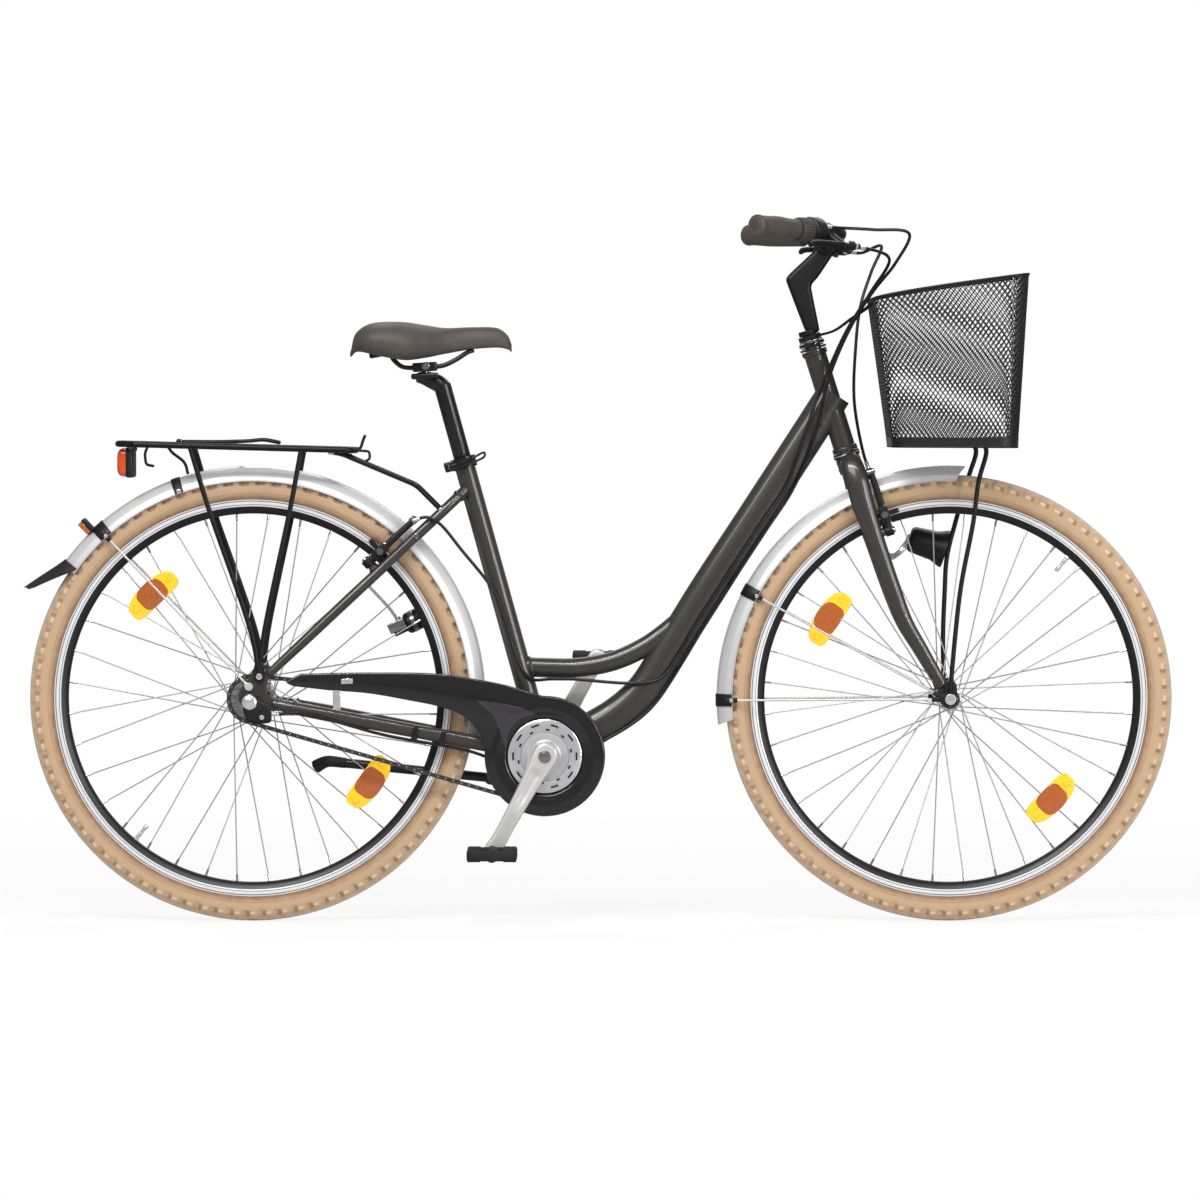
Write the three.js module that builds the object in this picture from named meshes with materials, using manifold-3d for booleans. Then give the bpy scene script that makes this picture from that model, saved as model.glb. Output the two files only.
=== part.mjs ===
// A step-through city bicycle with fenders, rear rack, front basket, dynamo lights and rim brakes.
// Lengths are in millimetres. +X points forwards, +Y to the rider's left and +Z up, and the
// origin is on the ground, midway between the rear end of the mudflap and the front of the tyre.

import * as THREE from "three";
import { mergeVertices } from "three/addons/utils/BufferGeometryUtils.js";
import Module from "manifold-3d";

const wasm = await Module();
wasm.setup();

// Driving dimensions

const gap = 0.3; // clearance between neighbours that touch
const overrun = 4; // how far a cutter reaches past what it cuts, and a joined piece into its seat

const wheel = { radius: 351, tyreWidth: 40, tyreWall: 3.5, tyreHeight: 42 };
const rim = { lip: 9, depth: 28, width: 25, flange: 1.5, trackHeight: 16, bedWidth: 10, bedDepth: 11 };
const valve = { radius: 3.5, length: 30 };
// places round a wheel, in degrees from straight ahead towards the top
const wheelTurns = {
  frontValve: 49.8, rearValve: 230.3, frontReflectors: [146.3, -44.5], rearReflectors: [134, -36],
  frontFender: [86, 186], rearFender: [-12, 145], frontStraps: [152, 185.5], rearStrap: 132,
  lampBlock: 133, rackStay: 109.5,
};
const beadRadius = wheel.radius - wheel.tyreHeight;
const rimRadius = beadRadius + rim.lip;
const rimBedRadius = rimRadius - rim.bedDepth;
const rimInnerRadius = rimRadius - rim.depth;
const spoke = { radius: 1, headSpread: 4, rimSpread: 2.4, flangeInset: 3 };
const reflector = { length: 79, height: 32, thickness: 9, offset: 9 };
const axle = { radius: 5, nutRadius: 9, nutThickness: 9, coneRadius: 8 };
const frontHub = {
  flangeRadius: 20, barrelRadius: 12, endRadius: 13.5, flangeOffset: 34.5, halfLength: 45, flange: 4,
};
const rearHub = {
  flangeRadius: 35, barrelRadius: 27, endRadius: 20, flangeOffset: 29, halfLength: 37, flange: 4,
};
const wheelPlaces = { rearAxleBack: 545.5, frontAxleAhead: 549.5 };

const head = {
  footX: 387, footZ: 738.7, length: 166.8, lean: 17.5, radius: 17.5, bore: 13.2, cupRadius: 20, cup: 8,
};
const steerer = {
  radius: 12.7, bore: 11.3, crownDepth: 20, raceRadius: 19.5, nutRadius: 17, nutStack: 24, floor: 40,
};
const blade = { deep: 18, wide: 11, spread: 40, tipSpread: 52.5, dropout: 5, dropoutHalf: 13 };
const brake = {
  pivotSpread: 40, pivotBelow: 26, padRise: 13, armLength: 102, armDeep: 13, armWide: 12,
  padLength: 44, padHeight: 7, padThickness: 9.2, padGap: 4, studRadius: 4, bossRadius: 6,
  hubRadius: 8, frontReach: 27, rearReach: 21, topSpreadShare: 0.93,
};
const fender = { radius: 365, width: 50, skirt: 22, sheet: 1.5, boltRadius: 4 };
const fenderStay = {
  radius: 1.8, strapWidth: 10, strap: 1.2, blockLength: 30, blockHeight: 22, blockThickness: 8,
};
const mudflap = { sheet: 2.5, width: 55, skirt: 24, tipRadius: 397 };

const bracket = { x: 85.9, z: 261.3, radius: 21, halfWidth: 34, bore: 9.4 };
const seatTube = { lean: 15.53, length: 482, radius: 16, bore: 13.9 };
const downTube = { deep: 25, wide: 20 };
const crossTube = { deep: 15.5, wide: 13 };
const chainStay = { tipRadius: 9, deep: 12, wide: 8, bridge: 8, bridgeX: 168 };
const seatStay = { radius: 8, topZ: 685, bridgeRadius: 6, footSpread: 64.5 };
const dropout = { inner: 62, sheet: 5, tall: 52, long: 45 };
const seatClamp = { radius: 20, height: 18, lug: 12 };
const seatPost = { radius: 13.6, inside: 95, topZ: 846 };
const clampHead = { back: 26, lift: 20, length: 44, width: 58, height: 26 };
const seatLever = { length: 52, width: 9, thickness: 5 };
const saddle = { tailX: 391.3, length: 253, width: 194, wingZ: 883, crownZ: 943 };
const rails = { radius: 3.5, spread: 22 };

const crank = {
  length: 170, angle: 28.7, wide: 6, deep: 11, tipDeep: 10, inner: 58, outer: 72, bossRadius: 17,
};
const chainLine = 43; // from the middle plane to the chain
const chainring = { pitchRadius: 76.9, thickness: 3, boreRadius: 46 };
const spider = { radius: 58, thickness: 3.5, inner: 46 };
const sprocket = { pitchRadius: 36.6, thickness: 3, bossRadius: 17 };
const chain = { height: 8, width: 7 };
const pedal = { length: 78, width: 96, height: 27, axleRadius: 5, sleeve: 10, start: 78, frame: 11 };
const guard = { offset: 50, sheet: 2, discRadius: 94, holeRadius: 60, tipX: 494, lug: 6 };
const stand = {
  pivotX: 172, pivotZ: 222.7, length: 256, radius: 7, spread: 43, foot: 20, toe: 26, lift: 26,
  knuckle: 10, post: 6,
};
const standDownShares = [0.15, 0.04, -0.8]; // where the leg points when it is down, in shares of its length
const gearBox = { length: 48, height: 48, depth: 20, start: 78 };

const bar = {
  x: 355, z: 1067, radius: 11.1, middle: 45, sweep: 112, halfWidth: 293, lift: 19, straight: 205,
};
const stem = {
  quillRadius: 11, quillFoot: 60, kneeZ: 273, wide: 14, deep: 13, clampRadius: 18.5, clampWidth: 42,
};
const grip = { radius: 16.5, deep: 15, rightLength: 95, leftLength: 134, cap: 6 };
const shifter = { radius: 20, length: 56 };
const lever = {
  mount: 166, collarRadius: 14.5, collar: 18, reach: 45, drop: 30, length: 90, wide: 4, deep: 7,
  barrel: 42, bodyRadius: 8,
};

const basket = {
  rearX: 426, frontX: 668, footRearX: 456, footFrontX: 652, topHalf: 168, footHalf: 134, footZ: 752,
  rearZ: 977, frontZ: 1015, wall: 3, corner: 30, hookRadius: 2,
};
const carrier = { radius: 4, spread: 60, eyelet: 3, eyeletRadius: 13 };
const headlight = {
  radius: 24, lensRadius: 29, length: 58, aim: 16.7, x: 493, y: 78, z: 600, armRadius: 4, lug: 5,
};
const rack = {
  rearX: 752, frontX: 384, z: 751, frontZ: 741, half: 60, rod: 5, leg: 3.5, foot: 3, footRadius: 8,
};
const clip = { frontX: 505, half: 24, rod: 3 };
const tailLight = { x: 757, depth: 27, halfWidth: 42, height: 48 };
const dynamo = {
  radius: 17, length: 66, rollerRadius: 12, roller: 14, angle: 25.5, inner: 258, y: 42, neck: 6, ear: 5,
};
const cable = { radius: 2.5, longSteps: 33, shortSteps: 17, around: 8 };

const tyreSteps = 28;
const spokeCount = 36;

// Finishes

const finishes = {
  frame: { color: 0x4b4646, roughness: 0.38, metalness: 0.35 },
  black: { color: 0x1b1a1b, roughness: 0.35, metalness: 0.1 },
  satinBlack: { color: 0x232122, roughness: 0.5, metalness: 0.4 },
  rubber: { color: 0x2a2727, roughness: 0.85, metalness: 0 },
  leather: { color: 0x575050, roughness: 0.75, metalness: 0 },
  tyre: { color: 0xb4916e, roughness: 0.9, metalness: 0 },
  silver: { color: 0xc9c9cb, roughness: 0.28, metalness: 1 },
  brushed: { color: 0xb9b5b2, roughness: 0.4, metalness: 1 },
  lens: { color: 0xd9581f, roughness: 0.2, metalness: 0 },
};

// Solids

const at = (x, y, z) => new THREE.Vector3(x, y, z);
const radians = (degrees) => (degrees * Math.PI) / 180;
const sideways = at(0, 1, 0);
const upwards = at(0, 0, 1);
const sides = [-1, 1]; // right, then left

function closedSolid(geometry) {
  const bare = geometry.clone();
  bare.deleteAttribute("normal");
  bare.deleteAttribute("uv");
  const merged = mergeVertices(bare);
  const points = merged.attributes.position.array;
  const corner = (k) => at(...points.slice(3 * k, 3 * k + 3));
  const faces = [];
  let volume = 0;
  for (let k = 0; k < merged.index.count; k += 3) {
    const [a, b, c] = merged.index.array.slice(k, k + 3);
    if (a === b || b === c || a === c) continue;
    faces.push([a, b, c]);
    volume += corner(a).dot(corner(b).cross(corner(c)));
  }
  const outward = volume < 0 ? faces.map(([a, b, c]) => [a, c, b]) : faces;
  return new wasm.Manifold(
    new wasm.Mesh({
      numProp: 3, vertProperties: new Float32Array(points), triVerts: new Uint32Array(outward.flat()),
    }),
  );
}

const joined = (...solids) => solids.flat().reduce((whole, next) => whole.add(next));
const without = (body, ...cutters) => cutters.flat().reduce(
  (rest, cutter) => rest.subtract(cutter), body,
);

function fromRings(rings, inner = null) {
  const count = rings[0].length;
  const all = inner ? [...rings, ...inner] : rings;
  const faces = [];
  const quad = (a, b, c, d) => faces.push(a, b, c, a, c, d);
  const wall = (first, reversed) => {
    for (let r = 0; r < rings.length - 1; r += 1) {
      for (let k = 0; k < count; k += 1) {
        const next = (k + 1) % count;
        const low = first + r * count;
        const high = low + count;
        if (reversed) quad(low + k, high + k, high + next, low + next);
        else quad(low + k, low + next, high + next, high + k);
      }
    }
  };
  wall(0, false);
  const last = (rings.length - 1) * count;
  if (inner) {
    const hollow = rings.length * count;
    wall(hollow, true);
    for (let k = 0; k < count; k += 1) {
      const next = (k + 1) % count;
      quad(k, hollow + k, hollow + next, next);
      quad(last + k, last + next, hollow + last + next, hollow + last + k);
    }
  } else {
    const along = rings[0].reduce(
      (sum, p, k) => sum.add(p.clone().cross(rings[0][(k + 1) % count])), at(0, 0, 0),
    );
    const across = rings[0][1].clone().sub(rings[0][0]).normalize();
    const up = along.normalize().clone().cross(across);
    const flat = rings[0].map((p) => new THREE.Vector2(p.dot(across), p.dot(up)));
    for (const [a, b, c] of THREE.ShapeUtils.triangulateShape(flat, [])) {
      faces.push(a, c, b, last + a, last + b, last + c);
    }
  }
  const geometry = new THREE.BufferGeometry();
  geometry.setAttribute(
    "position", new THREE.Float32BufferAttribute(all.flat().flatMap((p) => p.toArray()), 3),
  );
  geometry.setIndex(faces);
  return closedSolid(geometry);
}

// An oval tube through points. halves holds [across, other] half sizes, one pair or one for each point.
function tube(points, halves, count = 8, across = sideways, bore = 0) {
  const pairs = Array.isArray(halves[0]) ? halves : points.map(() => halves);
  const ring = (k, shrink) => {
    const ahead = points[Math.min(k + 1, points.length - 1)];
    const along = ahead.clone().sub(points[Math.max(k - 1, 0)]).normalize();
    const wide = across.clone().addScaledVector(along, -across.dot(along)).normalize();
    const deep = along.clone().cross(wide);
    return Array.from({ length: count }, (_, n) => {
      const turn = (2 * Math.PI * (n + 0.5)) / count;
      return points[k].clone()
        .addScaledVector(wide, (pairs[k][0] - shrink) * Math.cos(turn))
        .addScaledVector(deep, (pairs[k][1] - shrink) * Math.sin(turn));
    });
  };
  const rings = points.map((_, k) => ring(k, 0));
  return fromRings(rings, bore ? points.map((_, k) => ring(k, pairs[k][0] - bore)) : null);
}

const rod = (
  points, radius, count = 6, across = sideways,
) => tube(points, [radius, radius], count, across);
const smooth = (points, steps) =>
  new THREE.CatmullRomCurve3(points, false, "centripetal").getPoints(steps);

// A round cable along a smooth curve.
function wire(points, radius, steps, count = 6) {
  const section = new THREE.Shape(
    Array.from({ length: count }, (_, n) => {
      const turn = (2 * Math.PI * n) / count;
      return new THREE.Vector2(radius * Math.cos(turn), radius * Math.sin(turn));
    }),
  );
  const extrudePath = new THREE.CatmullRomCurve3(points, false, "centripetal");
  return closedSolid(new THREE.ExtrudeGeometry(section, { steps, extrudePath, bevelEnabled: false }));
}

// A solid of revolution about Y. The profile holds [radius, y] pairs.
function turned(profile, steps) {
  const closed = profile[0][0] === 0 ? profile : [...profile, profile[0]];
  return closedSolid(new THREE.LatheGeometry(closed.map(([r, y]) => new THREE.Vector2(r, y)), steps));
}

const pin = (radius, from, to, steps = 12) => turned(
  [[0, from], [radius, from], [radius, to], [0, to]], steps,
);

// Stands a solid made about Y up about Z.
const upright = (solid) => solid.rotate([90, 0, 0]);

// A flat sheet with its outline in X and Z, between two values of Y.
function sheet(outline, from, to, holes = []) {
  const shape = new THREE.Shape(outline.map(([x, z]) => new THREE.Vector2(x, z)));
  shape.holes = holes.map((hole) => new THREE.Path(hole.map(([x, z]) => new THREE.Vector2(x, z))));
  const geometry = new THREE.ExtrudeGeometry(shape, { depth: to - from, bevelEnabled: false });
  return closedSolid(geometry).rotate([90, 0, 0]).translate([0, to, 0]);
}

function block(low, high) {
  const size = high.clone().sub(low);
  const middle = low.clone().add(high).multiplyScalar(1 / 2);
  return closedSolid(new THREE.BoxGeometry(size.x, size.y, size.z)).translate(middle.toArray());
}

// The value that a table of [place, value] pairs gives at a place between two of its rows.
function between(table, place) {
  const next = Math.max(1, table.findIndex(([known]) => known >= place));
  const [[fromPlace, from], [toPlace, to]] = [table[next - 1], table[next]];
  return from + ((to - from) * (place - fromPlace)) / (toPlace - fromPlace);
}

const circle = (x, z, radius, steps) =>
  Array.from({ length: steps }, (_, k) => {
    const turn = (2 * Math.PI * k) / steps;
    return [x + radius * Math.cos(turn), z + radius * Math.sin(turn)];
  });

function piece(name, solid, finish, parent) {
  const mesh = solid.getMesh();
  const geometry = new THREE.BufferGeometry();
  const points = [];
  for (let k = 0; k < mesh.numVert; k += 1) {
    points.push(...mesh.vertProperties.slice(k * mesh.numProp, k * mesh.numProp + 3));
  }
  geometry.setAttribute("position", new THREE.Float32BufferAttribute(points, 3));
  geometry.setIndex(Array.from(mesh.triVerts));
  geometry.computeVertexNormals();
  const part = new THREE.Mesh(geometry, new THREE.MeshStandardMaterial({ ...finishes[finish], name }));
  part.name = name;
  parent.add(part);
  return part;
}

// Places shared by several pieces

const rearAxle = at(-wheelPlaces.rearAxleBack, 0, wheel.radius);
const frontAxle = at(wheelPlaces.frontAxleAhead, 0, wheel.radius);
const bracketCentre = at(-bracket.x, 0, bracket.z);
const headFoot = at(head.footX, 0, head.footZ);
const headUp = at(-Math.sin(radians(head.lean)), 0, Math.cos(radians(head.lean)));
const headAhead = at(headUp.z, 0, -headUp.x);
const alongHead = (x, y, z) =>
  headFoot.clone().addScaledVector(headAhead, x).addScaledVector(headUp, z).setY(y);
const inHead = (point) => {
  const from = point.clone().sub(headFoot);
  return at(from.dot(headAhead), point.y, from.dot(headUp));
};
const seatUp = at(-Math.sin(radians(seatTube.lean)), 0, Math.cos(radians(seatTube.lean)));
const alongSeat = (height) => bracketCentre.clone().addScaledVector(seatUp, height);
const barMiddle = at(bar.x, 0, bar.z);
const dropoutOuter = dropout.inner + dropout.sheet;

// The point where a line meets a circle about an axle, on the side that the line points to.
function meetCircle(start, direction, centre, radius) {
  const from = start.clone().sub(centre);
  const half = from.dot(direction);
  const reach = -half + Math.sqrt(half * half - from.lengthSq() + radius * radius);
  return start.clone().addScaledVector(direction, reach);
}

const group = new THREE.Group();
const placed = (position, turn = 0) => {
  const holder = new THREE.Group();
  holder.position.copy(position);
  holder.rotation.y = turn;
  group.add(holder);
  return holder;
};

// Wheels, each about its own axle

function tyreSolid() {
  const height = wheel.radius - beadRadius;
  const half = wheel.tyreWidth / 2;
  const bead = rim.width / 2 - rim.flange - gap;
  const sideShare = 0.55;
  const shoulderShare = 0.88;
  const shoulderWidthShare = 0.65;
  const beadShare = 0.5; // how far out the hollow starts, between the two beads
  const side = beadRadius + height * sideShare;
  const outer = [
    [beadRadius, bead], [rimRadius + 2 * gap, bead], [side, half],
    [beadRadius + height * shoulderShare, half * shoulderWidthShare],
  ];
  const inner = [[beadRadius, bead * beadShare], [side, half - wheel.tyreWall]];
  const mirrored = (points) => points.map(([r, y]) => [r, -y]).reverse();
  const profile = [
    ...outer, [wheel.radius, 0], ...mirrored(outer),
    ...mirrored(inner).reverse(), [wheel.radius - wheel.tyreWall, 0], ...inner.slice().reverse(),
  ];
  return turned(profile, tyreSteps);
}

function rimSolid(valveAngle) {
  const half = rim.width / 2;
  const track = rimRadius - rim.trackHeight;
  const outer = [[rimRadius, half], [track, half], [rimInnerRadius, rim.bedWidth / 2]];
  const inner = [[rimRadius, half - rim.flange], [rimBedRadius, half - rim.flange]];
  const mirrored = (points) => points.map(([r, y]) => [r, -y]).reverse();
  const body = turned(
    [...outer, ...mirrored(outer), ...mirrored(inner).reverse(), ...inner.slice().reverse()], tyreSteps,
  );
  const reach = [rimInnerRadius + overrun, rimInnerRadius - valve.length];
  const turn = radians(valveAngle);
  const stemEnds = reach.map((r) => at(r * Math.cos(turn), 0, r * Math.sin(turn)));
  return body.add(rod(stemEnds, valve.radius));
}

function hubProfile(hub) {
  const inner = hub.flangeOffset - hub.flange / 2;
  const outer = hub.flangeOffset + hub.flange / 2;
  const half = [
    [axle.radius + gap, hub.halfLength], [hub.endRadius, hub.halfLength], [hub.endRadius, outer],
    [hub.flangeRadius, outer], [hub.flangeRadius, inner], [hub.barrelRadius, inner],
  ];
  return [...half, ...half.map(([r, y]) => [r, -y]).reverse()];
}

// A hub, its crossed spokes and the reflectors that clip on them are one rigid body.
function spokedHub(hub, reflectorPlaces) {
  const crossing = 60;
  const quarterTurn = 0.25; // keeps the spoke holes clear of the valve
  const spacing = 720 / spokeCount;
  const rimReach = rimInnerRadius * Math.cos(Math.PI / tyreSteps) - gap;
  const hubReach = hub.flangeRadius - spoke.flangeInset;
  const polar = (radius, degrees, y) => at(
    radius * Math.cos(radians(degrees)), y, radius * Math.sin(radians(degrees)),
  );
  const wires = [];
  for (const side of sides) {
    for (let k = 0; k < spokeCount / 2; k += 1) {
      const leading = k % 2 ? -1 : 1;
      const start = (k + (side > 0 ? 0.5 : 0) + quarterTurn) * spacing;
      const headY = side * (hub.flangeOffset + (leading * spoke.headSpread) / 2);
      const ends = [
        polar(hubReach, start, headY),
        polar(rimReach, start + leading * crossing, side * spoke.rimSpread),
      ];
      wires.push(rod(ends, spoke.radius, 3));
    }
  }
  const clips = reflectorPlaces.map(([radius, degrees]) => {
    const half = at(reflector.height, reflector.thickness, reflector.length).multiplyScalar(1 / 2);
    return block(half.clone().negate(), half)
      .translate([radius, -reflector.offset, 0])
      .rotate([0, -degrees, 0]);
  });
  return joined(turned(hubProfile(hub), 10), wires, clips);
}

const frontWheel = placed(frontAxle);
const rearWheel = placed(rearAxle);
const reflectorRadius = 228;
piece("front_tyre", tyreSolid(), "tyre", frontWheel);
const reflectorSpots = (turns) => turns.map((degrees) => [reflectorRadius, degrees]);
piece("front_rim", rimSolid(wheelTurns.frontValve), "silver", frontWheel);
piece(
  "front_spokes", spokedHub(frontHub, reflectorSpots(wheelTurns.frontReflectors)), "silver",
  frontWheel,
);
piece("rear_tyre", tyreSolid(), "tyre", rearWheel);
piece("rear_rim", rimSolid(wheelTurns.rearValve), "silver", rearWheel);
piece(
  "rear_spokes", spokedHub(rearHub, reflectorSpots(wheelTurns.rearReflectors)), "silver",
  rearWheel,
);

// Axles

function frontAxleSolid() {
  const fork = blade.tipSpread - blade.dropout / 2;
  const outside = fork + blade.dropout + carrier.eyelet + 3 * gap;
  const cone = frontHub.halfLength + gap;
  const half = [
    [axle.radius, cone], [axle.coneRadius, cone],
    [axle.coneRadius, fork - gap], [axle.radius, fork - gap],
    [axle.radius, outside], [axle.nutRadius, outside], [axle.nutRadius, outside + axle.nutThickness],
    [0, outside + axle.nutThickness],
  ];
  return turned([...half.map(([r, y]) => [r, -y]).reverse(), ...half], 8);
}

function gearBoxSolid() {
  const shares = [
    [-0.31, -0.04], [-0.21, 0.15], [0, 0.21], [0.17, 0.19], [0.25, 0],
    [0.67, -0.17], [0.69, -0.75], [0.1, -0.79], [-0.17, -0.62],
  ];
  const outline = shares.map(([x, z]) => [x * gearBox.length, z * gearBox.height]);
  return sheet(outline, -gearBox.start - gearBox.depth, -gearBox.start);
}

function rearAxleSolid() {
  const right = chainLine + sprocket.bossRadius - overrun;
  const spacer = dropout.inner - gap;
  const nut = dropoutOuter + gap;
  const leftCone = rearHub.halfLength + gap;
  return turned([
    [0, -gearBox.start + gap], [
      axle.nutRadius, -gearBox.start + gap,
    ], [axle.nutRadius, -nut], [axle.radius, -nut],
    [axle.radius, -spacer], [axle.nutRadius, -spacer], [axle.nutRadius, -right], [axle.radius, -right],
    [axle.radius, leftCone], [axle.nutRadius, leftCone], [axle.nutRadius, spacer], [axle.radius, spacer],
    [axle.radius, nut], [axle.nutRadius, nut], [
      axle.nutRadius, nut + axle.nutThickness,
    ], [0, nut + axle.nutThickness],
  ], 8);
}

piece("front_axle", frontAxleSolid(), "silver", frontWheel);
piece("rear_axle", rearAxleSolid(), "silver", rearWheel);
piece("gear_box", gearBoxSolid(), "silver", rearWheel);

// Frame tubes. Each is cut back from the tube that it is welded to, which is grown by the gap.

const headFrame = placed(headFoot, -radians(head.lean));
const steerFrame = placed(headFoot, -radians(head.lean));

const seatTubeSolid = (grow, bore) => tube([alongSeat(0), alongSeat(seatTube.length)],
  [seatTube.radius + grow, seatTube.radius + grow], 12, sideways, bore);
const headEnvelope = upright(pin(head.radius + gap, -overrun, head.length + overrun, 12))
  .rotate([0, -head.lean, 0])
  .translate(headFoot.toArray());
const bracketEnvelope = pin(
  bracket.radius + gap, -2 * bracket.halfWidth, 2 * bracket.halfWidth, 16,
).translate(bracketCentre.toArray());

const topShare = 0.5; // where the down tube's middle line meets the head tube
const crossTubeStep = 8;
const crossTubeHeight = 144;

// The down tube leaves the head tube straight and turns back to the bottom bracket in one bend.
function downTubePath() {
  const top = alongHead(0, 0, head.length * topShare);
  const span = top.clone().sub(bracketCentre);
  const shares = [
    [1, 1], [0.825, 0.775], [0.645, 0.553], [0.5, 0.37], [0.385, 0.218], [0.313, 0.146], [0.197, 0.085],
    [0.055, 0.025],
  ];
  return smooth(shares.map(([x, z]) => bracketCentre.clone().add(at(span.x * x, 0, span.z * z))), 14);
}

const downTubePoints = downTubePath();
const downTubeSolid = (grow) => tube(downTubePoints, [downTube.wide + grow, downTube.deep + grow], 12);

function crossTubeSolid() {
  const seatEnd = alongSeat(crossTubeHeight);
  const meet = downTubePoints[crossTubeStep];
  const span = meet.clone().sub(seatEnd);
  const shares = [[0, 0], [0.5, 0], [0.77, 0.22], [1, 0.62]];
  const path = smooth(shares.map(([x, z]) => seatEnd.clone().add(at(span.x * x, 0, span.z * z))), 8);
  return without(
    tube(path, [crossTube.wide, crossTube.deep], 10), seatTubeSolid(gap, 0), downTubeSolid(gap),
  );
}

function headTubeSolid() {
  const length = head.length;
  const half = [
    [head.bore, 0], [head.cupRadius, 0], [head.cupRadius, head.cup],
    [head.radius, head.cup + overrun / 2],
  ];
  return upright(turned([...half, ...half.map(([r, z]) => [r, length - z]).reverse()], 12));
}

piece("head_tube", headTubeSolid(), "frame", headFrame);
piece("down_tube", without(downTubeSolid(0), headEnvelope, bracketEnvelope), "frame", group);
piece("cross_tube", crossTubeSolid(), "frame", group);
piece(
  "seat_tube", without(seatTubeSolid(0, seatTube.bore), bracketEnvelope, downTubeSolid(gap)), "frame",
  group,
);

function bracketShell() {
  const half = [[bracket.bore, bracket.halfWidth], [bracket.radius, bracket.halfWidth]];
  return turned(
    [...half, ...half.map(([r, y]) => [r, -y]).reverse()], 16,
  ).translate(bracketCentre.toArray());
}

// Stays, from the dropouts to the seat tube and the bottom bracket

const dropoutShares = [
  [0.14, 1], [0.55, 0.82], [0.7, 0.73], [0.5, 0.47], [0.51, 0.22], [0.75, 0.02], [1, -0.03],
  [1, -0.36], [0.4, -0.34], [-0.1, -0.33], [-0.44, -0.1], [-0.42, 0.27], [-0.13, 0.58],
];
const dropoutPoint = ([x, z]) => [rearAxle.x + x * dropout.long, rearAxle.z + z * dropout.tall];
const staySeat = at(rearAxle.x + 0.625 * dropout.long, 0, rearAxle.z + 0.775 * dropout.tall);
const staySeatTop = at(
  alongSeat(0).x - (seatStay.topZ - bracket.z) * Math.tan(radians(seatTube.lean)), 0, seatStay.topZ,
);
const stayUp = staySeatTop.clone().sub(staySeat).normalize();
const stayOut = at(-stayUp.z, 0, stayUp.x);
const stayLength = staySeatTop.distanceTo(staySeat);
const staySpreadShares = [[0, 1], [0.3, 0.86], [0.55, 0.65], [0.78, 0.56], [0.9, 0.44], [1, 0.22]];
const stayHalf = (share) => seatStay.footSpread * between(staySpreadShares, share);
const alongStay = (share, side = 0, out = 0) => staySeat.clone()
  .addScaledVector(stayUp, stayLength * share)
  .addScaledVector(stayOut, out)
  .setY(side * stayHalf(share));

const trackShare = 0.72; // the pivots are set out from the lower part of the brake track
const trackRadius = rimRadius - rim.trackHeight * trackShare;
const padCentre = (start, up, axleCentre) => meetCircle(start, up, axleCentre, trackRadius);
const rearPad = padCentre(alongStay(0, 0, brake.rearReach), stayUp, rearAxle);
const rearPivot = rearPad.clone().addScaledVector(stayUp, -brake.pivotBelow);
const frontPad = padCentre(alongHead(brake.frontReach, 0, -head.length), headUp, frontAxle);
const frontPivot = frontPad.clone().addScaledVector(headUp, -brake.pivotBelow);
const bossTop = brake.armDeep / 2 + gap;

function seatStaysSolid() {
  const startShare = (4 * gap) / stayLength;
  const endShare = 1 - seatStay.radius / 2 / stayLength;
  const steps = [startShare, ...staySpreadShares.slice(1, -1).map(([share]) => share), endShare];
  const pivotShare = rearPivot.clone().sub(staySeat).dot(stayUp) / stayLength;
  const bridgeAt = meetCircle(
    staySeat, stayUp, rearAxle, fender.radius + seatStay.bridgeRadius + overrun,
  );
  const bridgeShare = bridgeAt.distanceTo(staySeat) / stayLength;
  const reach = stayHalf(bridgeShare);
  const legs = sides.map((side) => tube(
    steps.map((share) => alongStay(share, side)), [seatStay.radius, seatStay.radius], 8,
  ));
  const bosses = sides.map((side) => rod(
    [
      alongStay(pivotShare, 0, 0), alongStay(pivotShare, 0, brake.rearReach - bossTop),
    ].map((p) => p.setY(side * brake.pivotSpread)),
    brake.bossRadius, 6));
  const bridge = rod(
    [bridgeAt.clone().setY(-reach), bridgeAt.clone().setY(reach)], seatStay.bridgeRadius, 8, upwards,
  );
  return without(joined(legs, bosses, bridge, dynamoArm()), seatTubeSolid(gap, 0));
}

// The dynamo hangs on an arm from the left seat stay. Its hinge lies across the wheel's radius.
const dynamoOut = at(Math.cos(radians(dynamo.angle)), 0, Math.sin(radians(dynamo.angle)));
const dynamoHinge = at(-dynamoOut.z, 0, dynamoOut.x);
const alongDynamo = (radius) => rearAxle.clone().addScaledVector(dynamoOut, radius).setY(dynamo.y);
const besideDynamo = (along) => alongDynamo(dynamo.inner).addScaledVector(dynamoHinge, along);
const dynamoArmShare = 0.5;

function dynamoArm() {
  const face = dynamo.ear + gap;
  const root = alongStay(dynamoArmShare, 1);
  const end = besideDynamo(face + dynamo.ear);
  const arm = rod([root, root.clone().lerp(end, dynamoArmShare), end], dynamo.ear, 6);
  return arm.add(rod([besideDynamo(face), end], dynamo.neck, 8));
}

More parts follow.
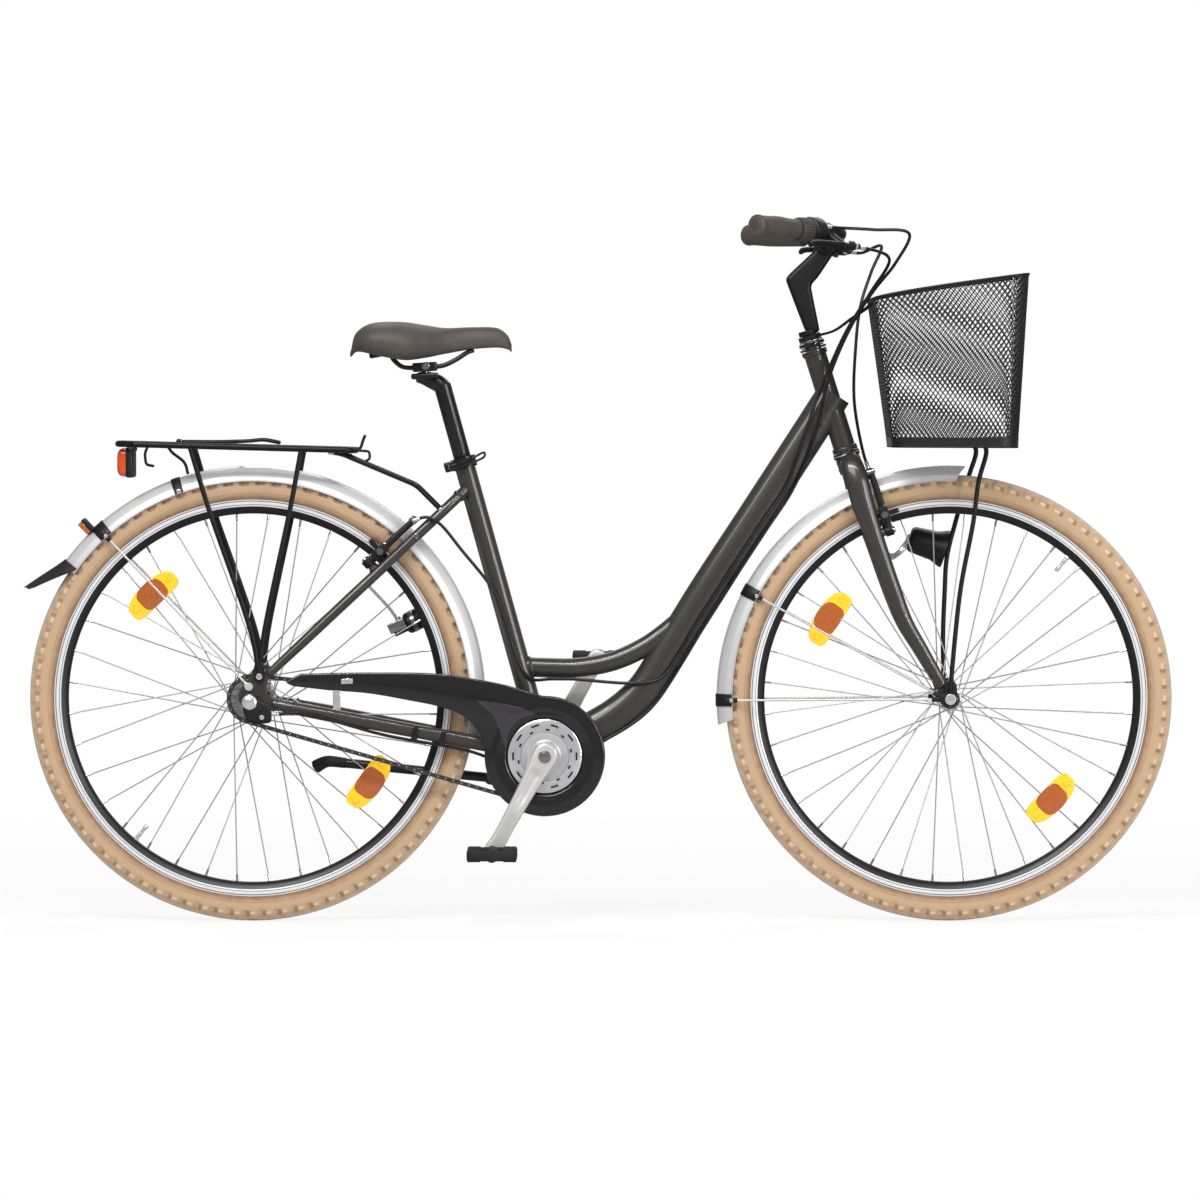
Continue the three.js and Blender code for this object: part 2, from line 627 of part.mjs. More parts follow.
function dynamoSolid() {
  const foot = dynamo.inner + dynamo.neck + gap;
  const top = dynamo.inner + dynamo.length;
  const body = rod([alongDynamo(foot), alongDynamo(top - dynamo.neck)], dynamo.radius, 12);
  const neck = tube(
    [alongDynamo(dynamo.inner), alongDynamo(foot + overrun)], [dynamo.neck, dynamo.ear - gap], 8,
  );
  const knuckle = rod([besideDynamo(-dynamo.ear), besideDynamo(dynamo.ear)], dynamo.neck, 8);
  const roller = rod(
    [alongDynamo(top - dynamo.neck - overrun), alongDynamo(top + dynamo.roller)], dynamo.rollerRadius,
    12,
  );
  return joined(body, neck, knuckle, roller);
}

const standPivot = at(-stand.pivotX, stand.spread, stand.pivotZ);
const standFolded = at(-stand.length, 0, stand.lift);
const standDown = at(...standDownShares).multiplyScalar(stand.length);
const standAxis = standFolded.clone().cross(standDown).normalize(); // points inwards, to the chain stays
const alongStandAxis = (distance) => standPivot.clone().addScaledVector(standAxis, distance);

const chainStayShares = [[0, 1], [0.12, 0.97], [0.4, 0.76], [0.7, 0.52], [0.84, 0.48], [1, 0.4]];
const chainStayStart = at(dropoutPoint([1, 0])[0], 0, dropoutPoint([0, -0.19])[1]);
const chainStayPoint = (share, side) => chainStayStart.clone()
  .lerp(bracketCentre, share)
  .setY(side * (dropoutOuter - dropout.sheet / 2) * between(chainStayShares, share));
const chainStaySize = (share) => [
  chainStay.tipRadius + (chainStay.wide - chainStay.tipRadius) * share,
  chainStay.tipRadius + (chainStay.deep - chainStay.tipRadius) * share,
];

function chainStaysSolid() {
  const hole = pin(
    axle.radius + gap, -2 * dropout.inner, 2 * dropout.inner,
  ).translate(rearAxle.toArray());
  const legs = sides.map((side) => tube(
    chainStayShares.map(([share]) => chainStayPoint(share, side).add(at(
      share === 0 ? -overrun : 0, 0, 0,
    ))),
    chainStayShares.map(([share]) => chainStaySize(share)), 8));
  const plates = [
    sheet(dropoutShares.map(dropoutPoint), -dropoutOuter, -dropout.inner),
    sheet(dropoutShares.map(dropoutPoint), dropout.inner, dropoutOuter),
  ];
  const bridgeShare = (chainStayStart.x + chainStay.bridgeX) / (chainStayStart.x - bracketCentre.x);
  const middle = chainStayPoint(bridgeShare, 0);
  const half = chainStay.bridge;
  const reach = chainStayPoint(bridgeShare, 1).y;
  const bridge = block(
    middle.clone().add(at(-2 * half, -reach, -half)), middle.clone().add(at(2 * half, reach, half / 2)),
  );
  const face = stand.radius + gap;
  const ear = rod([alongStandAxis(face), alongStandAxis(face + stand.post)], stand.knuckle, 10);
  const postPath = [
    middle.clone().setY(reach / 2), alongStandAxis(face + 2 * stand.knuckle),
    alongStandAxis(face + stand.post / 2),
  ];
  const post = rod(postPath, stand.post, 6);
  return without(joined(legs, plates, bridge, post, ear), bracketEnvelope, hole);
}

piece("bottom_bracket_shell", bracketShell(), "frame", group);
piece("seat_stays", seatStaysSolid(), "frame", group);
piece("chain_stays", chainStaysSolid(), "frame", group);
piece("dynamo", dynamoSolid(), "black", group);

// Seat clamp with its quick release, seat post and saddle, along the seat tube

const seatFrame = placed(bracketCentre, -radians(seatTube.lean));
const clampTop = seatTube.length + overrun;
const lugBack = seatClamp.radius + seatClamp.lug / 2;

function seatClampSolid() {
  const foot = clampTop - seatClamp.height;
  const lug = block(
    at(-lugBack - seatClamp.lug / 2, -seatClamp.lug, foot),
    at(-seatTube.radius - overrun / 2, seatClamp.lug, clampTop),
  );
  const ring = upright(pin(seatClamp.radius, foot, clampTop, 12)).add(lug);
  const over = tube(
    [at(0, 0, 0), at(0, 0, seatTube.length + gap)], [seatTube.radius + gap, seatTube.radius + gap], 12,
  );
  const post = tube(
    [at(0, 0, 0), at(0, 0, 2 * seatTube.length)], [seatPost.radius + gap, seatPost.radius + gap], 12,
  );
  return without(ring, over, post);
}

function seatLeverSolid() {
  const y = -seatClamp.lug - gap - seatLever.thickness;
  const z = clampTop - seatClamp.height / 2;
  const path = [
    at(-lugBack, y, z), at(-lugBack / 2, y - seatLever.thickness * 2, z),
    at(seatLever.length / 2, y - seatLever.thickness * 2, z + seatLever.thickness),
  ];
  const knuckle = upright(pin(
    seatLever.thickness, z - seatLever.width / 2, z + seatLever.width / 2, 8,
  ));
  return tube(
    path, [seatLever.thickness, seatLever.width / 2], 8,
  ).add(knuckle.translate([-lugBack, y, 0]));
}

const postTop = (seatPost.topZ - bracket.z) / seatUp.z;
const headSpot = alongSeat(postTop).add(at(-clampHead.back, 0, clampHead.lift));

function seatPostSolid() {
  const post = tube(
    [alongSeat(seatTube.length - seatPost.inside), alongSeat(postTop)],
    [seatPost.radius, seatPost.radius], 12,
  );
  const half = at(clampHead.length, clampHead.width, clampHead.height).multiplyScalar(1 / 2);
  const cradle = block(headSpot.clone().sub(half), headSpot.clone().add(half));
  const neck = rod([alongSeat(postTop - overrun), headSpot], seatPost.radius, 8);
  return without(joined(post, cradle, neck), railsSolid(gap));
}

// The saddle is a loft of stations from tail to nose. Each holds a place along the length, a half
// width, the height of its crown and of its underside, and the depth of the channel in its middle.
const saddleStations = [
  [0, 0.34, 0.2, 0.62, 0], [0.05, 0.78, 0.76, 0.72, 0.02], [0.16, 0.98, 0.98, 0.88, 0.05],
  [0.32, 0.96, 1, 1, 0.06],
  [0.46, 0.72, 0.92, 0.94, 0.06], [0.6, 0.42, 0.84, 0.8, 0.05], [0.75, 0.29, 0.86, 0.68, 0.03],
  [0.9, 0.25, 0.84, 0.62, 0.01],
  [0.97, 0.19, 0.66, 0.58, 0], [1, 0.09, 0.4, 0.52, 0],
];

function saddleSolid(grow) {
  const height = saddle.crownZ - saddle.wingZ;
  const outlineShares = [
    [0, 1, -1], [0.3, 1, -0.3], [0.62, 0.95, 0], [0.88, 0.78, 0], [1, 0.5, 0],
    [0.97, 0.24, 0], [0.86, 0.06, 0],
    [0.5, 0.0, 0],
  ];
  const ring = ([along, wide, crown, low, dip]) => {
    const top = saddle.wingZ + height * crown + grow;
    const bottom = saddle.wingZ + height * (1 - low) * crown - grow;
    const point = ([w, h, d], side) => at(
      -saddle.tailX + saddle.length * along, side * w * ((saddle.width / 2) * wide + grow),
      bottom + (top - bottom) * h + d * dip * height,
    );
    return [
      ...outlineShares.map((p) => point(p, 1)),
      ...outlineShares.slice(1).reverse().map((p) => point(p, -1)),
    ];
  };
  return fromRings(saddleStations.map(ring));
}

function saddleUnderside(x) {
  const liftShares = saddleStations.map(([along, , crown, low]) => [along, (1 - low) * crown]);
  return saddle.wingZ + (saddle.crownZ - saddle.wingZ) * between(
    liftShares, (x + saddle.tailX) / saddle.length,
  );
}

// The rails are one bent rod, closed at the tail and at the nose under the saddle's shell.
function railsSolid(grow) {
  const y = rails.spread;
  const radius = rails.radius + grow;
  const low = headSpot.z + clampHead.height / 6;
  const tailX = headSpot.x - clampHead.length * 1.25;
  const noseX = headSpot.x + clampHead.length * 1.6;
  const seat = (x) => saddleUnderside(x) - rails.radius - 2 * gap;
  const side = (s) => [
    at(tailX, s * y, seat(tailX)), at(headSpot.x - clampHead.length * 0.75, s * y, low),
    at(
      headSpot.x + clampHead.length * 0.6, s * y, low + overrun / 2,
    ), at(noseX, s * y * 0.6, seat(noseX)),
  ];
  const bars = [[tailX, y], [noseX, y * 0.6]].map(([x, reach]) =>
    rod([at(x, -reach - radius, seat(x)), at(x, reach + radius, seat(x))], radius, 6, upwards));
  return joined(rod(side(-1), radius), rod(side(1), radius), bars);
}

piece("seat_clamp", seatClampSolid(), "black", seatFrame);
piece("seat_clamp_lever", seatLeverSolid(), "black", seatFrame);
piece("seat_post", seatPostSolid(), "black", group);
piece("saddle_rails", railsSolid(0), "satinBlack", group);
piece("saddle", saddleSolid(0), "leather", group);

// Cranks, chainring, chain, sprocket, guard and pedals

const crankFrame = placed(bracketCentre);
const crankTurn = radians(crank.angle);
const pedalSpot = (side) => at(
  side * crank.length * Math.sin(crankTurn), 0, side * crank.length * Math.cos(crankTurn),
);
const chainringRadius = (chainring.pitchRadius - chain.height / 2) * Math.cos(Math.PI / 24) - gap;
const sprocketRadius = (sprocket.pitchRadius - chain.height / 2) * Math.cos(Math.PI / 24) - gap;

function crankSolid(side) {
  const middle = (side * (crank.inner + crank.outer)) / 2;
  const end = pedalSpot(side);
  const y = (distance) => at(0, side * distance, 0);
  const arm = tube([
    at(0, middle, 0), end.clone().multiplyScalar(1 / 2).setY(middle),
    end.clone().multiplyScalar(1.06).setY(middle),
  ],
    [
      [(crank.outer - crank.inner) / 2, crank.bossRadius], [crank.wide, crank.deep],
      [crank.wide, crank.tipDeep],
    ], 8);
  const boss = pin(
    crank.bossRadius, Math.min(side * crank.outer, side * crank.inner),
    Math.max(side * crank.outer, side * crank.inner), 16,
  );
  const spindleEnds = [y(crank.inner - overrun), y(pedal.start + pedal.width - pedal.axleRadius)];
  const pedalAxle = rod(spindleEnds, pedal.axleRadius, 8, upwards).translate([end.x, 0, end.z]);
  return joined(arm, boss, pedalAxle);
}

function crankRightSolid() {
  const outer = chainLine + chainring.thickness / 2 + gap;
  const disc = pin(spider.radius, -spider.inner - spider.thickness, -spider.inner, 18);
  const carrierDisc = pin(chainring.boreRadius, -spider.inner - gap, -outer + chainring.thickness, 18);
  const neck = pin(crank.bossRadius, -crank.inner - overrun, -spider.inner, 16);
  const hub = pin(bracket.bore, -spider.inner, -bracket.halfWidth - gap, 12);
  return joined(crankSolid(-1), disc, carrierDisc, neck, hub);
}

// The left crank carries the axle that runs through the bottom bracket.
function crankLeftSolid() {
  const spindle = pin(bracket.bore - 2 * gap, -bracket.halfWidth, crank.inner + overrun, 12);
  return crankSolid(1).add(spindle);
}

function chainringSolid() {
  const half = chainring.thickness / 2;
  const seat = (chainring.boreRadius + gap) / Math.cos(Math.PI / 18);
  return turned(
    [
      [seat, -chainLine - half], [chainringRadius, -chainLine - half],
      [chainringRadius, -chainLine + half], [seat, -chainLine + half],
    ],
    24,
  );
}

function sprocketSolid() {
  const half = sprocket.thickness / 2;
  const boss = chainLine + sprocket.bossRadius - overrun - gap;
  const bore = axle.radius + gap;
  return turned([
    [bore, -boss], [sprocket.bossRadius, -boss], [
      sprocket.bossRadius, -chainLine - half,
    ], [sprocketRadius, -chainLine - half],
    [sprocketRadius, -chainLine + half], [sprocket.bossRadius, -chainLine + half], [
      sprocket.bossRadius, -rearHub.halfLength - gap,
    ], [bore, -rearHub.halfLength - gap],
  ], 18);
}

// The chain is a band round both sprockets, with straight runs on their common tangents.
function chainOutline(grow) {
  const apart = rearAxle.distanceTo(bracketCentre);
  const slope = Math.atan2(bracketCentre.z - rearAxle.z, bracketCentre.x - rearAxle.x);
  const open = Math.asin((chainring.pitchRadius - sprocket.pitchRadius) / apart);
  const arc = (centre, radius, from, to, steps) => Array.from({ length: steps + 1 }, (_, k) => {
    const turn = from + ((to - from) * k) / steps;
    return [centre.x + (radius + grow) * Math.cos(turn), centre.z + (radius + grow) * Math.sin(turn)];
  });
  const quarter = Math.PI / 2;
  return [
    ...arc(bracketCentre, chainring.pitchRadius, slope - quarter - open, slope + quarter + open, 20),
    ...arc(rearAxle, sprocket.pitchRadius, slope + quarter + open, slope + 3 * quarter - open, 10),
  ];
}

function chainSolid() {
  const half = chain.height / 2;
  const inner = chainOutline(-half);
  return sheet(chainOutline(half), -chainLine - chain.width / 2, -chainLine + chain.width / 2, [inner]);
}

// The guard's outline is written from the bracket's centre, in shares of its arm and of its disc.
function guardSolid() {
  const arm = guard.tipX - bracket.x;
  const disc = guard.discRadius;
  const armShares = [
    [-0.16, 1.2], [-0.28, 1.3], [-0.42, 1.38], [-0.66, 1.4], [-0.94, 1.38], [-1, 1.24], [-0.94, 1.16],
    [-0.83, 1.1], [-0.71, 1.06], [-0.5, 0.86], [-0.42, 0.92], [-0.32, 0.78], [-0.262, 0.45],
  ];
  const discShares = circle(0, 0, 1, 20).filter(([x, z]) => !(x < -0.2 && z > 0.2));
  const start = discShares.findIndex(([x, z]) => z < 0.2 && x < 0);
  const around = [...discShares.slice(start), ...discShares.slice(0, start)];
  const outline = [
    ...around.map(([x, z]) => [bracketCentre.x + x * disc, bracketCentre.z + z * disc]),
    ...armShares.map(([x, z]) => [bracketCentre.x + x * arm, bracketCentre.z + z * disc]),
  ];
  const plate = sheet(
    outline, -guard.offset - guard.sheet, -guard.offset,
    [circle(bracketCentre.x, bracketCentre.z, guard.holeRadius, 24)],
  );
  const lugShare = 0.8;
  return plate.add(guardLug(bracketCentre.x - arm * lugShare, bracketCentre.z + disc * 1.2));
}

// The guard's rear lug turns outwards at its foot and rests on the right chain stay.
function guardLug(x, top) {
  const share = (chainStayStart.x - x + guard.lug) / (chainStayStart.x - bracketCentre.x);
  const stay = chainStayPoint(share, -1);
  const low = stay.z + chainStaySize(share)[1] * Math.cos(Math.PI / 8) + gap;
  const strap = block(
    at(x - guard.lug, -guard.offset - guard.sheet, low), at(x + guard.lug, -guard.offset, top),
  );
  const foot = block(
    at(x - guard.lug, stay.y - guard.sheet, low), at(x + guard.lug, -guard.offset, low + guard.sheet),
  );
  return strap.add(foot);
}

function pedalSolid(side) {
  const half = at(pedal.length / 2, 0, pedal.height / 2);
  const from = pedal.start;
  const to = pedal.start + pedal.width;
  const along = (x, y, z) => at(x, side * y, z);
  const box = (a, b) => block(
    at(Math.min(a.x, b.x), Math.min(a.y, b.y), Math.min(a.z, b.z)), at(
      Math.max(a.x, b.x), Math.max(a.y, b.y), Math.max(a.z, b.z),
    ));
  const body = box(along(-half.x, from, -half.z), along(half.x, to, half.z));
  const windows = sides.map((end) => box(
    along(end * pedal.sleeve, from + pedal.frame, -2 * half.z), along(
      end * (half.x - pedal.frame), to - pedal.frame, 2 * half.z,
    )));
  const bore = rod(
    [along(0, from - overrun, 0), along(0, to + gap - pedal.axleRadius + gap, 0)],
    pedal.axleRadius + 2 * gap, 12, upwards,
  );
  return without(body, windows, bore);
}

piece("crank_right", crankRightSolid(), "brushed", crankFrame);
piece("crank_left", crankLeftSolid(), "brushed", crankFrame);
piece("chainring", chainringSolid(), "satinBlack", crankFrame);
piece("pedal_right", pedalSolid(-1), "black", placed(pedalSpot(-1).add(bracketCentre)));
piece("pedal_left", pedalSolid(1), "black", placed(pedalSpot(1).add(bracketCentre)));
piece("rear_sprocket", sprocketSolid(), "brushed", rearWheel);
piece("chain", chainSolid(), "satinBlack", group);
piece("chain_guard", guardSolid(), "black", group);

// Kickstand, folded back along the left chain stay
function standSolid() {
  const foot = standPivot.clone().add(standFolded);
  const leg = rod([standPivot, foot], stand.radius, 8);
  const shoeEnds = [
    foot.clone().add(at(overrun, 0, 0)), foot.clone().add(at(-stand.foot, stand.toe, -stand.foot / 2)),
  ];
  const shoe = tube(shoeEnds, [stand.radius, stand.radius + overrun], 8);
  const knuckle = rod([alongStandAxis(-stand.radius), alongStandAxis(stand.radius)], stand.knuckle, 10);
  return joined(leg, shoe, knuckle);
}

piece("kickstand", standSolid(), "black", group);

// Fork, stem and headset, along the steering axis

const axleInHead = inHead(frontAxle);
const headTop = head.length + 2 * gap;

function forkSolid() {
  const shell = upright(turned([
    [0, -steerer.crownDepth], [head.radius, -steerer.crownDepth],
    [steerer.raceRadius, -head.cup], [steerer.raceRadius, -2 * gap],
    [steerer.radius, -2 * gap], [
      steerer.radius, headTop + steerer.nutStack,
    ], [steerer.bore, headTop + steerer.nutStack],
    [steerer.bore, steerer.floor], [0, steerer.floor],
  ], 12));
  // Each row holds shares of the rake, of the spread, of the drop to the axle, and of the two half sizes.
  const bladeShares = [
    [0, 0.25, 0.025, 1, 0.8], [0.05, 0.72, 0.05, 1, 0.95], [0.06, 0.97, 0.11, 1, 1], [0, 1, 0.2, 1, 1],
    [0.04, 1.02, 0.34, 0.95, 0.82], [0.1, 1.1, 0.54, 0.85, 0.76], [0.2, 1.17, 0.677, 0.8, 0.68],
    [0.48, 1.25, 0.79, 0.7, 0.6], [0.86, 1.31, 0.943, 0.64, 0.5],
  ];
  const drop = axleInHead.z;
  const legs = sides.map((side) => tube(
    bladeShares.map(([rake, spread, fall]) => at(
      axleInHead.x * rake, side * blade.spread * spread, drop * fall,
    )),
    bladeShares.map(([, , , wide, deep]) => [blade.wide * wide, blade.deep * deep]), 8));
  const pivot = inHead(frontPivot);
  const bosses = sides.map((side) => rod(
    [
      at(0, side * brake.pivotSpread, pivot.z),
      at(brake.frontReach - bossTop, side * brake.pivotSpread, pivot.z),
    ], brake.bossRadius, 6));
  const ends = sides.map((side) => tube(
    [
      at(axleInHead.x * 0.8, side * blade.tipSpread, drop * 0.925),
      at(axleInHead.x, side * blade.tipSpread, drop - blade.dropoutHalf),
    ],
    [blade.dropout / 2, blade.dropoutHalf], 4));
  const hole = pin(
    axle.radius + gap, -2 * blade.tipSpread, 2 * blade.tipSpread,
  ).translate([axleInHead.x, 0, axleInHead.z]);
  return without(joined(shell, legs, bosses, ends, headlightArm()), hole);
}

// The headlight sits on an arm from the left blade, beside the wheel.
function headlightArm() {
  const face = headlight.y - headlight.lug / 2 - gap;
  const armY = face - headlight.armRadius;
  const spot = inHead(at(headlight.x, armY, headlight.z));
  const root = at(0, blade.spread, spot.z - headlight.length * 0.75);
  const knee = at(spot.x - headlight.radius / 2, armY, spot.z - headlight.radius * 0.6);
  const eye = pin(
    headlight.armRadius * 2, face - headlight.lug, face, 10,
  ).translate([spot.x, 0, spot.z]);
  return joined(rod([root, knee, spot], headlight.armRadius, 6), eye);
}

function headlightSolid() {
  const lamp = turned([
    [0, 2 * headlight.lug], [
      headlight.radius * 0.65, 2 * headlight.lug,
    ], [headlight.radius, headlight.length * 0.35],
    [headlight.radius, headlight.length * 0.72], [headlight.lensRadius, headlight.length * 0.88],
    [headlight.lensRadius, headlight.length], [0, headlight.length],
  ], 12).rotate([0, 0, -90]);
  const eye = pin(headlight.armRadius * 2, -headlight.lug / 2, headlight.lug / 2, 10);
  const neck = tube(
    [at(0, 0, 0), at(3 * headlight.lug, 0, 0)], [headlight.lug / 2, headlight.armRadius], 4,
  );
  return joined(lamp, eye, neck);
}

function headsetNutSolid() {
  const ripples = [[0, 1], [0.2, 1.12], [0.34, 1], [0.5, 1.12], [0.64, 1], [1, 1]];
  const outer = ripples.map(([rise, swell]) => [
    steerer.nutRadius * swell, headTop + steerer.nutStack * rise,
  ]);
  const bore = steerer.radius + 2 * gap;
  return upright(turned(
    [[bore, headTop + gap], ...outer.slice(1), [bore, headTop + steerer.nutStack]], 12,
  ));
}

const clampInHead = inHead(barMiddle);

function stemSolid() {
  const quill = upright(pin(stem.quillRadius, stem.quillFoot, stem.kneeZ, 12));
  const neck = tube(
    [at(0, 0, stem.kneeZ - stem.deep), clampInHead.clone().setY(0)], [stem.wide, stem.deep], 10,
  );
  const collar = upright(pin(stem.wide, headTop + steerer.nutStack + gap, stem.kneeZ + overrun, 12));
  const clamp = pin(
    stem.clampRadius, -stem.clampWidth / 2, stem.clampWidth / 2, 12,
  ).translate([clampInHead.x, 0, clampInHead.z]);
  const bore = pin(
    bar.radius + 2 * gap, -stem.clampWidth, stem.clampWidth, 12,
  ).translate([clampInHead.x, 0, clampInHead.z]);
  return without(joined(quill, neck, collar, clamp), bore);
}

piece("fork", forkSolid(), "frame", steerFrame);
piece("headset_nut", headsetNutSolid(), "black", steerFrame);
piece("stem", stemSolid(), "satinBlack", steerFrame);
piece(
  "headlight", headlightSolid(), "black",
  placed(at(headlight.x, headlight.y, headlight.z), radians(headlight.aim)),
);

// Handlebar with its grips, twist shifter and brake levers, about the middle of the bar

const barFrame = placed(barMiddle);
const barSweep = radians(39);
const barOut = (side) => at(-Math.sin(barSweep), side * Math.cos(barSweep), 0.04).normalize();
const barEnd = (side) => at(-bar.sweep, side * bar.halfWidth, bar.lift);
const onBar = (distance, side) => barEnd(side).addScaledVector(barOut(side), -distance);
const boreRadius = bar.radius + 2 * gap;

function barPath() {
  const half = (side) => [
    ...smooth([
      at(0, side * bar.middle * 0.6, 0), at(0, side * bar.middle, 0), at(
        bar.middle * 0.2, side * bar.middle * 2.05, bar.lift * 0.27,
      ),
      onBar(bar.straight, side), onBar(bar.straight * 0.9, side),
    ], 7),
    onBar(0, side),
  ];
  return [...half(-1).reverse(), ...half(1)];
}

const sleeve = (side, from, to, halves, boreFrom) => without(
  tube([onBar(from, side), onBar(to, side)], halves, 12, upwards),
  rod([onBar(boreFrom, side), onBar(to + overrun, side)], boreRadius, 12, upwards));

const leverFront = (side) => barOut(side).cross(upwards).multiplyScalar(side).normalize()
  .multiplyScalar(Math.cos(radians(lever.drop))).addScaledVector(
    upwards, -Math.sin(radians(lever.drop)),
  );
const leverHinge = (side) => leverFront(side).cross(barOut(side)).multiplyScalar(side).normalize();
const leverPivot = (side) => onBar(lever.mount, side).addScaledVector(leverFront(side), lever.reach);
const nearLever = (side, outward, forward, up) => leverPivot(side)
  .addScaledVector(barOut(side), outward)
  .addScaledVector(leverFront(side), forward)
  .addScaledVector(leverHinge(side), up);

function leverSolid(side) {
  const length = lever.length;
  const path = [[-0.05, 0], [0.25, -0.03], [0.65, -0.05], [1, 0.03]].map(([out, front]) => nearLever(
    side, out * length, front * length, 0,
  ));
  return tube(
    path,
    [
      [lever.deep, lever.wide], [lever.deep, lever.wide], [lever.deep * 0.8, lever.wide],
      [lever.deep * 0.6, lever.wide],
    ],
    8, leverHinge(side),
  );
}

function leverMountSolid(side) {
  const from = lever.mount - lever.collar / 2;
  const inner = -lever.bodyRadius - overrun;
  const earUp = lever.deep + gap + overrun / 2;
  const collar = tube(
    [onBar(from, side), onBar(from + lever.collar, side)], [lever.collarRadius, lever.collarRadius], 12,
    upwards,
  );
  const arm = rod(
    [onBar(lever.mount + overrun, side), nearLever(side, inner, -overrun, 0)], lever.bodyRadius * 0.85,
    6, upwards,
  );
  const ear = tube(
    [nearLever(side, inner, 0, earUp), nearLever(side, overrun, 0, earUp)],
    [overrun / 2, lever.bodyRadius * 0.8], 6, leverHinge(side),
  );
  const barrel = tube([
    nearLever(side, inner + overrun, 0, 0), nearLever(side, inner, 0, 0),
    nearLever(side, -lever.barrel, 0, 0),
  ],
    [
      [overrun / 2, overrun / 2], [lever.bodyRadius, lever.bodyRadius],
      [lever.bodyRadius * 0.6, lever.bodyRadius * 0.6],
    ], 6, upwards);
  const bore = rod(
    [onBar(from - lever.collar, side), onBar(from + 2 * lever.collar, side)], boreRadius, 12, upwards,
  );
  return without(joined(collar, arm, barrel, ear), bore);
}

piece("handlebar", rod(barPath(), bar.radius, 10, upwards), "satinBlack", barFrame);
piece(
  "grip_right", sleeve(-1, -grip.cap, grip.rightLength, [grip.deep, grip.radius], -gap), "leather",
  barFrame,
);
piece(
  "grip_left", sleeve(1, -grip.cap, grip.leftLength, [grip.deep, grip.radius], -gap), "leather",
  barFrame,
);
const shifterStart = grip.rightLength + 2 * gap;
piece(
  "twist_shifter",
  sleeve(-1, shifterStart, shifterStart + shifter.length, [shifter.radius, shifter.radius], 0),
  "rubber", barFrame,
);
piece("brake_lever_mount_right", leverMountSolid(-1), "black", barFrame);
piece("brake_lever_mount_left", leverMountSolid(1), "black", barFrame);
piece("brake_lever_right", leverSolid(-1), "black", barFrame);
piece("brake_lever_left", leverSolid(1), "black", barFrame);

// Rim brakes. Each arm stands beside the wheel on its boss and holds one pad.

function brakeArm(side) {
  const y = side * brake.pivotSpread;
  const arm = tube([
    at(0, y, 0), at(0, y, brake.pivotBelow), at(0, y * brake.topSpreadShare, brake.armLength),
  ],
    [
      [brake.armWide / 2, brake.armDeep / 2], [brake.armWide / 2, brake.armDeep / 2],
      [brake.armWide * 0.4, brake.armDeep * 0.4],
    ], 8);
  const knuckle = pin(
    brake.hubRadius, -brake.armDeep / 2, brake.armDeep / 2, 10,
  ).rotate([0, 0, -90]).translate([0, y, 0]);
  const padFace = rim.width / 2 + brake.padGap; // low on the rim, so that the tyre turns clear of it
  const yBand = [side * padFace, side * (padFace + brake.padThickness)].sort((a, b) => a - b);
  const half = brake.padHeight / 2;
  const pad = block(
    at(-brake.padLength / 2, yBand[0], brake.padRise - half),
    at(brake.padLength / 2, yBand[1], brake.padRise + half),
  );
  const stud = rod(
    [at(0, side * (padFace + brake.padThickness - overrun), brake.padRise), at(0, y, brake.padRise)],
    brake.studRadius, 6, upwards,
  );
  return joined(arm, knuckle, pad, stud);
}

const stayLean = Math.atan2(stayUp.x, stayUp.z);
const frontBrakes = placed(frontPivot, -radians(head.lean));
const rearBrakes = placed(rearPivot, stayLean);
piece("front_brake_arm_right", brakeArm(-1), "black", frontBrakes);
piece("front_brake_arm_left", brakeArm(1), "black", frontBrakes);
piece("rear_brake_arm_right", brakeArm(-1), "black", rearBrakes);
piece("rear_brake_arm_left", brakeArm(1), "black", rearBrakes);

// Fenders, each a curved sheet about its axle, with their wire stays

const onWheel = (centre, radius, degrees, y) => centre.clone().add(at(
  radius * Math.cos(radians(degrees)), y, radius * Math.sin(radians(degrees)),
));

function bentSheet(centre, from, to, steps, radiusAt, halfWidth, skirt, thickness) {
  const shares = [-1, -0.7, 0, 0.7, 1];
  const fall = (t) => skirt * Math.abs(t) ** 2.2;
  const ring = (degrees) => [
    ...shares.map((t) => onWheel(centre, radiusAt(degrees) - fall(t), degrees, halfWidth * t)),
    ...shares.slice().reverse().map((t) => onWheel(
      centre, radiusAt(degrees) - thickness - fall(t), degrees, (halfWidth - thickness) * t,
    )),
  ];
  return fromRings(Array.from({ length: steps + 1 }, (_, k) => ring(from + ((to - from) * k) / steps)));
}

const fenderStep = 7.5; // degrees from one facet to the next
const fenderSheet = (centre, from, to) =>
  bentSheet(
    centre, from, to, Math.round((to - from) / fenderStep), () => fender.radius, fender.width / 2,
    fender.skirt, fender.sheet,
  );

function frontFenderSolid() {
  const crown = alongHead(0, 0, -steerer.crownDepth - gap);
  const toCrown = crown.clone().sub(frontAxle).normalize();
  const foot = frontAxle.clone().addScaledVector(toCrown, fender.radius - fender.sheet);
  const bolt = rod(
    [
      foot,
      foot.clone().lerp(
        crown, 1 - (2 * fender.boltRadius * Math.tan(radians(head.lean))) / fender.radius,
      ),
    ],
    fender.boltRadius, 8,
  );
  return fenderSheet(frontAxle, ...wheelTurns.frontFender).add(bolt);
}


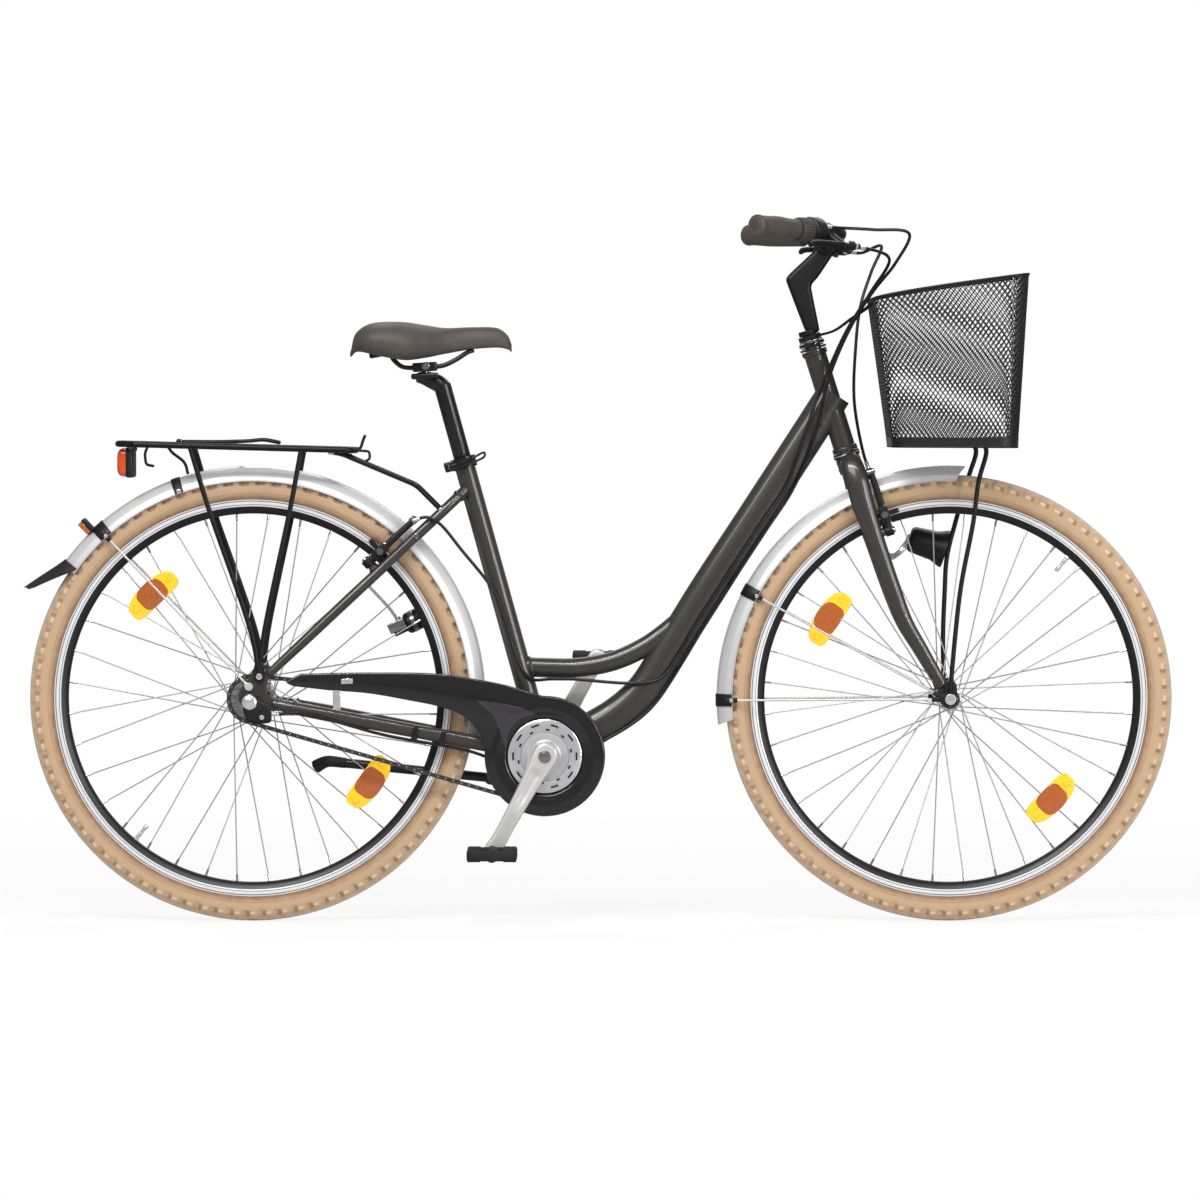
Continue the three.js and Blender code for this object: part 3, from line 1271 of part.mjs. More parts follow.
function rearFenderSolid() {
  const bridge = meetCircle(
    staySeat, stayUp, rearAxle, fender.radius + seatStay.bridgeRadius + overrun,
  );
  const out = bridge.clone().sub(rearAxle).normalize();
  const spot = (radius) => rearAxle.clone().addScaledVector(out, radius);
  const bolt = rod(
    [spot(fender.radius - fender.sheet), spot(fender.radius + overrun - gap)], fender.boltRadius, 8,
  );
  const lamp = block(
    at(fender.radius - fender.sheet, -mudflap.width / 3, -fenderStay.strapWidth),
    at(fender.radius + 2 * overrun, mudflap.width / 3, fenderStay.strapWidth),
  )
    .rotate([0, -wheelTurns.lampBlock, 0]).translate(rearAxle.toArray());
  return joined(fenderSheet(rearAxle, ...wheelTurns.rearFender), bolt, lamp);
}

function mudflapSolid() {
  const start = wheelTurns.rearFender[1] - 1.5;
  const spread = 10;
  const base = fender.radius + mudflap.sheet + 2 * gap;
  const radiusAt = (degrees) => {
    const along = Math.max(0, (degrees - wheelTurns.rearFender[1]) / (spread - 1.5));
    return base + (mudflap.tipRadius - base) * along ** 1.6;
  };
  return bentSheet(
    rearAxle, start, start + spread, 5, radiusAt, mudflap.width / 2 + mudflap.sheet, mudflap.skirt,
    mudflap.sheet,
  );
}

// A strap lies inside the fender, and its ends pass under the edges to the wires.
function fenderStrap(centre, degrees) {
  const half = fender.width / 2 - fender.sheet - 2 * gap;
  const inside = (fender.radius - fender.sheet) * Math.cos(radians(fenderStep / 2)) - gap;
  const turn = (fenderStay.strapWidth / 2 / fender.radius) * (180 / Math.PI);
  const outer = [[-1, 1], [-0.7, 0.456], [0, 0], [0.7, 0.456], [1, 1]];
  const endY = fender.width / 2 + fenderStay.radius;
  const endDrop = fender.skirt + 2 * overrun;
  const row = (shift) => [
    [shift - endY, inside - endDrop - shift],
    ...outer.map(([t, f]) => [t * (half - shift), inside - shift - f * fender.skirt]),
    [endY - shift, inside - endDrop - shift],
  ];
  const section = [...row(0), ...row(fenderStay.strap).reverse()];
  return fromRings(
    [degrees - turn, degrees + turn].map((d) => section.map(([y, r]) => onWheel(centre, r, d, y))),
  );
}

const strapEnd = (centre, degrees, side) =>
  onWheel(
    centre, fender.radius - fender.skirt - fender.sheet - 1.5 * overrun, degrees,
    side * (fender.width / 2 + fenderStay.radius / 2),
  );

function frontFenderStays() {
  const forkFace = blade.tipSpread + blade.dropout / 2 + gap;
  const blockEnd = frontAxle.x - carrier.eyeletRadius - gap;
  const [upper, lower] = wheelTurns.frontStraps;
  const clips = [upper, lower - fenderStay.strapWidth / 2];
  return joined(sides.flatMap((side) => {
    const near = side * forkFace;
    const far = side * (forkFace + fenderStay.blockThickness);
    const low = at(
      blockEnd - fenderStay.blockLength, Math.min(near, far), frontAxle.z - fenderStay.blockHeight / 4,
    );
    const high = at(blockEnd, Math.max(near, far), frontAxle.z + (fenderStay.blockHeight * 3) / 4);
    const root = at(
      blockEnd - fenderStay.blockLength + overrun, (near + far) / 2,
      frontAxle.z + fenderStay.blockHeight / 4,
    );
    return [
      block(low, high),
      ...clips.map((degrees) => rod([root, strapEnd(frontAxle, degrees, side)], fenderStay.radius, 5)),
    ];
  }), clips.map((degrees) => fenderStrap(frontAxle, degrees)));
}

function rearFenderStays() {
  const face = dropoutOuter + gap;
  const eye = rearAxle.clone().add(at(dropout.long * -0.12, 0, dropout.tall * 0.37));
  return joined(sides.flatMap((side) => {
    const bandY = [side * face, side * (face + rack.foot)].sort((a, b) => a - b);
    const disc = pin(rack.footRadius * 0.8, bandY[0], bandY[1], 10).translate([eye.x, 0, eye.z]);
    const root = eye.clone().setY(side * (face + fenderStay.radius));
    const bend = onWheel(eye, rack.footRadius * 2, wheelTurns.rearStrap, root.y);
    return [disc, rod([root, bend, strapEnd(rearAxle, wheelTurns.rearStrap, side)], fenderStay.radius, 5)];
  }), fenderStrap(rearAxle, wheelTurns.rearStrap));
}

piece("front_fender", frontFenderSolid(), "silver", group);
piece("rear_fender", rearFenderSolid(), "silver", group);
piece("mudflap", mudflapSolid(), "rubber", group);
piece("front_fender_stays", frontFenderStays(), "silver", group);
piece("rear_fender_stays", rearFenderStays(), "silver", group);

// Rear rack, spring clip and tail light

const deckZ = (x) => rack.z + ((rack.frontZ - rack.z) * (x + rack.rearX)) / (rack.rearX - rack.frontX);
const rackBarShares = [0.25, 0.5, 0.775];
const rackBar = (k) => -rack.rearX + (rack.rearX - rack.frontX) * rackBarShares[k];

function rackSolid() {
  const back = -rack.rearX;
  const front = -rack.frontX;
  const length = front - back;
  const y = rack.half;
  const deck = (x, w) => at(x, w, deckZ(x));
  const corner = rack.half * 0.35;
  const rail = (side) => rod(
    [
      deck(back, side * (y - corner)), deck(back + corner, side * y), deck(front - corner, side * y),
      deck(front, side * (y - corner)),
    ],
    rack.rod, 5,
  );
  const cross = (x, radius, reach = y) => rod([deck(x, -reach), deck(x, reach)], radius, 6, upwards);
  const footX = rearAxle.x + dropout.long * 0.29;
  const footZ = rearAxle.z + dropout.tall * 0.69;
  const legs = sides.flatMap((side) => {
    const inner = side * (dropoutOuter + gap);
    const foot = at(footX, inner + side * rack.leg, footZ);
    const high = rack.footRadius * 2.2;
    const band = [inner, inner + side * rack.foot].sort((a, b) => a - b);
    const shoe = pin(rack.footRadius, band[0], band[1], 10).translate([foot.x, 0, foot.z]);
    const plate = block(
      at(foot.x - rack.footRadius, band[0], foot.z),
      at(foot.x + rack.footRadius, band[1], foot.z + high),
    );
    const leg = (share, lean) => rod(
      [
        foot.clone().add(at(lean * rack.footRadius * 0.5, 0, high - overrun)),
        deck(back + length * share, side * y),
      ],
      rack.leg, 5,
    );
    return [shoe, plate, leg(0.3, -1), leg(0.775, 1)];
  });
  const strut = (side) => {
    const hold = alongStay(0.865, side);
    hold.y += side * (seatStay.radius + rack.leg + 2 * gap);
    const knee = alongStay(0.87, side, rack.half).setY(side * (y - corner));
    return rod([deck(front, side * (y - corner)), knee, hold], rack.leg, 5);
  };
  const plateX = tailLight.depth - tailLight.x + gap;
  const plateFoot = rack.z - rack.rod - tailLight.height;
  const plate = block(
    at(plateX, -tailLight.halfWidth / 2, plateFoot),
    at(plateX + rack.foot, tailLight.halfWidth / 2, rack.z),
  );
  const hanger = cross(plateX + rack.foot / 2, rack.leg);
  const fenderSpot = onWheel(rearAxle, fender.radius + rack.leg + gap, wheelTurns.rackStay, 0);
  const knee = at((plateX + 2 * fenderSpot.x) / 3, 0, rack.z - 2 * rack.leg);
  const tail = rod(
    [at(plateX + rack.foot / 2, 0, rack.z - tailLight.height / 3), knee, fenderSpot], rack.leg, 5,
  );
  return joined(rail(-1), rail(1), cross(back, rack.rod, y - corner), cross(front, rack.rod, y - corner),
    rackBarShares.map((_, k) =>
      cross(rackBar(k), rack.leg)), legs, strut(-1), strut(1), hanger, plate, tail);
}

// The clip turns on the rack's rear crossbar and lies on the others.
function clipSolid() {
  const rise = (rack.leg + clip.rod) * Math.cos(Math.PI / 6) + 2 * gap;
  const hingeX = rackBar(0);
  const point = (share, lift, side) => {
    const x = hingeX + (-clip.frontX - hingeX) * share;
    return at(x, side * clip.half, deckZ(x) + rise + lift * clip.half);
  };
  const armShares = [[0, 0], [0.42, 0], [0.85, 0.4], [1, 0.05]];
  const arm = (side) => rod(armShares.map(([along, lift]) => point(along, lift, side)), clip.rod, 6);
  const bars = [armShares[0], armShares[3]].map(([along, lift]) =>
    rod([point(along, lift, -1), point(along, lift, 1)], clip.rod, 6, upwards));
  return joined(arm(-1), arm(1), bars);
}

function tailLightSolid() {
  const top = rack.z - rack.rod - gap;
  const face = -tailLight.x;
  const low = top - tailLight.height;
  const shares = [[0, 0.1], [0, 0.9], [0.3, 1], [1, 1], [1, 0], [0.3, 0]];
  return sheet(
    shares.map(([x, z]) => [face + x * tailLight.depth, low + z * tailLight.height]),
    -tailLight.halfWidth, tailLight.halfWidth,
  );
}

piece("rear_rack", rackSolid(), "satinBlack", group);
piece("rack_clip", clipSolid(), "satinBlack", group);
piece("tail_light", tailLightSolid(), "lens", group);

// Front basket on its carrier

function basketRing(share, shrink, lift) {
  const mix = (low, high) => low + (high - low) * share;
  const back = mix(basket.footRearX, basket.rearX) + shrink;
  const front = mix(basket.footFrontX, basket.frontX) - shrink;
  const half = mix(basket.footHalf, basket.topHalf) - shrink;
  const r = basket.corner - shrink;
  const arc = [0, 30, 60, 90];
  const corners = [[1, 1, 0], [-1, 1, 90], [-1, -1, 180], [1, -1, 270]];
  return corners.flatMap(([sx, sy, turn]) => arc.map((a) => {
    const x = (sx > 0 ? front - r : back + r) + r * Math.cos(radians(a + turn));
    const y = sy * (half - r) + r * Math.sin(radians(a + turn));
    const rim = basket.rearZ + (basket.frontZ - basket.rearZ) * ((x - back) / (front - back)) ** 0.8;
    return at(x, y, lift + basket.footZ + (rim - basket.footZ) * share);
  }));
}

function basketSolid() {
  const shell = fromRings([basketRing(0, 0, 0), basketRing(1, 0, 0)]);
  const inside = fromRings([
    basketRing(0, basket.wall, basket.wall), basketRing(1, basket.wall, 2 * basket.wall),
  ]);
  const ringZ = headTop + steerer.nutStack * 0.82;
  const reach = (steerer.nutRadius + basket.hookRadius + 2 * gap) / Math.cos(Math.PI / 8);
  const back = at(basket.footRearX, 0, alongHead(0, 0, ringZ).z);
  const arc = [-60, -100, -145, 180, 145, 100, 60].map((a) => alongHead(
    reach * Math.cos(radians(a)), reach * Math.sin(radians(a)), ringZ,
  ));
  const leg = (side) => [
    at(back.x, side * reach, back.z), at(basket.rearX - basket.corner / 2, side * reach, back.z),
    alongHead(basket.corner * 1.4, side * reach, ringZ),
  ];
  const hook = rod([...leg(-1), ...arc, ...leg(1).reverse()], basket.hookRadius, 5, headUp);
  return joined(without(shell, inside), without(hook, inside));
}

function carrierSolid() {
  const z = basket.footZ - carrier.radius - gap;
  const y = carrier.spread;
  const top = basket.footRearX + (basket.footFrontX - basket.footRearX) * 0.76;
  const back = basket.footRearX + (basket.footFrontX - basket.footRearX) * 0.1;
  const eyeY = blade.tipSpread + blade.dropout / 2 + 2 * gap;
  const rise = z - frontAxle.z;
  const bend = {
    "-1": [[0.86, 0.86], [0.62, 0.66], [0.35, 0.46], [0.12, 0.22]],
    1: [[0.95, 0.87], [0.72, 0.78], [0.3, 0.5], [0.02, 0.24]],
  };
  const run = top - frontAxle.x;
  return joined(sides.flatMap((side) => {
    const bandY = [side * eyeY, side * (eyeY + carrier.eyelet)].sort((a, b) => a - b);
    const eye = pin(carrier.eyeletRadius, bandY[0], bandY[1], 12).translate(frontAxle.toArray());
    const lean = (share) => side * (y + (eyeY + carrier.radius - y) * (1 - share));
    const path = [
      at(top, side * y, z), ...bend[side].map(([x, h]) => at(
        frontAxle.x + run * x, lean(h), frontAxle.z + rise * h,
      )),
      at(frontAxle.x, side * (eyeY + carrier.radius), frontAxle.z + axle.nutRadius + 2 * gap),
    ];
    return [
      eye, rod(path, carrier.radius, 5),
      rod([at(top + overrun, side * y, z), at(back, side * y, z)], carrier.radius, 5),
    ];
  }), [top, back].map((x) => rod([at(x, -y, z), at(x, y, z)], carrier.radius, 5, upwards)))
    .subtract(pin(axle.radius + gap, -2 * eyeY, 2 * eyeY).translate(frontAxle.toArray()));
}

piece("basket", basketSolid(), "satinBlack", group);
piece("basket_carrier", carrierSolid(), "satinBlack", group);

// Cables, held along the frame. Where they follow a tube, they lie on its surface.

const cableOff = cable.radius + 3 * gap;

// A point on the down tube's surface: under it at 90 degrees, on its right side at 0.
function onDownTube(step, degrees, off = cableOff) {
  const here = downTubePoints[step];
  const along = downTubePoints[step + 1].clone().sub(downTubePoints[step - 1]).normalize();
  const below = at(-along.z, 0, along.x);
  const turn = radians(degrees);
  return here.clone()
    .addScaledVector(below, (downTube.deep + off) * Math.sin(turn))
    .add(at(0, -(downTube.wide + off) * Math.cos(turn), 0));
}

const inBar = (point) => point.clone().add(barMiddle);
const barrelEnd = (side) => inBar(nearLever(side, -lever.barrel - gap, 0, 0));
const barrelAhead = (side) => inBar(nearLever(side, -lever.barrel * 1.5, 0, 0));

// Where each cable hangs free: how far ahead, to the left and up from the span's start, in shares of
// the span's length.
const gearLoopShares = [
  [0.115, 0.057, -0.004], [0.248, 0.117, -0.018], [0.203, 0.149, -0.119], [0.125, 0.199, -0.22],
  [0.042, 0.236, -0.353], [-0.036, 0.263, -0.54], [-0.082, 0.3, -0.737],
];
const rearLoopShares = [
  [0.086, 0.132, -0.04], [0.017, 0.211, -0.164], [-0.072, 0.251, -0.306], [-0.161, 0.275, -0.504],
  [-0.235, 0.275, -0.706],
];
const armLoopShares = [
  [-0.296, -0.121, 0.38], [-0.508, -0.174, 0.633], [-0.619, -0.168, 0.685],
];
const frontLoopShares = [
  [0.082, -0.101, 0.027], [0.036, -0.17, -0.092], [-0.015, -0.232, -0.245],
  [-0.038, -0.261, -0.439], [-0.043, -0.278, -0.666],
];

function hanging(from, to, shares) {
  const span = from.distanceTo(to);
  return shares.map(([ahead, left, up]) => from.clone().add(at(ahead, left, up).multiplyScalar(span)));
}

// The gear cable leaves the shifter beside the lever's arm and passes over its collar.
function gearCableSolid() {
  const rise = radians(55);
  const beside = leverFront(-1).multiplyScalar(Math.cos(rise)).addScaledVector(
    leverHinge(-1), Math.sin(rise),
  );
  const onShifter = (distance) => inBar(onBar(distance, -1).addScaledVector(
    beside, shifter.radius - cable.radius,
  ));
  const shifterEnd = shifterStart + shifter.length;
  const underShell = at(
    bracketCentre.x, -bracket.halfWidth * 0.6, bracketCentre.z - bracket.radius - 2 * cableOff,
  );
  const underStay = (share) => chainStayPoint(share, -1).add(at(0, 0, -chainStay.deep - cableOff));
  const boxEnd = at(
    rearAxle.x + gearBox.length * 0.69 + gap, -gearBox.start - gearBox.depth / 2,
    rearAxle.z - gearBox.height * 0.46,
  );
  const pastCollar = onShifter(shifterEnd + lever.collar * 2);
  const route = [
    onShifter(shifterEnd + gap), pastCollar,
    ...hanging(pastCollar, onDownTube(2, 58), gearLoopShares),
    ...[2, 3, 4, 5, 6, 7, 8, 9, 10, 11, 12].map((step) => onDownTube(step, 58)),
    underShell, underStay(0.7), underStay(0.4), at(
      boxEnd.x + gearBox.length, boxEnd.y * 0.9, boxEnd.z,
    ), boxEnd,
  ];
  return wire(route, cable.radius, cable.longSteps, cable.around);
}

// The rear brake cable passes outside the right seat stay and ends beside the brake arm's top.
function rearBrakeCableSolid() {
  const seatSide = (height, back) => alongSeat(height).add(at(-back, -seatTube.radius - cableOff, 0));
  const armSide = brake.pivotSpread * brake.topSpreadShare + brake.armWide * 0.4;
  const besideArm = -armSide - cable.radius - 2 * gap;
  const armTop = rearPivot.clone().addScaledVector(stayUp, brake.armLength - overrun).setY(besideArm);
  const seatEnd = seatSide(crossTubeHeight * 1.86, 2 * overrun);
  const crossing = seatSide(crossTubeHeight, 0);
  const underCross = (along, out) => at(
    crossing.x + crossTube.deep * along, out, crossing.z - crossTube.deep - cableOff,
  );
  const route = [
    barrelEnd(-1), barrelAhead(-1),
    ...hanging(barrelAhead(-1), onDownTube(2, 25), rearLoopShares),
    ...[2, 3, 4, 5, 6, 7].map((step) => onDownTube(step, 25)), onDownTube(8, 10),
    underCross(5, -crossTube.wide), underCross(3, -crossTube.wide),
    underCross(1.2, crossing.y), crossing,
    seatSide(crossTubeHeight * 1.6, overrun), seatEnd,
    ...hanging(seatEnd, armTop, armLoopShares), armTop,
  ];
  return wire(route, cable.radius, cable.longSteps, cable.around);
}

function frontBrakeCableSolid() {
  const armTop = frontPivot.clone()
    .addScaledVector(headUp, brake.armLength + gap)
    .setY(brake.pivotSpread * brake.topSpreadShare);
  const route = [
    barrelEnd(1), barrelAhead(1), ...hanging(barrelAhead(1), armTop, frontLoopShares),
    armTop.clone().addScaledVector(headUp, brake.armLength / 4), armTop,
  ];
  return wire(route, cable.radius, cable.shortSteps, cable.around);
}

piece("gear_cable", gearCableSolid(), "rubber", group);
piece("rear_brake_cable", rearBrakeCableSolid(), "rubber", group);
piece("front_brake_cable", frontBrakeCableSolid(), "rubber", group);

export default group;
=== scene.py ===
import math
import bmesh
import mathutils
import bpy
import numpy as np
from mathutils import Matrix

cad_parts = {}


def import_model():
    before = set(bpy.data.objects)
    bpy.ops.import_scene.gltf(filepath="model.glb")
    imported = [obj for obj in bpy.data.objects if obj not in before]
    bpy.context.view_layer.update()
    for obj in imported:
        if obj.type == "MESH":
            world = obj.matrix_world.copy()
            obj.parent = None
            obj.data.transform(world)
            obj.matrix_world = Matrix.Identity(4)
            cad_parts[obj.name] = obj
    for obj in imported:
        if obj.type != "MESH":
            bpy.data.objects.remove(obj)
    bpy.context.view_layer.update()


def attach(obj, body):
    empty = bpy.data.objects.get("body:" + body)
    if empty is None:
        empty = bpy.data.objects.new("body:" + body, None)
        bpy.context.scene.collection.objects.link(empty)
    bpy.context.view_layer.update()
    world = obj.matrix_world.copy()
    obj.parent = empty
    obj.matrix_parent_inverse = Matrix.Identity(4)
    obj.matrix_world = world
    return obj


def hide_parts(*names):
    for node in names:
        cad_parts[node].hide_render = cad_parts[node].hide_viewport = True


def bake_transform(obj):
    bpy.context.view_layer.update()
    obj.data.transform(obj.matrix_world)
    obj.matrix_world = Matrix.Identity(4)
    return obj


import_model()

# A step-through city bicycle. Places and sizes here are millimetres, and each mesh is made in metres:
# +X forwards, +Y to the rider's left, +Z up, on the ground between the wheels.
metre = 0.001
rightLeft = (-1, 1)
ahead, sideways, upwards = np.eye(3)
core = 0.01  # the radius that stands for a point on an axis


def at(x, y, z):
    return np.array([x, y, z], float)


def unit(vector):
    return vector / np.linalg.norm(vector, axis=-1, keepdims=True)


def fullTurn(steps):
    return np.linspace(0, 2 * np.pi, steps, endpoint=False)


def hoop(centre, radius, turn):  # X and Z on a circle about a place
    return np.stack([centre[0] + radius * np.cos(turn), centre[2] + radius * np.sin(turn)], -1)


def polar(centre, radius, degrees, y=0.0):  # a point about a wheel's axle, from ahead towards the top
    turn = np.radians(degrees)
    return centre + np.stack([radius * np.cos(turn), y + 0 * turn, radius * np.sin(turn)], axis=-1)


def swell(value, power):  # a power that keeps the sign, and below 1 makes an oval squarer
    return np.sign(value) * np.abs(value) ** power


def sided(points, side):  # a line of the left side, put on the given one
    return np.array(points, float) * [1, side, 1]


class Sock:  # a shader socket that can be used in sums
    def __init__(self, paint, socket):
        self.paint, self.socket = paint, socket

    def math(self, operation, *others):
        return self.paint.math(operation, self, *others)

    def __add__(self, other):
        return self.math("ADD", other)

    def __sub__(self, other):
        return self.math("SUBTRACT", other)

    def __rsub__(self, other):
        return self.paint.math("SUBTRACT", other, self)

    def __mul__(self, other):
        return self.math("MULTIPLY", other)

    def __pow__(self, other):
        return self.math("POWER", other)

    __radd__ = __add__
    __rmul__ = __mul__

    def fade(self, low, high):  # a smooth step from 0 at low to 1 at high
        return self.paint.add("MapRange", {"interpolation_type": "SMOOTHSTEP"},
                              {"Value": self, "From Min": low, "From Max": high})

    def band(self, low, high, soft):  # 1 between low and high, with soft edges
        return self.fade(low - soft, low + soft) * (1 - self.fade(high - soft, high + soft))


class Paint:  # a material and the one method that adds a node to it
    def __init__(self, name, **shader):
        self.material = bpy.data.materials.new(name)
        self.material.use_nodes = True
        self.tree = self.material.node_tree
        self.shader = self.tree.nodes["Principled BSDF"]
        self.feed(shader)

    def plug(self, socket, value):
        if isinstance(value, Sock):
            self.tree.links.new(value.socket, socket)
        elif socket.type == "RGBA" and len(value) == 3:
            socket.default_value = (*value, 1)
        else:
            socket.default_value = value

    def add(self, kind, settings=None, links=None, out=0):
        node = self.tree.nodes.new("ShaderNode" + kind)
        for key, value in (settings or {}).items():
            setattr(node, key, value)
        for key, value in (links or {}).items():
            self.plug(node.inputs[key], value)
        return Sock(self, node.outputs[out])

    def math(self, operation, *values):
        return self.add("Math", {"operation": operation}, dict(enumerate(values)))

    def feed(self, values):
        for key, value in values.items():
            self.plug(self.shader.inputs[key], value)
        return self

    def place(self):
        return self.add("TexCoord", out="Object")

    def noise(self, scale, detail=3.0):
        return self.add("TexNoise", {}, {"Vector": self.place(), "Scale": scale, "Detail": detail})

    def cells(self, scale):
        return self.add("TexVoronoi", {}, {"Vector": self.place(), "Scale": scale})

    def mix(self, share, first, second):
        return self.add("Mix", {"data_type": "RGBA"}, {0: share, 6: first, 7: second}, out=2)

    def bump(self, height, strength, distance):
        normal = self.add("Bump", {}, {"Height": height, "Strength": strength, "Distance": distance})
        return self.feed({"Normal": normal})

    def wheelPlace(self, centre):  # distance from an axle and angle about it
        x, z = (self.add("SeparateXYZ", {}, {0: self.place()}, out=k) for k in (0, 2))
        dx, dz = x - centre[0] * metre, z - centre[2] * metre
        return (dx * dx + dz * dz) ** 0.5 * (1 / metre), dz.math("ARCTAN2", dx)


def rgb(red, green, blue):  # a screen colour, 0 to 255, as the linear one that a shader wants
    share = np.array([red, green, blue]) / 255
    linear = np.where(share <= 0.04045, share / 12.92, ((share + 0.055) / 1.055) ** 2.4)
    return tuple(float(value) for value in linear)


# Surfaces. Each function returns points and faces, and a Build collects them into one piece.

def fillet(points, radius, steps=4, closed=True):
    # rounds each corner of a line of points by a quadratic arc that starts radius before it
    points = [np.array(p, float) for p in points]
    count, out = len(points), []
    for k in range(count):
        if not closed and k in (0, count - 1):
            out.append(points[k])
            continue
        before, here, after = points[k - 1], points[k], points[(k + 1) % count]
        back, on = np.linalg.norm(before - here), np.linalg.norm(after - here)
        reach = min(radius, back * 0.49, on * 0.49)
        start = here + (before - here) * reach / back
        end = here + (after - here) * reach / on
        for t in np.linspace(0, 1, steps + 1):
            out.append((1 - t) ** 2 * start + 2 * t * (1 - t) * here + t * t * end)
    return np.array(out)


def curve(points, count=60):
    # a centripetal Catmull-Rom curve through the points, evenly stepped in each span: three rounds of
    # blends between neighbours, each weighted by the knots on either side
    p = np.array(points, float)
    p = np.vstack([2 * p[0] - p[1], p, 2 * p[-1] - p[-2]])
    knots = np.concatenate([[0], np.cumsum(np.linalg.norm(np.diff(p, axis=0), axis=1) ** 0.5)])
    place = np.linspace(0, len(points) - 1, count)
    k = np.minimum(place.astype(int), len(points) - 2)
    knot = [knots[k + j][:, None] for j in range(4)]
    level = [p[k + j] for j in range(4)]
    t = knot[1] + (knot[2] - knot[1]) * (place - k)[:, None]
    for starts, span in (((0, 1, 2), 1), ((0, 1), 2), ((1,), 1)):
        sides = [(knot[j], knot[j + span]) for j in starts]
        level = [((high - t) * a + (t - low) * b) / (high - low)
                 for (low, high), a, b in zip(sides, level, level[1:])]
    return level[0]


def skin(rings, loop=False, caps=True):
    # quads between neighbouring rings, each ring closed on itself, and a fan over each open end
    rings = np.asarray(rings, float)
    n, m = rings.shape[:2]
    rows = np.arange(n if loop else n - 1)[:, None] * m
    k = np.arange(m)[None, :]
    on, nextRow = (k + 1) % m, (rows + m) % (n * m)
    faces = [np.stack([rows + k, rows + on, nextRow + on, nextRow + k], axis=-1).reshape(-1, 4)]
    points = rings.reshape(-1, 3)
    if caps and not loop:
        points = np.vstack([points, rings[0].mean(0), rings[-1].mean(0)])
        k, on, last = k[0], on[0], (n - 1) * m
        faces.append(np.stack([on, k, np.full(m, n * m)], axis=-1))
        faces.append(np.stack([last + k, last + on, np.full(m, n * m + 1)], axis=-1))
    return points, faces


def frames(path, hint=None):
    # the way along a path and two directions across it, carried from point to point without twist
    along = unit(np.gradient(path, axis=0))
    if hint is not None:
        wide = hint - along * (along @ hint)[:, None]
    else:
        wide = [np.cross(along[0], sideways if abs(along[0][1]) < 0.8 else upwards)]
        for way in along[1:]:
            wide.append(wide[-1] - way * (wide[-1] @ way))
    wide = unit(np.array(wide))
    return along, wide, np.cross(along, wide)


def sweep(path, across, deep=None, hint=None, sides=20, dome=0.0, power=1.0):
    # an oval section carried along a path: centre + across cos(a) + deep sin(a), with domed ends
    path = np.array(path, float)
    deep = across if deep is None else deep
    across, deep = (np.broadcast_to(np.array(v, float), (len(path),)) for v in (across, deep))
    along, wide, other = frames(path, hint)
    if dome:
        tilt = np.radians([8, 30, 55, 75])
        rise, size = dome * np.cos(tilt)[:, None], np.sin(tilt)
        path = np.vstack([path[0] - along[0] * rise, path, path[-1] + along[-1] * rise[::-1]])
        across, deep = (np.concatenate([v[0] * size, v, v[-1] * size[::-1]]) for v in (across, deep))
        wide, other = (np.pad(v, ((4, 4), (0, 0)), "edge") for v in (wide, other))
    turn = fullTurn(sides)
    c, s = swell(np.cos(turn), power), swell(np.sin(turn), power)
    return skin(path[:, None] + wide[:, None] * (across[:, None] * c)[..., None]
                + other[:, None] * (deep[:, None] * s)[..., None])


def rod(points, radius, steps, sides=20, dome=0.0):  # a round rod along a smooth curve
    return sweep(curve(points, steps), radius, sides=sides, dome=dome)


def bentRod(points, radius, corner, steps=4, sides=14, dome=1.0):  # straight lengths with round corners
    return sweep(fillet(points, corner, steps, closed=False), radius, sides=sides, dome=dome)


def around(places, sizes, centre, way, wide, turn):
    # rings across a way: centre + way place + size (wide cos + other sin), one for each place
    other = np.cross(way, wide)
    out = np.outer(np.cos(turn), wide) + np.outer(np.sin(turn), other)
    return skin([centre + way * place + out * np.reshape(size, (-1, 1))
                 for place, size in zip(places, sizes)])


def lathe(profile, centre, axis=sideways, sides=48, closed=None):
    # a profile of [radius, distance] pairs turned about an axis; away from the axis it closes on itself
    profile = np.array(profile, float)
    closed = profile[0, 0] > 2 * core if closed is None else closed
    way = unit(np.array(axis, float))
    wide = unit(np.cross(way, upwards if abs(way[2]) < 0.9 else ahead))
    other, turn = np.cross(way, wide), fullTurn(sides)
    out = wide * np.cos(turn)[:, None] + other * np.sin(turn)[:, None]
    return skin(centre + way * profile[:, 1][:, None, None] + out * profile[:, 0][:, None, None],
                loop=closed, caps=not closed)


def drum(centre, axis, radius, start, end, edge=0.6, sides=32, bore=0.0):
    # a round barrel with rounded edges, or a ring where it has a bore
    inner = bore or core
    profile = [[inner, start], [radius, start], [radius, end], [inner, end]]
    return lathe(fillet(profile, edge, 3, closed=bore > 0), centre, axis, sides)


def moved(shape, place, x=ahead, y=sideways, z=upwards):  # set down with its own three directions
    return shape[0] @ np.array([x, y, z], float) + place, shape[1]


def tilted(rise):  # three directions pitched by a slope
    return at(1, 0, rise), sideways, at(-rise, 0, 1)


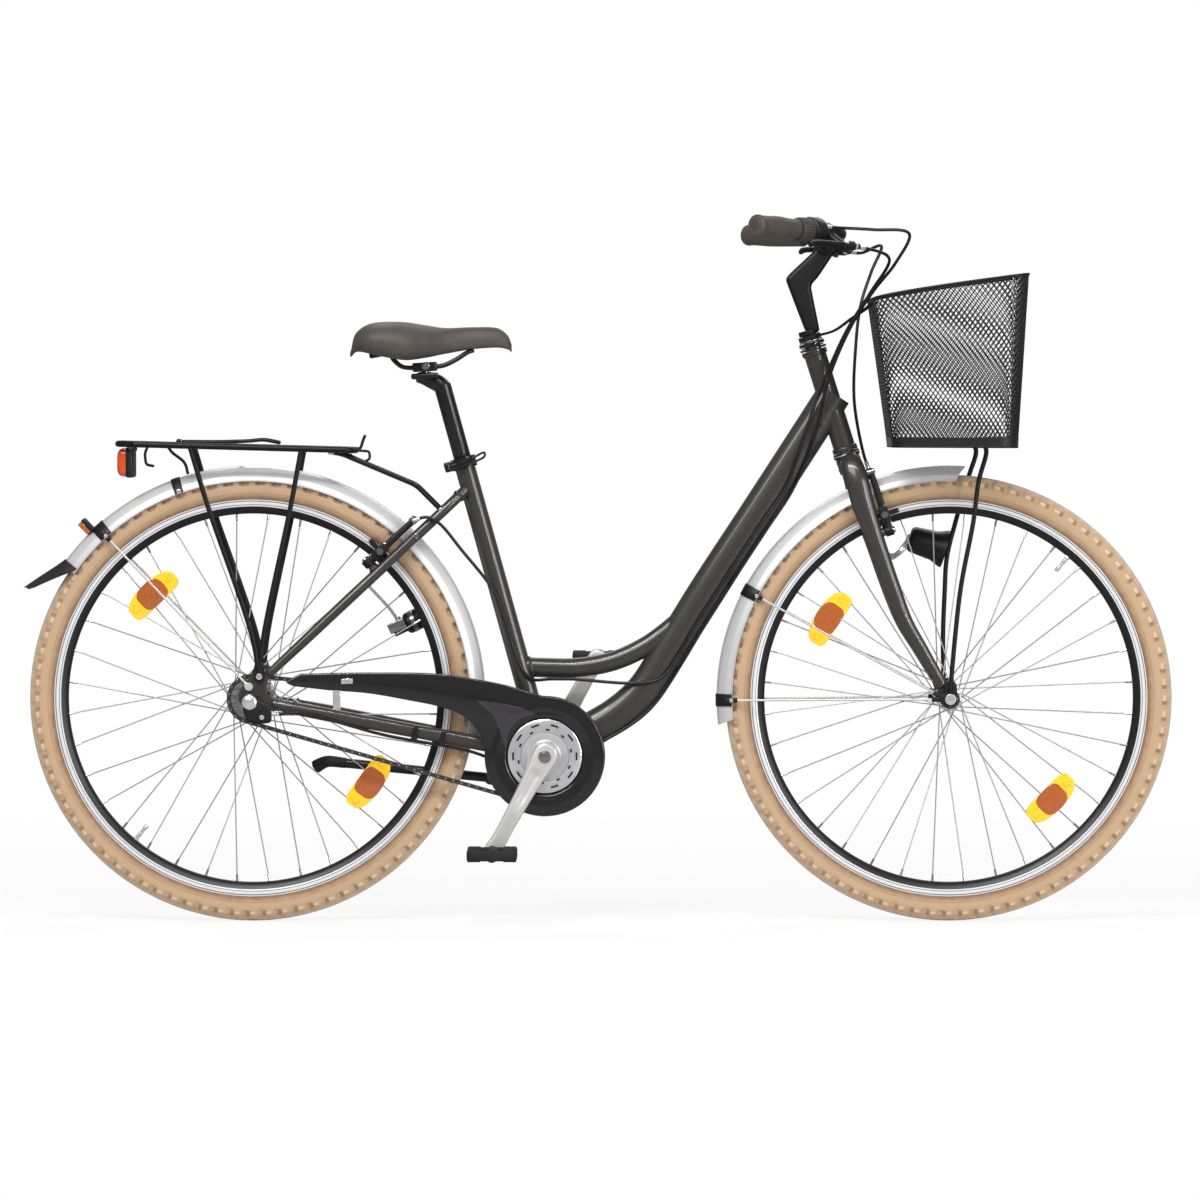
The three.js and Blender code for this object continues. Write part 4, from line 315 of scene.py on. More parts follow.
def block(low, high, edge, place=(0, 0, 0), directions=(ahead, sideways, upwards)):
    # rounded rectangles stacked along Z, drawn in by a quarter circle at both ends
    low, high = np.array(low, float), np.array(high, float)
    middle, half = (low + high) / 2, (high - low) / 2 - edge
    quarter = np.radians(np.linspace(0, 90, 4))
    way = np.concatenate([quarter + k * np.pi / 2 for k in range(4)])
    corner = np.repeat([[1, 1], [-1, 1], [-1, -1], [1, -1]], 4, 0)
    rise, size = edge * np.sin(quarter), edge * np.cos(quarter)
    size = np.concatenate([size[::-1], size])[:, None]
    z = middle[2] + np.concatenate([-half[2] - rise[::-1], half[2] + rise])[:, None] + 0 * way
    x = middle[0] + corner[:, 0] * half[0] + size * np.cos(way)
    y = middle[1] + corner[:, 1] * half[1] + size * np.sin(way)
    return moved(skin(np.stack([x, y, z], -1)), place, *directions)


def plate(outline, low, high, holes=(), edge=0.5, resolution=2):
    # a flat outline in X and Z with thickness along Y and rounded edges, from a filled curve
    data = bpy.data.curves.new("outline", "CURVE")
    data.dimensions = "2D"
    data.fill_mode = "BOTH"
    edge = min(edge, abs(high - low) / 2 - 0.01)
    for ring in (outline, *holes):
        spline = data.splines.new("POLY")
        spline.points.add(len(ring) - 1)
        flat = np.pad(np.array(ring, float), ((0, 0), (0, 2)))
        flat[:, 3] = 1
        spline.points.foreach_set("co", flat.ravel())
        spline.use_cyclic_u = True
    data.extrude = abs(high - low) / 2 - edge
    data.bevel_depth = edge
    data.bevel_resolution = resolution
    data.offset = -edge
    carrier = bpy.data.objects.new("outline", data)
    bpy.context.scene.collection.objects.link(carrier)
    mesh = bpy.data.meshes.new_from_object(carrier)
    points = np.array([v.co for v in mesh.vertices], float).reshape(-1, 3)
    faces = [np.array([list(f.vertices)]) for f in mesh.polygons]
    bpy.data.objects.remove(carrier)
    bpy.data.curves.remove(data)
    bpy.data.meshes.remove(mesh)
    return np.stack([points[:, 0], (low + high) / 2 - points[:, 2], points[:, 1]], axis=-1), faces


def screw(centre, axis, radius, height):
    # a domed bolt head with a recess, standing on the centre along the axis
    shares = [[1, 0], [1, 0.45], [0.86, 0.85], [0.57, 1], [0.45, 0.96], [0.423, 0.5], [0, 0.5]]
    profile = np.maximum(np.array(shares) * [radius, height], [core, 0])
    return lathe(profile, centre, axis, 20, closed=False)


def nut(centre, axis, radius, start, end):
    # six flats and a chamfer at both ends
    small = radius * 0.93
    profile = [[small * 0.4, start], [small, start], [radius, start + 0.8], [radius, end - 0.8],
               [small, end], [small * 0.4, end]]
    return lathe(profile, centre, axis, 6, closed=False)


class Build:  # collects surfaces into one piece, each with its own finish
    def __init__(self):
        self.points, self.faces, self.paints, self.count = [], [], [], 0

    def add(self, paint, *shapes):
        for points, faces in shapes:
            self.points.append(np.asarray(points, float))
            for group in faces:
                self.faces.append(np.asarray(group) + self.count)
                self.paints.append(np.full(len(group), paint))
            self.count += len(points)
        return self

    def piece(self, name, body, paints, slot, node, sharp=35):
        mesh = bpy.data.meshes.new(name)
        points = np.concatenate(self.points) * metre
        mesh.vertices.add(len(points))
        mesh.vertices.foreach_set("co", points.ravel())
        sizes = np.concatenate([np.full(len(f), f.shape[1]) for f in self.faces])
        corners = np.concatenate([f.ravel() for f in self.faces])
        mesh.loops.add(len(corners))
        mesh.loops.foreach_set("vertex_index", corners)
        mesh.polygons.add(len(sizes))
        mesh.polygons.foreach_set("loop_start", np.concatenate([[0], np.cumsum(sizes)[:-1]]))
        mesh.polygons.foreach_set("material_index", np.concatenate(self.paints))
        mesh.update(calc_edges=True)
        mesh.validate()
        for paint in paints:
            mesh.materials.append(paint.material)
        outward(mesh)
        mesh.shade_smooth()
        mesh.set_sharp_from_angle(angle=math.radians(sharp))
        piece = bpy.data.objects.new(name, mesh)
        bpy.context.scene.collection.objects.link(piece)
        if body:
            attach(piece, body)
        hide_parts(node)
        return piece


def outward(mesh):  # merges doubled points and turns every face outwards
    work = bmesh.new()
    work.from_mesh(mesh)
    bmesh.ops.remove_doubles(work, verts=work.verts, dist=2e-6)
    bmesh.ops.dissolve_degenerate(work, edges=work.edges, dist=1e-7)
    bmesh.ops.recalc_face_normals(work, faces=work.faces)
    work.to_mesh(mesh)
    work.free()


# The camera stands far off on the bicycle's right, where the photograph was taken from, and looks at
# its middle. The sensor is in millimetres of its own, and the farthest place seen in metres.
shot = {
    "distance": 11000.0, "height": 800.0, "middleX": 0.6, "middleZ": 505.0, "width": 1888.8,
    "sensor": 36, "farthest": 60,
}


def photoCamera():
    data = bpy.data.cameras.new("photoCamera")
    fall = shot["height"] - shot["middleZ"]
    data.sensor_width, data.clip_end = shot["sensor"], shot["farthest"]
    data.lens = shot["sensor"] * math.hypot(shot["distance"], fall) / shot["width"]
    camera = bpy.data.objects.new("photoCamera", data)
    bpy.context.scene.collection.objects.link(camera)
    camera.location = at(shot["middleX"], -shot["distance"], shot["height"]) * metre
    camera.rotation_euler = (math.pi / 2 - math.atan2(fall, shot["distance"]), 0, 0)
    bpy.context.scene.camera = camera


photoCamera()
print("camera made")

# Finishes. Colours are screen colours.
tone = {name: rgb(*value) for name, value in {
    "enamel": (53, 49, 49), "enamelFleck": (80, 74, 73), "blackMetal": (21, 20, 21),
    "plastic": (17, 17, 18), "rubber": (20, 19, 20), "grip": (70, 62, 58), "gripDark": (62, 54, 50),
    "gripShade": (44, 39, 37), "cover": (72, 65, 62), "coverDark": (48, 43, 41), "tan": (172, 144, 114),
    "tanPale": (180, 166, 150), "tanDarkAndLugShade": (120, 90, 64), "tanLugHighlight": (214, 198, 178),
    "silver": (232, 232, 234), "fender": (208, 207, 207), "alloy": (212, 210, 208),
    "steel": (186, 186, 188), "chain": (92, 88, 86), "basket": (19, 18, 19), "amber": (240, 186, 34),
    "amberRed": (158, 82, 34), "lens": (188, 66, 20), "glass": (225, 228, 230), "cable": (17, 16, 17),
    "guardFace": (46, 44, 46),
}.items()}


def enamelPaint():  # a deep gloss coat over a fine metallic fleck
    paint = Paint("frameEnamel", **{
        "Metallic": 0.3, "Roughness": 0.34, "Coat Weight": 0.8, "Coat Roughness": 0.05})
    fleck = paint.noise(2600, 2).fade(0.5, 0.8)
    return paint.feed({"Base Color": paint.mix(fleck, tone["enamel"], tone["enamelFleck"])})


def plainPaint(name, colour, rough, metal=0.0, coat=0.0, depth=0.00002, wear=0.12):
    # one colour with a little uneven wear in its gloss and a fine grain
    paint = Paint(name, **{
        "Base Color": tone[colour], "Metallic": metal, "Coat Weight": coat, "Coat Roughness": 0.08})
    paint.feed({"Roughness": (paint.noise(14, 4) - 0.5) * wear + rough})
    return paint.bump(paint.noise(900, 2), 0.35, depth)


def tyrePaint(name, axle):
    # tan side, a paler crown where it meets the road, a browner band by the rim, and a painted
    # highlight and painted shadow on each side lug
    paint = Paint(name, Roughness=0.82)
    radius, turn = paint.wheelPlace(axle)
    mottled = paint.noise(90, 5) - 0.5
    colour = paint.mix((radius + mottled * 7).fade(311, 324), tone["tanDarkAndLugShade"], tone["tan"])
    colour = paint.mix((radius + mottled * 2).fade(343, 350) * 0.8, colour, tone["tanPale"])
    phase = turn * wheel["lugs"]  # a painted highlight on each lug's face and a painted shadow on its side
    # painted light and shade: each side lug's face is painted paler as if lit, and its side darker as
    # if shaded
    lugHighlight = radius.band(336.6, 340.6, 0.4) * phase.math("COSINE").fade(0.35, 0.6)
    colour = paint.mix(lugHighlight * 0.42, colour, tone["tanLugHighlight"])
    shadow = radius.band(334.6, 342.4, 0.5) * (phase + 1.9).math("COSINE").fade(0.55, 0.8)
    colour = paint.mix(shadow * 0.6, colour, tone["tanDarkAndLugShade"])
    seam = radius.band(321.4, 322.6, 0.3) + radius.band(313.2, 314, 0.3)
    paint.feed({"Base Color": paint.mix(seam * 0.45, colour, tone["tanDarkAndLugShade"])})
    return paint.bump(paint.noise(520, 4), 0.5, 0.00025)


def rimPaint(name, axle):
    # brushed silver brake track with its fine wear grooves, and deep black sides
    paint = Paint(name)
    radius = paint.wheelPlace(axle)[0]
    track = radius.fade(301.2, 302.0)
    groove = radius.band(303.6, 304.6, 0.2) + radius.band(309.2, 310.6, 0.2)
    silver = paint.mix(groove * 0.85, tone["silver"], tone["blackMetal"])
    paint.feed({
        "Base Color": paint.mix(track, tone["blackMetal"], silver), "Metallic": track * 0.4,
        "Roughness": 0.36 - track * 0.06})
    return paint.bump((radius * 5).math("SINE") * track, 0.4, 0.00003)


def reflectorPaint(name, colour):  # ribbed clear plastic over tiny prisms
    paint = Paint(name, **{"Roughness": 0.16, "Coat Weight": 1.0})
    cells, shade = paint.cells(420), tone[colour]
    pale = tuple(min(1, c * 1.25) for c in shade)
    paint.feed({"Base Color": paint.mix(cells.fade(0.1, 0.7), pale, shade)})
    return paint.bump(cells, 0.6, 0.0004)


def coverPaint(name, colour, dark, scale=1900, depth=0.00012):  # grained leatherette
    paint = Paint(name)
    patches = paint.noise(26, 5)
    paint.feed({
        "Base Color": paint.mix(patches.fade(0.3, 0.8) * 0.35, tone[colour], tone[dark]),
        "Roughness": patches * 0.2 + 0.46})
    return paint.bump(paint.cells(scale) + paint.noise(700, 3) * 0.6, 0.55, depth)


enamel = enamelPaint()
blackMetal = plainPaint("blackMetal", "blackMetal", 0.33, 0.2, 0.45)
satinBlack = plainPaint("satinBlack", "plastic", 0.45, 0.3)
glossBlack = plainPaint("glossBlack", "plastic", 0.2, coat=1.0, wear=0.04)
guardFace = plainPaint("guardFace", "guardFace", 0.22, coat=0.7, wear=0.05)
plastic = plainPaint("blackPlastic", "plastic", 0.42, depth=0.00006)
rubber = plainPaint("blackRubber", "rubber", 0.66, depth=0.0001)
cableSleeve = plainPaint("cableSleeve", "cable", 0.34)
basketWire = plainPaint("basketWire", "basket", 0.4, coat=0.3)
steel = plainPaint("brightSteel", "steel", 0.2, 1.0)
spokeSteel = plainPaint("spokeSteel", "steel", 0.5, 0.75)
chainSteel = plainPaint("chainSteel", "chain", 0.38, 0.9)
chrome = plainPaint("polishedSteel", "silver", 0.16, 0.75, wear=0.05)
alloy = plainPaint("alloy", "alloy", 0.36, 0.55)
fenderSilver = plainPaint("fenderSilver", "fender", 0.4, 0.4, 0.25, wear=0.1)
lampGlass = plainPaint("lampGlass", "glass", 0.08, 0.6, 1.0)
amber = reflectorPaint("amberLens", "amber")
amberRed = reflectorPaint("orangeLens", "amberRed")
redLens = reflectorPaint("redLens", "lens")
gripRubber = coverPaint("gripRubber", "grip", "coverDark")
gripDark = coverPaint("gripDark", "gripDark", "gripShade")
cover = coverPaint("seatCover", "cover", "coverDark", 1500, 0.00022)
print("finishes made")

# Cables, from the bar into the frame. Each passes through these places.
cable = {"radius": 2.5, "ferrule": 3.3}
cableRoutes = {
    "gearCable": [
        (351, -185, 1087), (374, -157, 1086), (424, -132, 1084), (482, -106, 1078),
        (462, -92, 1034), (428, -70, 990), (392, -54, 932), (358, -42, 850), (338, -26, 764),
        (304, -12, 680), (263, -12, 617), (223, -12, 556), (190, -12, 504), (159, -12, 455),
        (132, -12, 410), (107, -12, 370), (90, -12, 346), (70, -12, 325), (43, -12, 305),
        (14, -12, 288), (-86, -20, 234), (-210, -34, 270), (-335, -49, 294), (-464, -79, 329),
        (-512, -88, 329),
    ],
    "rearBrakeCable": [
        (404, -156, 1055), (417, -140, 1054), (452, -86, 1038), (424, -54, 988), (388, -38, 930),
        (352, -28, 850), (322, -28, 768), (294, -21, 686), (253, -21, 624), (213, -21, 563),
        (180, -21, 511), (148, -21, 461), (122, -21, 416), (91, -23, 380), (-47, -13, 381),
        (-78, -13, 381), (-106, -19, 381), (-124, -19, 400), (-152, -19, 483), (-166, -19, 519),
        (-216, -40, 584), (-252, -49, 627), (-271, -48, 636), (-292, -45, 631),
    ],
    "frontBrakeCable": [
        (404, 156, 1055), (417, 140, 1054), (447, 104, 1064), (430, 79, 1022), (412, 57, 967),
        (404, 47, 898), (402, 40, 817), (416, 37, 737), (424, 37, 712),
    ],
}


def cablePiece(name, body, node, steps):
    # the sleeve, with a metal ferrule at both ends
    path = curve(cableRoutes[name], steps)
    build = Build().add(0, sweep(path, cable["radius"], sides=12))
    for tip, inner in ((path[0], path[2]), (path[-1], path[-3])):
        build.add(1, drum(tip, unit(inner - tip), cable["ferrule"], -0.5, 11, 0.6, 16))
    return build.piece(name, body, [cableSleeve, chrome], "black_rubber", node, sharp=50)


for loose in (cablePiece("gearCable", None, "gear_cable", 360),
              cablePiece("rearBrakeCable", None, "rear_brake_cable", 340)):
    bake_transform(loose)
cablePiece("frontBrakeCable", "steering", "front_brake_cable", 200)
print("cables made")

# Wheels. A tyre's lugs are a height over a grid: angle about the axle by place across the tyre.
wheel = {
    "lugs": 84, "lugDepth": 2.5, "grooveDepth": 1.1, "tyreMiddle": 330.0, "spokes": 36,
    "spokeRadius": 1.05, "crossing": 60, "nippleRadius": 1.9, "nippleLength": 12,
}
rearAxle, frontAxle = at(-545.5, 0, 351), at(549.5, 0, 351)


def tyre(name, axle, body, node):
    half = np.array([
        [309.3, 9.2], [311.5, 12.0], [316, 14.6], [322, 17.6], [330, 19.5], [337, 19.6], [342.5, 17.8],
        [346.6, 14.2], [349.3, 9.6], [350.6, 4.8], [351.0, 0]])
    outer = curve(np.vstack([half, (half * [1, -1])[::-1][1:]]), 53)
    inner = curve([[309.3, -7.5], [320, -9], [332, -13], [343, -8], [346, 0], [343, 8], [332, 13],
                   [320, 9], [309.3, 7.5]], 17)
    turn = fullTurn(wheel["lugs"] * 12)[:, None]
    radius, across = outer.T[:, None]
    phase = wheel["lugs"] * turn
    # Side lugs: raised blocks between shoulder radii 334 and 347, alternately long and short.
    lug = 1 / (1 + np.exp(-14 * (0.5 * np.cos(phase) + 0.08)))
    low = 334.75 - 1.75 * np.cos(phase / 2 + 0.6)
    shoulder = 1 / (1 + np.exp(-(radius - low) * 2.2)) / (1 + np.exp((radius - 348.2) * 1.6))
    # Crown: one groove each side of the middle, crossed by slanting cuts.
    crown = 1 / (1 + np.exp(-(radius - 347.5) * 2.5))
    slant = np.abs(np.sin(phase / 2 + np.abs(across) * 0.35))
    groove = np.exp(-((np.abs(across) - 4.6) / 0.9) ** 2)
    sunk = wheel["lugDepth"] * (1 - lug) * shoulder
    sunk = sunk + wheel["grooveDepth"] * crown * np.maximum(groove, (slant < 0.22) * 0.8)
    middle = wheel["tyreMiddle"]
    share = 1 - sunk / np.maximum(np.hypot(radius - middle, across), 8)
    r, y = middle + (radius - middle) * share, across * share
    r, y = (np.concatenate([v, np.repeat(w[None], len(turn), 0)], 1) for v, w in zip((r, y), inner.T))
    rings = np.stack([axle[0] + r * np.cos(turn), y, axle[2] + r * np.sin(turn)], axis=-1)
    paint = tyrePaint(name + "Rubber", axle)
    Build().add(0, skin(rings, loop=True)).piece(name, body, [paint], "tyre", node, sharp=50)


def rim(name, axle, body, node, valveAngle):
    half = [[317.6, 12.2], [316.5, 12.5], [302.4, 12.5], [301.4, 12.0], [296, 9.6], [291.2, 5.6],
            [290.2, 3.8], [290, 0]]
    lip = [[317.6, 11.2], [312, 10.9], [308.2, 10.6], [307.2, 8], [307, 0]]
    ring = half + [[r, -y] for r, y in half[-2::-1] + lip] + lip[-2::-1]
    foot, tip = (polar(axle, r, valveAngle) for r in (291, 260))
    way = unit(tip - foot)
    valve = [[core, -2], [3, -2], [3, 12], [2.6, 14], [2.6, 22], [3.4, 22.6], [3.4, 28], [2.4, 30],
             [core, 30]]
    build = Build().add(0, lathe(ring, axle, sides=288))
    build.add(1, lathe(valve, foot, way, 20), nut(foot, way, 5.4, 0.2, 3.6))
    build.piece(name, body, [rimPaint(name + "Metal", axle), chrome], "rim", node)


def hubAndSpokes(name, axle, body, node, reflectorAngles, flange, offset, barrel, end, half):
    # half of the hub's profile, from the barrel's middle over the flange to the axle
    side = [[barrel, 0], [barrel, offset - 8], [barrel + 2.2, offset - 4.6],
            [flange - 0.7, offset - 1.9], [flange, offset - 1.2], [flange, offset + 1.2],
            [flange - 0.7, offset + 1.9],
            [end + 1.5, offset + 2.6], [end, offset + 4], [end, half - 1], [end - 1, half], [5.6, half],
            [5.6, 0]]
    build = Build().add(0, lathe(side[:-1] + [[r, -y] for r, y in side[::-1][1:]], axle, sides=72))
    count = wheel["spokes"] // 2
    for way in rightLeft:
        for k in range(count):
            leading = -1 if k % 2 else 1
            start = (k + (0.75 if way > 0 else 0.25)) * 360 / count
            head = polar(axle, flange - 3, start, way * (offset + leading * 2.0))
            tip = polar(axle, 291, start + leading * wheel["crossing"], way * 2.4)
            run, out = unit(tip - head), -leading * way * sideways
            elbow = [head + out * 4.6, head + out * 1.2, head + run * 1.6, tip]
            build.add(1, sweep(elbow, wheel["spokeRadius"], sides=7),
                      drum(head + out * 4.8, -out, 1.9, -0.6, 0.9, 0.4, 10))
            long, wide = wheel["nippleLength"], wheel["nippleRadius"]
            nipple = [[1.0, -long], [1.7, 0.6 - long], [wide, 0], [core, 0]]
            build.add(2, lathe(nipple, tip, run, 8, closed=False))
            if k % 2 == 0:  # a lightening hole between two spokes
                hole = polar(axle, flange - 7.5, start + 180 / count, way * (offset + 1.95))
                build.add(3, drum(hole, way * sideways, 2.1, -0.4, 0.25, 0.2, 12))
    for angle in reflectorAngles:
        build.add(4, reflectorBody(axle, angle, 46, 19.0, 6.8, 0.9),
                  *(reflectorClip(axle, angle, end) for end in rightLeft))
        build.add(5, reflectorBody(axle, angle, 24, 19.4, 7.8, 0.7))
    build.piece(name, body, [alloy, spokeSteel, steel, blackMetal, amber, amberRed], "bright_steel",
                node)


def reflectorBody(axle, angle, length, height, depth, edge):
    # an oval tablet set across the spokes, bent a little along the wheel's turn
    turn = fullTurn(48)
    flat = np.stack([height * swell(np.cos(turn), 0.55), length * swell(np.sin(turn), 0.7)], axis=-1)
    points, faces = plate(flat, -9 - depth / 2, -9 + depth / 2, edge=edge)
    points[:, 0] -= points[:, 2] ** 2 / 480
    return onSpokes((points, faces), axle, angle, 228)


def onSpokes(shape, axle, angle, radius):
    out = unit(polar(0, 1, angle))
    return moved(shape, axle + out * radius, out, sideways, np.cross(out, sideways))


def reflectorClip(axle, angle, end):
    low = at(-3.5, -14.0, end * 35 - 5)
    return onSpokes(block(low, low + at(7, 2.4, 10), 0.9), axle, angle, 226.5)


for end, axle in (("front", frontAxle), ("rear", rearAxle)):
    tyre(end + "Tyre", axle, end + "_wheel", end + "_tyre")
rim("frontRim", frontAxle, "front_wheel", "front_rim", 49.8)
rim("rearRim", rearAxle, "rear_wheel", "rear_rim", 230.3)
hubAndSpokes("frontHub", frontAxle, "front_wheel", "front_spokes", [146.3, -44.5], flange=20,
             offset=34.5, barrel=12, end=13.5, half=45)
hubAndSpokes("rearHub", rearAxle, "rear_wheel", "rear_spokes", [134, -36], flange=35, offset=29,
             barrel=27, end=20, half=37)


def axlePieces():
    build = Build().add(0, drum(frontAxle, sideways, 5, -67.5, 67.5, 0.8, 24))
    for way in (-sideways, sideways):
        washer = [[9, 58.6], [9, 59.2], [8, 59.5], [5, 59.5]]
        build.add(0, lathe(washer, frontAxle, way, 32, closed=False))
        build.add(1, drum(frontAxle, way, 8, 45.3, 49.6), nut(frontAxle, way, 9, 59.5, 66.5),
                  drum(frontAxle, way, 8.7, 66, 67.9, 1.6))
    build.piece("frontAxle", "steering", [steel, chrome], "bright_steel", "front_axle")
    build = Build().add(0, drum(rearAxle, sideways, 5, -77.5, 76, 0.8, 24))
    build.add(1, *(drum(rearAxle, sideways, 8.6, *ends, 0.8) for ends in ((37.5, 61.5), (-61.5, -50))))
    for way in (-sideways, sideways):
        build.add(1, nut(rearAxle, way, 9, 67.5, 75.5))
        build.add(0, drum(rearAxle, way, 8.9, 67.3, 68.4, 0.3))
    build.piece("rearAxle", "frame", [steel, chrome], "bright_steel", "rear_axle")


def gearBoxPiece():
    # the click box: a black foot along the stay with a silver dome over the axle
    shares = [[-0.31, -0.04], [-0.21, 0.15], [0, 0.21], [0.17, 0.19], [0.25, 0], [0.67, -0.17],
              [0.69, -0.75], [0.1, -0.79], [-0.17, -0.62]]
    outline = fillet(rearAxle[::2] + 48 * np.array(shares), 7, 5)
    small = (outline - outline.mean(0)) * 0.9 + outline.mean(0)
    dome = [[core, 98], [6, 97.4], [10.6, 95], [12.6, 91], [13.2, 86], [13.2, 82], [core, 82]]
    build = Build().add(0, plate(outline, -90, -78.2, edge=2), plate(small, -93, -89, edge=1.6))
    build.add(1, lathe(dome, rearAxle + at(-1, 0, -4), -sideways, 40),
              screw(rearAxle + at(18, -92.5, -27), -sideways, 4, 2.5))
    build.piece("gearBox", "frame", [plastic, chrome], "bright_steel", "gear_box")


axlePieces()
gearBoxPiece()
print("wheels made")

# The frame: oval and round steel tubes, welded, with a small bead round each joint.
tubes = {
    "seat": 16.0, "seatBore": 14.1, "downDeep": 27.5, "downWide": 20.0, "crossDeep": 15.5,
    "crossWide": 13.0, "bridge": 6.0, "bead": 1.9,
}
bracket, headFoot = at(-85.9, 0, 261.3), at(387, 0, 738.7)
seatUp, seatAhead = at(-0.26774, 0, 0.96349), at(0.96349, 0, 0.26774)
headUp, headAhead = at(-0.30071, 0, 0.95372), at(0.95372, 0, 0.30071)
standPivot, standAxis = at(-172, 43, 222.7), at(-0.005, -0.9987, -0.051)
dynamoHinge, dynamoAxis = at(-312.6, 42, 462.1), at(-0.4305, 0, 0.9026)
rearBoss, frontBoss = at(-363.2, 40, 564.4), at(454.35, 40, 614.87)  # pivots of the left brake arms


def seatAt(height, ahead=0.0, y=0.0):
    return bracket + seatUp * height + seatAhead * ahead + at(0, y, 0)


def headAt(height, ahead=0.0, y=0.0):
    return headFoot + headUp * height + headAhead * ahead + at(0, y, 0)


downLine = curve([
    (368.9, 0, 829.2), (322.9, 0, 755.5), (242.8, 0, 630.3), (169.5, 0, 517.2), (111.3, 0, 422.5),
    (71, 0, 361), (29.8, 0, 324.8), (-29, 0, 291.7), (-78, 0, 266)], 110)
downLine = downLine + np.outer(np.sin(np.linspace(0, np.pi, 110)), (-2.5, 0, 1.7))
crossLine = curve([
    (-124.5, 0, 400), (-80, 0, 398.4), (-34.5, 0, 398.6), (21.4, 0, 409), (71, 0, 431), (102, 0, 452.4),
    (128, 0, 474)], 80)


def bead(centre, way, across, deep, hint=sideways, size=tubes["bead"]):
    # a weld round a joint: a ring of small overlapping swells
    way = unit(np.array(way, float))
    wide = unit(hint - way * (way @ hint))
    turn, tilt = fullTurn(160)[:, None], fullTurn(8)[:, None]
    size = size * (1 + 0.16 * np.abs(np.sin(turn * 20)))
    c, s = np.cos(turn) * wide, np.sin(turn) * np.cross(way, wide)
    middle, out = centre + c * across + s * deep, c + s
    return skin(middle[:, None] + size[..., None] * (
        out[:, None] * np.cos(tilt) + way * np.sin(tilt)), loop=True)


def mainTubes():
    profile = [[13.2, 0], [20, 0], [20, 6.4], [19.4, 7.4], [17.5, 8.6], [17.5, 158.2], [19.4, 159.4],
               [20, 160.4], [20, 166.8], [13.2, 166.8]]
    seam = [[20, -0.6], [20.4, 0], [20, 0.6], [19.6, 0]]
    build = Build().add(0, lathe(profile, headFoot, headUp, 64))
    build.add(1, *(lathe(seam, headAt(height), headUp, 64) for height in (3.2, 163.6)))
    build.piece("headTube", "frame", [enamel, blackMetal], "frame_paint", "head_tube")
    build = Build().add(
        0, sweep(downLine, tubes["downWide"], tubes["downDeep"], sideways, 48),
        bead(downLine[7], downLine[6] - downLine[3] + headUp * 14, 20.6, 28.6),
        bead(headAt(83, -1), headAhead, 17.2, 30, size=1.6),
        bead(downLine[-8], downLine[-8] - downLine[-12], 20.3, 27.8))
    build.piece("downTube", "frame", [enamel], "frame_paint", "down_tube")
    build = Build().add(0, sweep(crossLine, tubes["crossWide"], tubes["crossDeep"], sideways, 40),
                        bead(crossLine[5], at(1, 0, 0.2), 13.3, 15.8))
    build.piece("crossTube", "frame", [enamel], "frame_paint", "cross_tube")
    wide, bore = tubes["seat"], tubes["seatBore"]
    bored = [[core, 262], [bore, 262], [bore, 482], [wide, 482], [wide, 14], [core, 14]]
    build = Build().add(0, lathe(bored, bracket, seatUp, 56), bead(seatAt(20.5), seatUp, 16.2, 17.4))
    build.piece("seatTube", "frame", [enamel], "frame_paint", "seat_tube")
    shell = [[16, -34], [20.2, -34], [21, -33.2], [21, 33.2], [20.2, 34], [16, 34]]
    cup = [[9, 30], [16.8, 30], [18.6, 34.1], [18.6, 35.6], [17.6, 36.2], [9, 36.2]]
    build = Build().add(0, lathe(shell, bracket, sides=72))
    build.add(1, *(lathe(cup, bracket, side * sideways) for side in rightLeft))
    build.add(2, block((-22, -13, -27), (6, 13, -19.5), 2, bracket))
    build.add(3, screw(bracket + at(-8, 0, -26.5), -upwards, 3.6, 2))
    build.piece("bracketShell", "frame", [enamel, blackMetal, plastic, steel], "frame_paint",
                "bottom_bracket_shell")


def seatStays():
    build = Build()
    leftLine = [(-517.4, 64.5, 391.3), (-454.6, 58.5, 450.0), (-400, 51.2, 501.4),
                (-344.8, 41.9, 552.8), (-310.3, 39.1, 585.1), (-272.7, 36.1, 620.4),
                (-235.0, 27.4, 655.6), (-211.0, 13.5, 678.6)]
    for side in rightLeft:
        line, way = curve(sided(leftLine, side), 80), side * sideways
        thick = np.interp(np.arange(80), [0, 10, 24, 79], [6.6, 7.6, 8, 8])
        root = sided(at(-348.9, 40, 549.1), side)
        boss = sided(rearBoss, side) - root
        build.add(0, sweep(line, thick, sides=28, dome=3),
                  bead(line[-6], line[-1] - line[-9], 8.4, 8.6, size=1.5),
                  drum(root, boss, 6, -3, 14.2, 0.8),
                  bead(root + boss * 0.42, boss, 6.4, 6.8, size=1.2),
                  drum(line[52] + way * 5, way, 4.6, 0, 4.4, 0.5, 24),
                  bead(at(-278.8, side * 29.4, 614.6), way, 6.3, 6.5, ahead, 1.3))
        build.add(1, screw(line[52] + way * 9.4, way, 4.4, 3))
    bridge = np.linspace(at(-278.8, -36.8, 614.6), at(-278.8, 36.8, 614.6), 12)
    build.add(0, sweep(bridge, tubes["bridge"], sides=28))
    arm = curve([(-369, 46, 530), (-352, 50, 512), (-331, 49, 489), (-318, 47, 470)], 30)
    build.add(2, sweep(arm, 5.4, 2.6, sideways, 16),
              drum(dynamoHinge, dynamoAxis, 5.2, 4.4, 13.5, 0.6, 28))
    build.add(1, screw(dynamoHinge + dynamoAxis * 13.5, dynamoAxis, 4.2, 3))
    build.piece("seatStays", "frame", [enamel, steel, alloy], "frame_paint", "seat_stays")


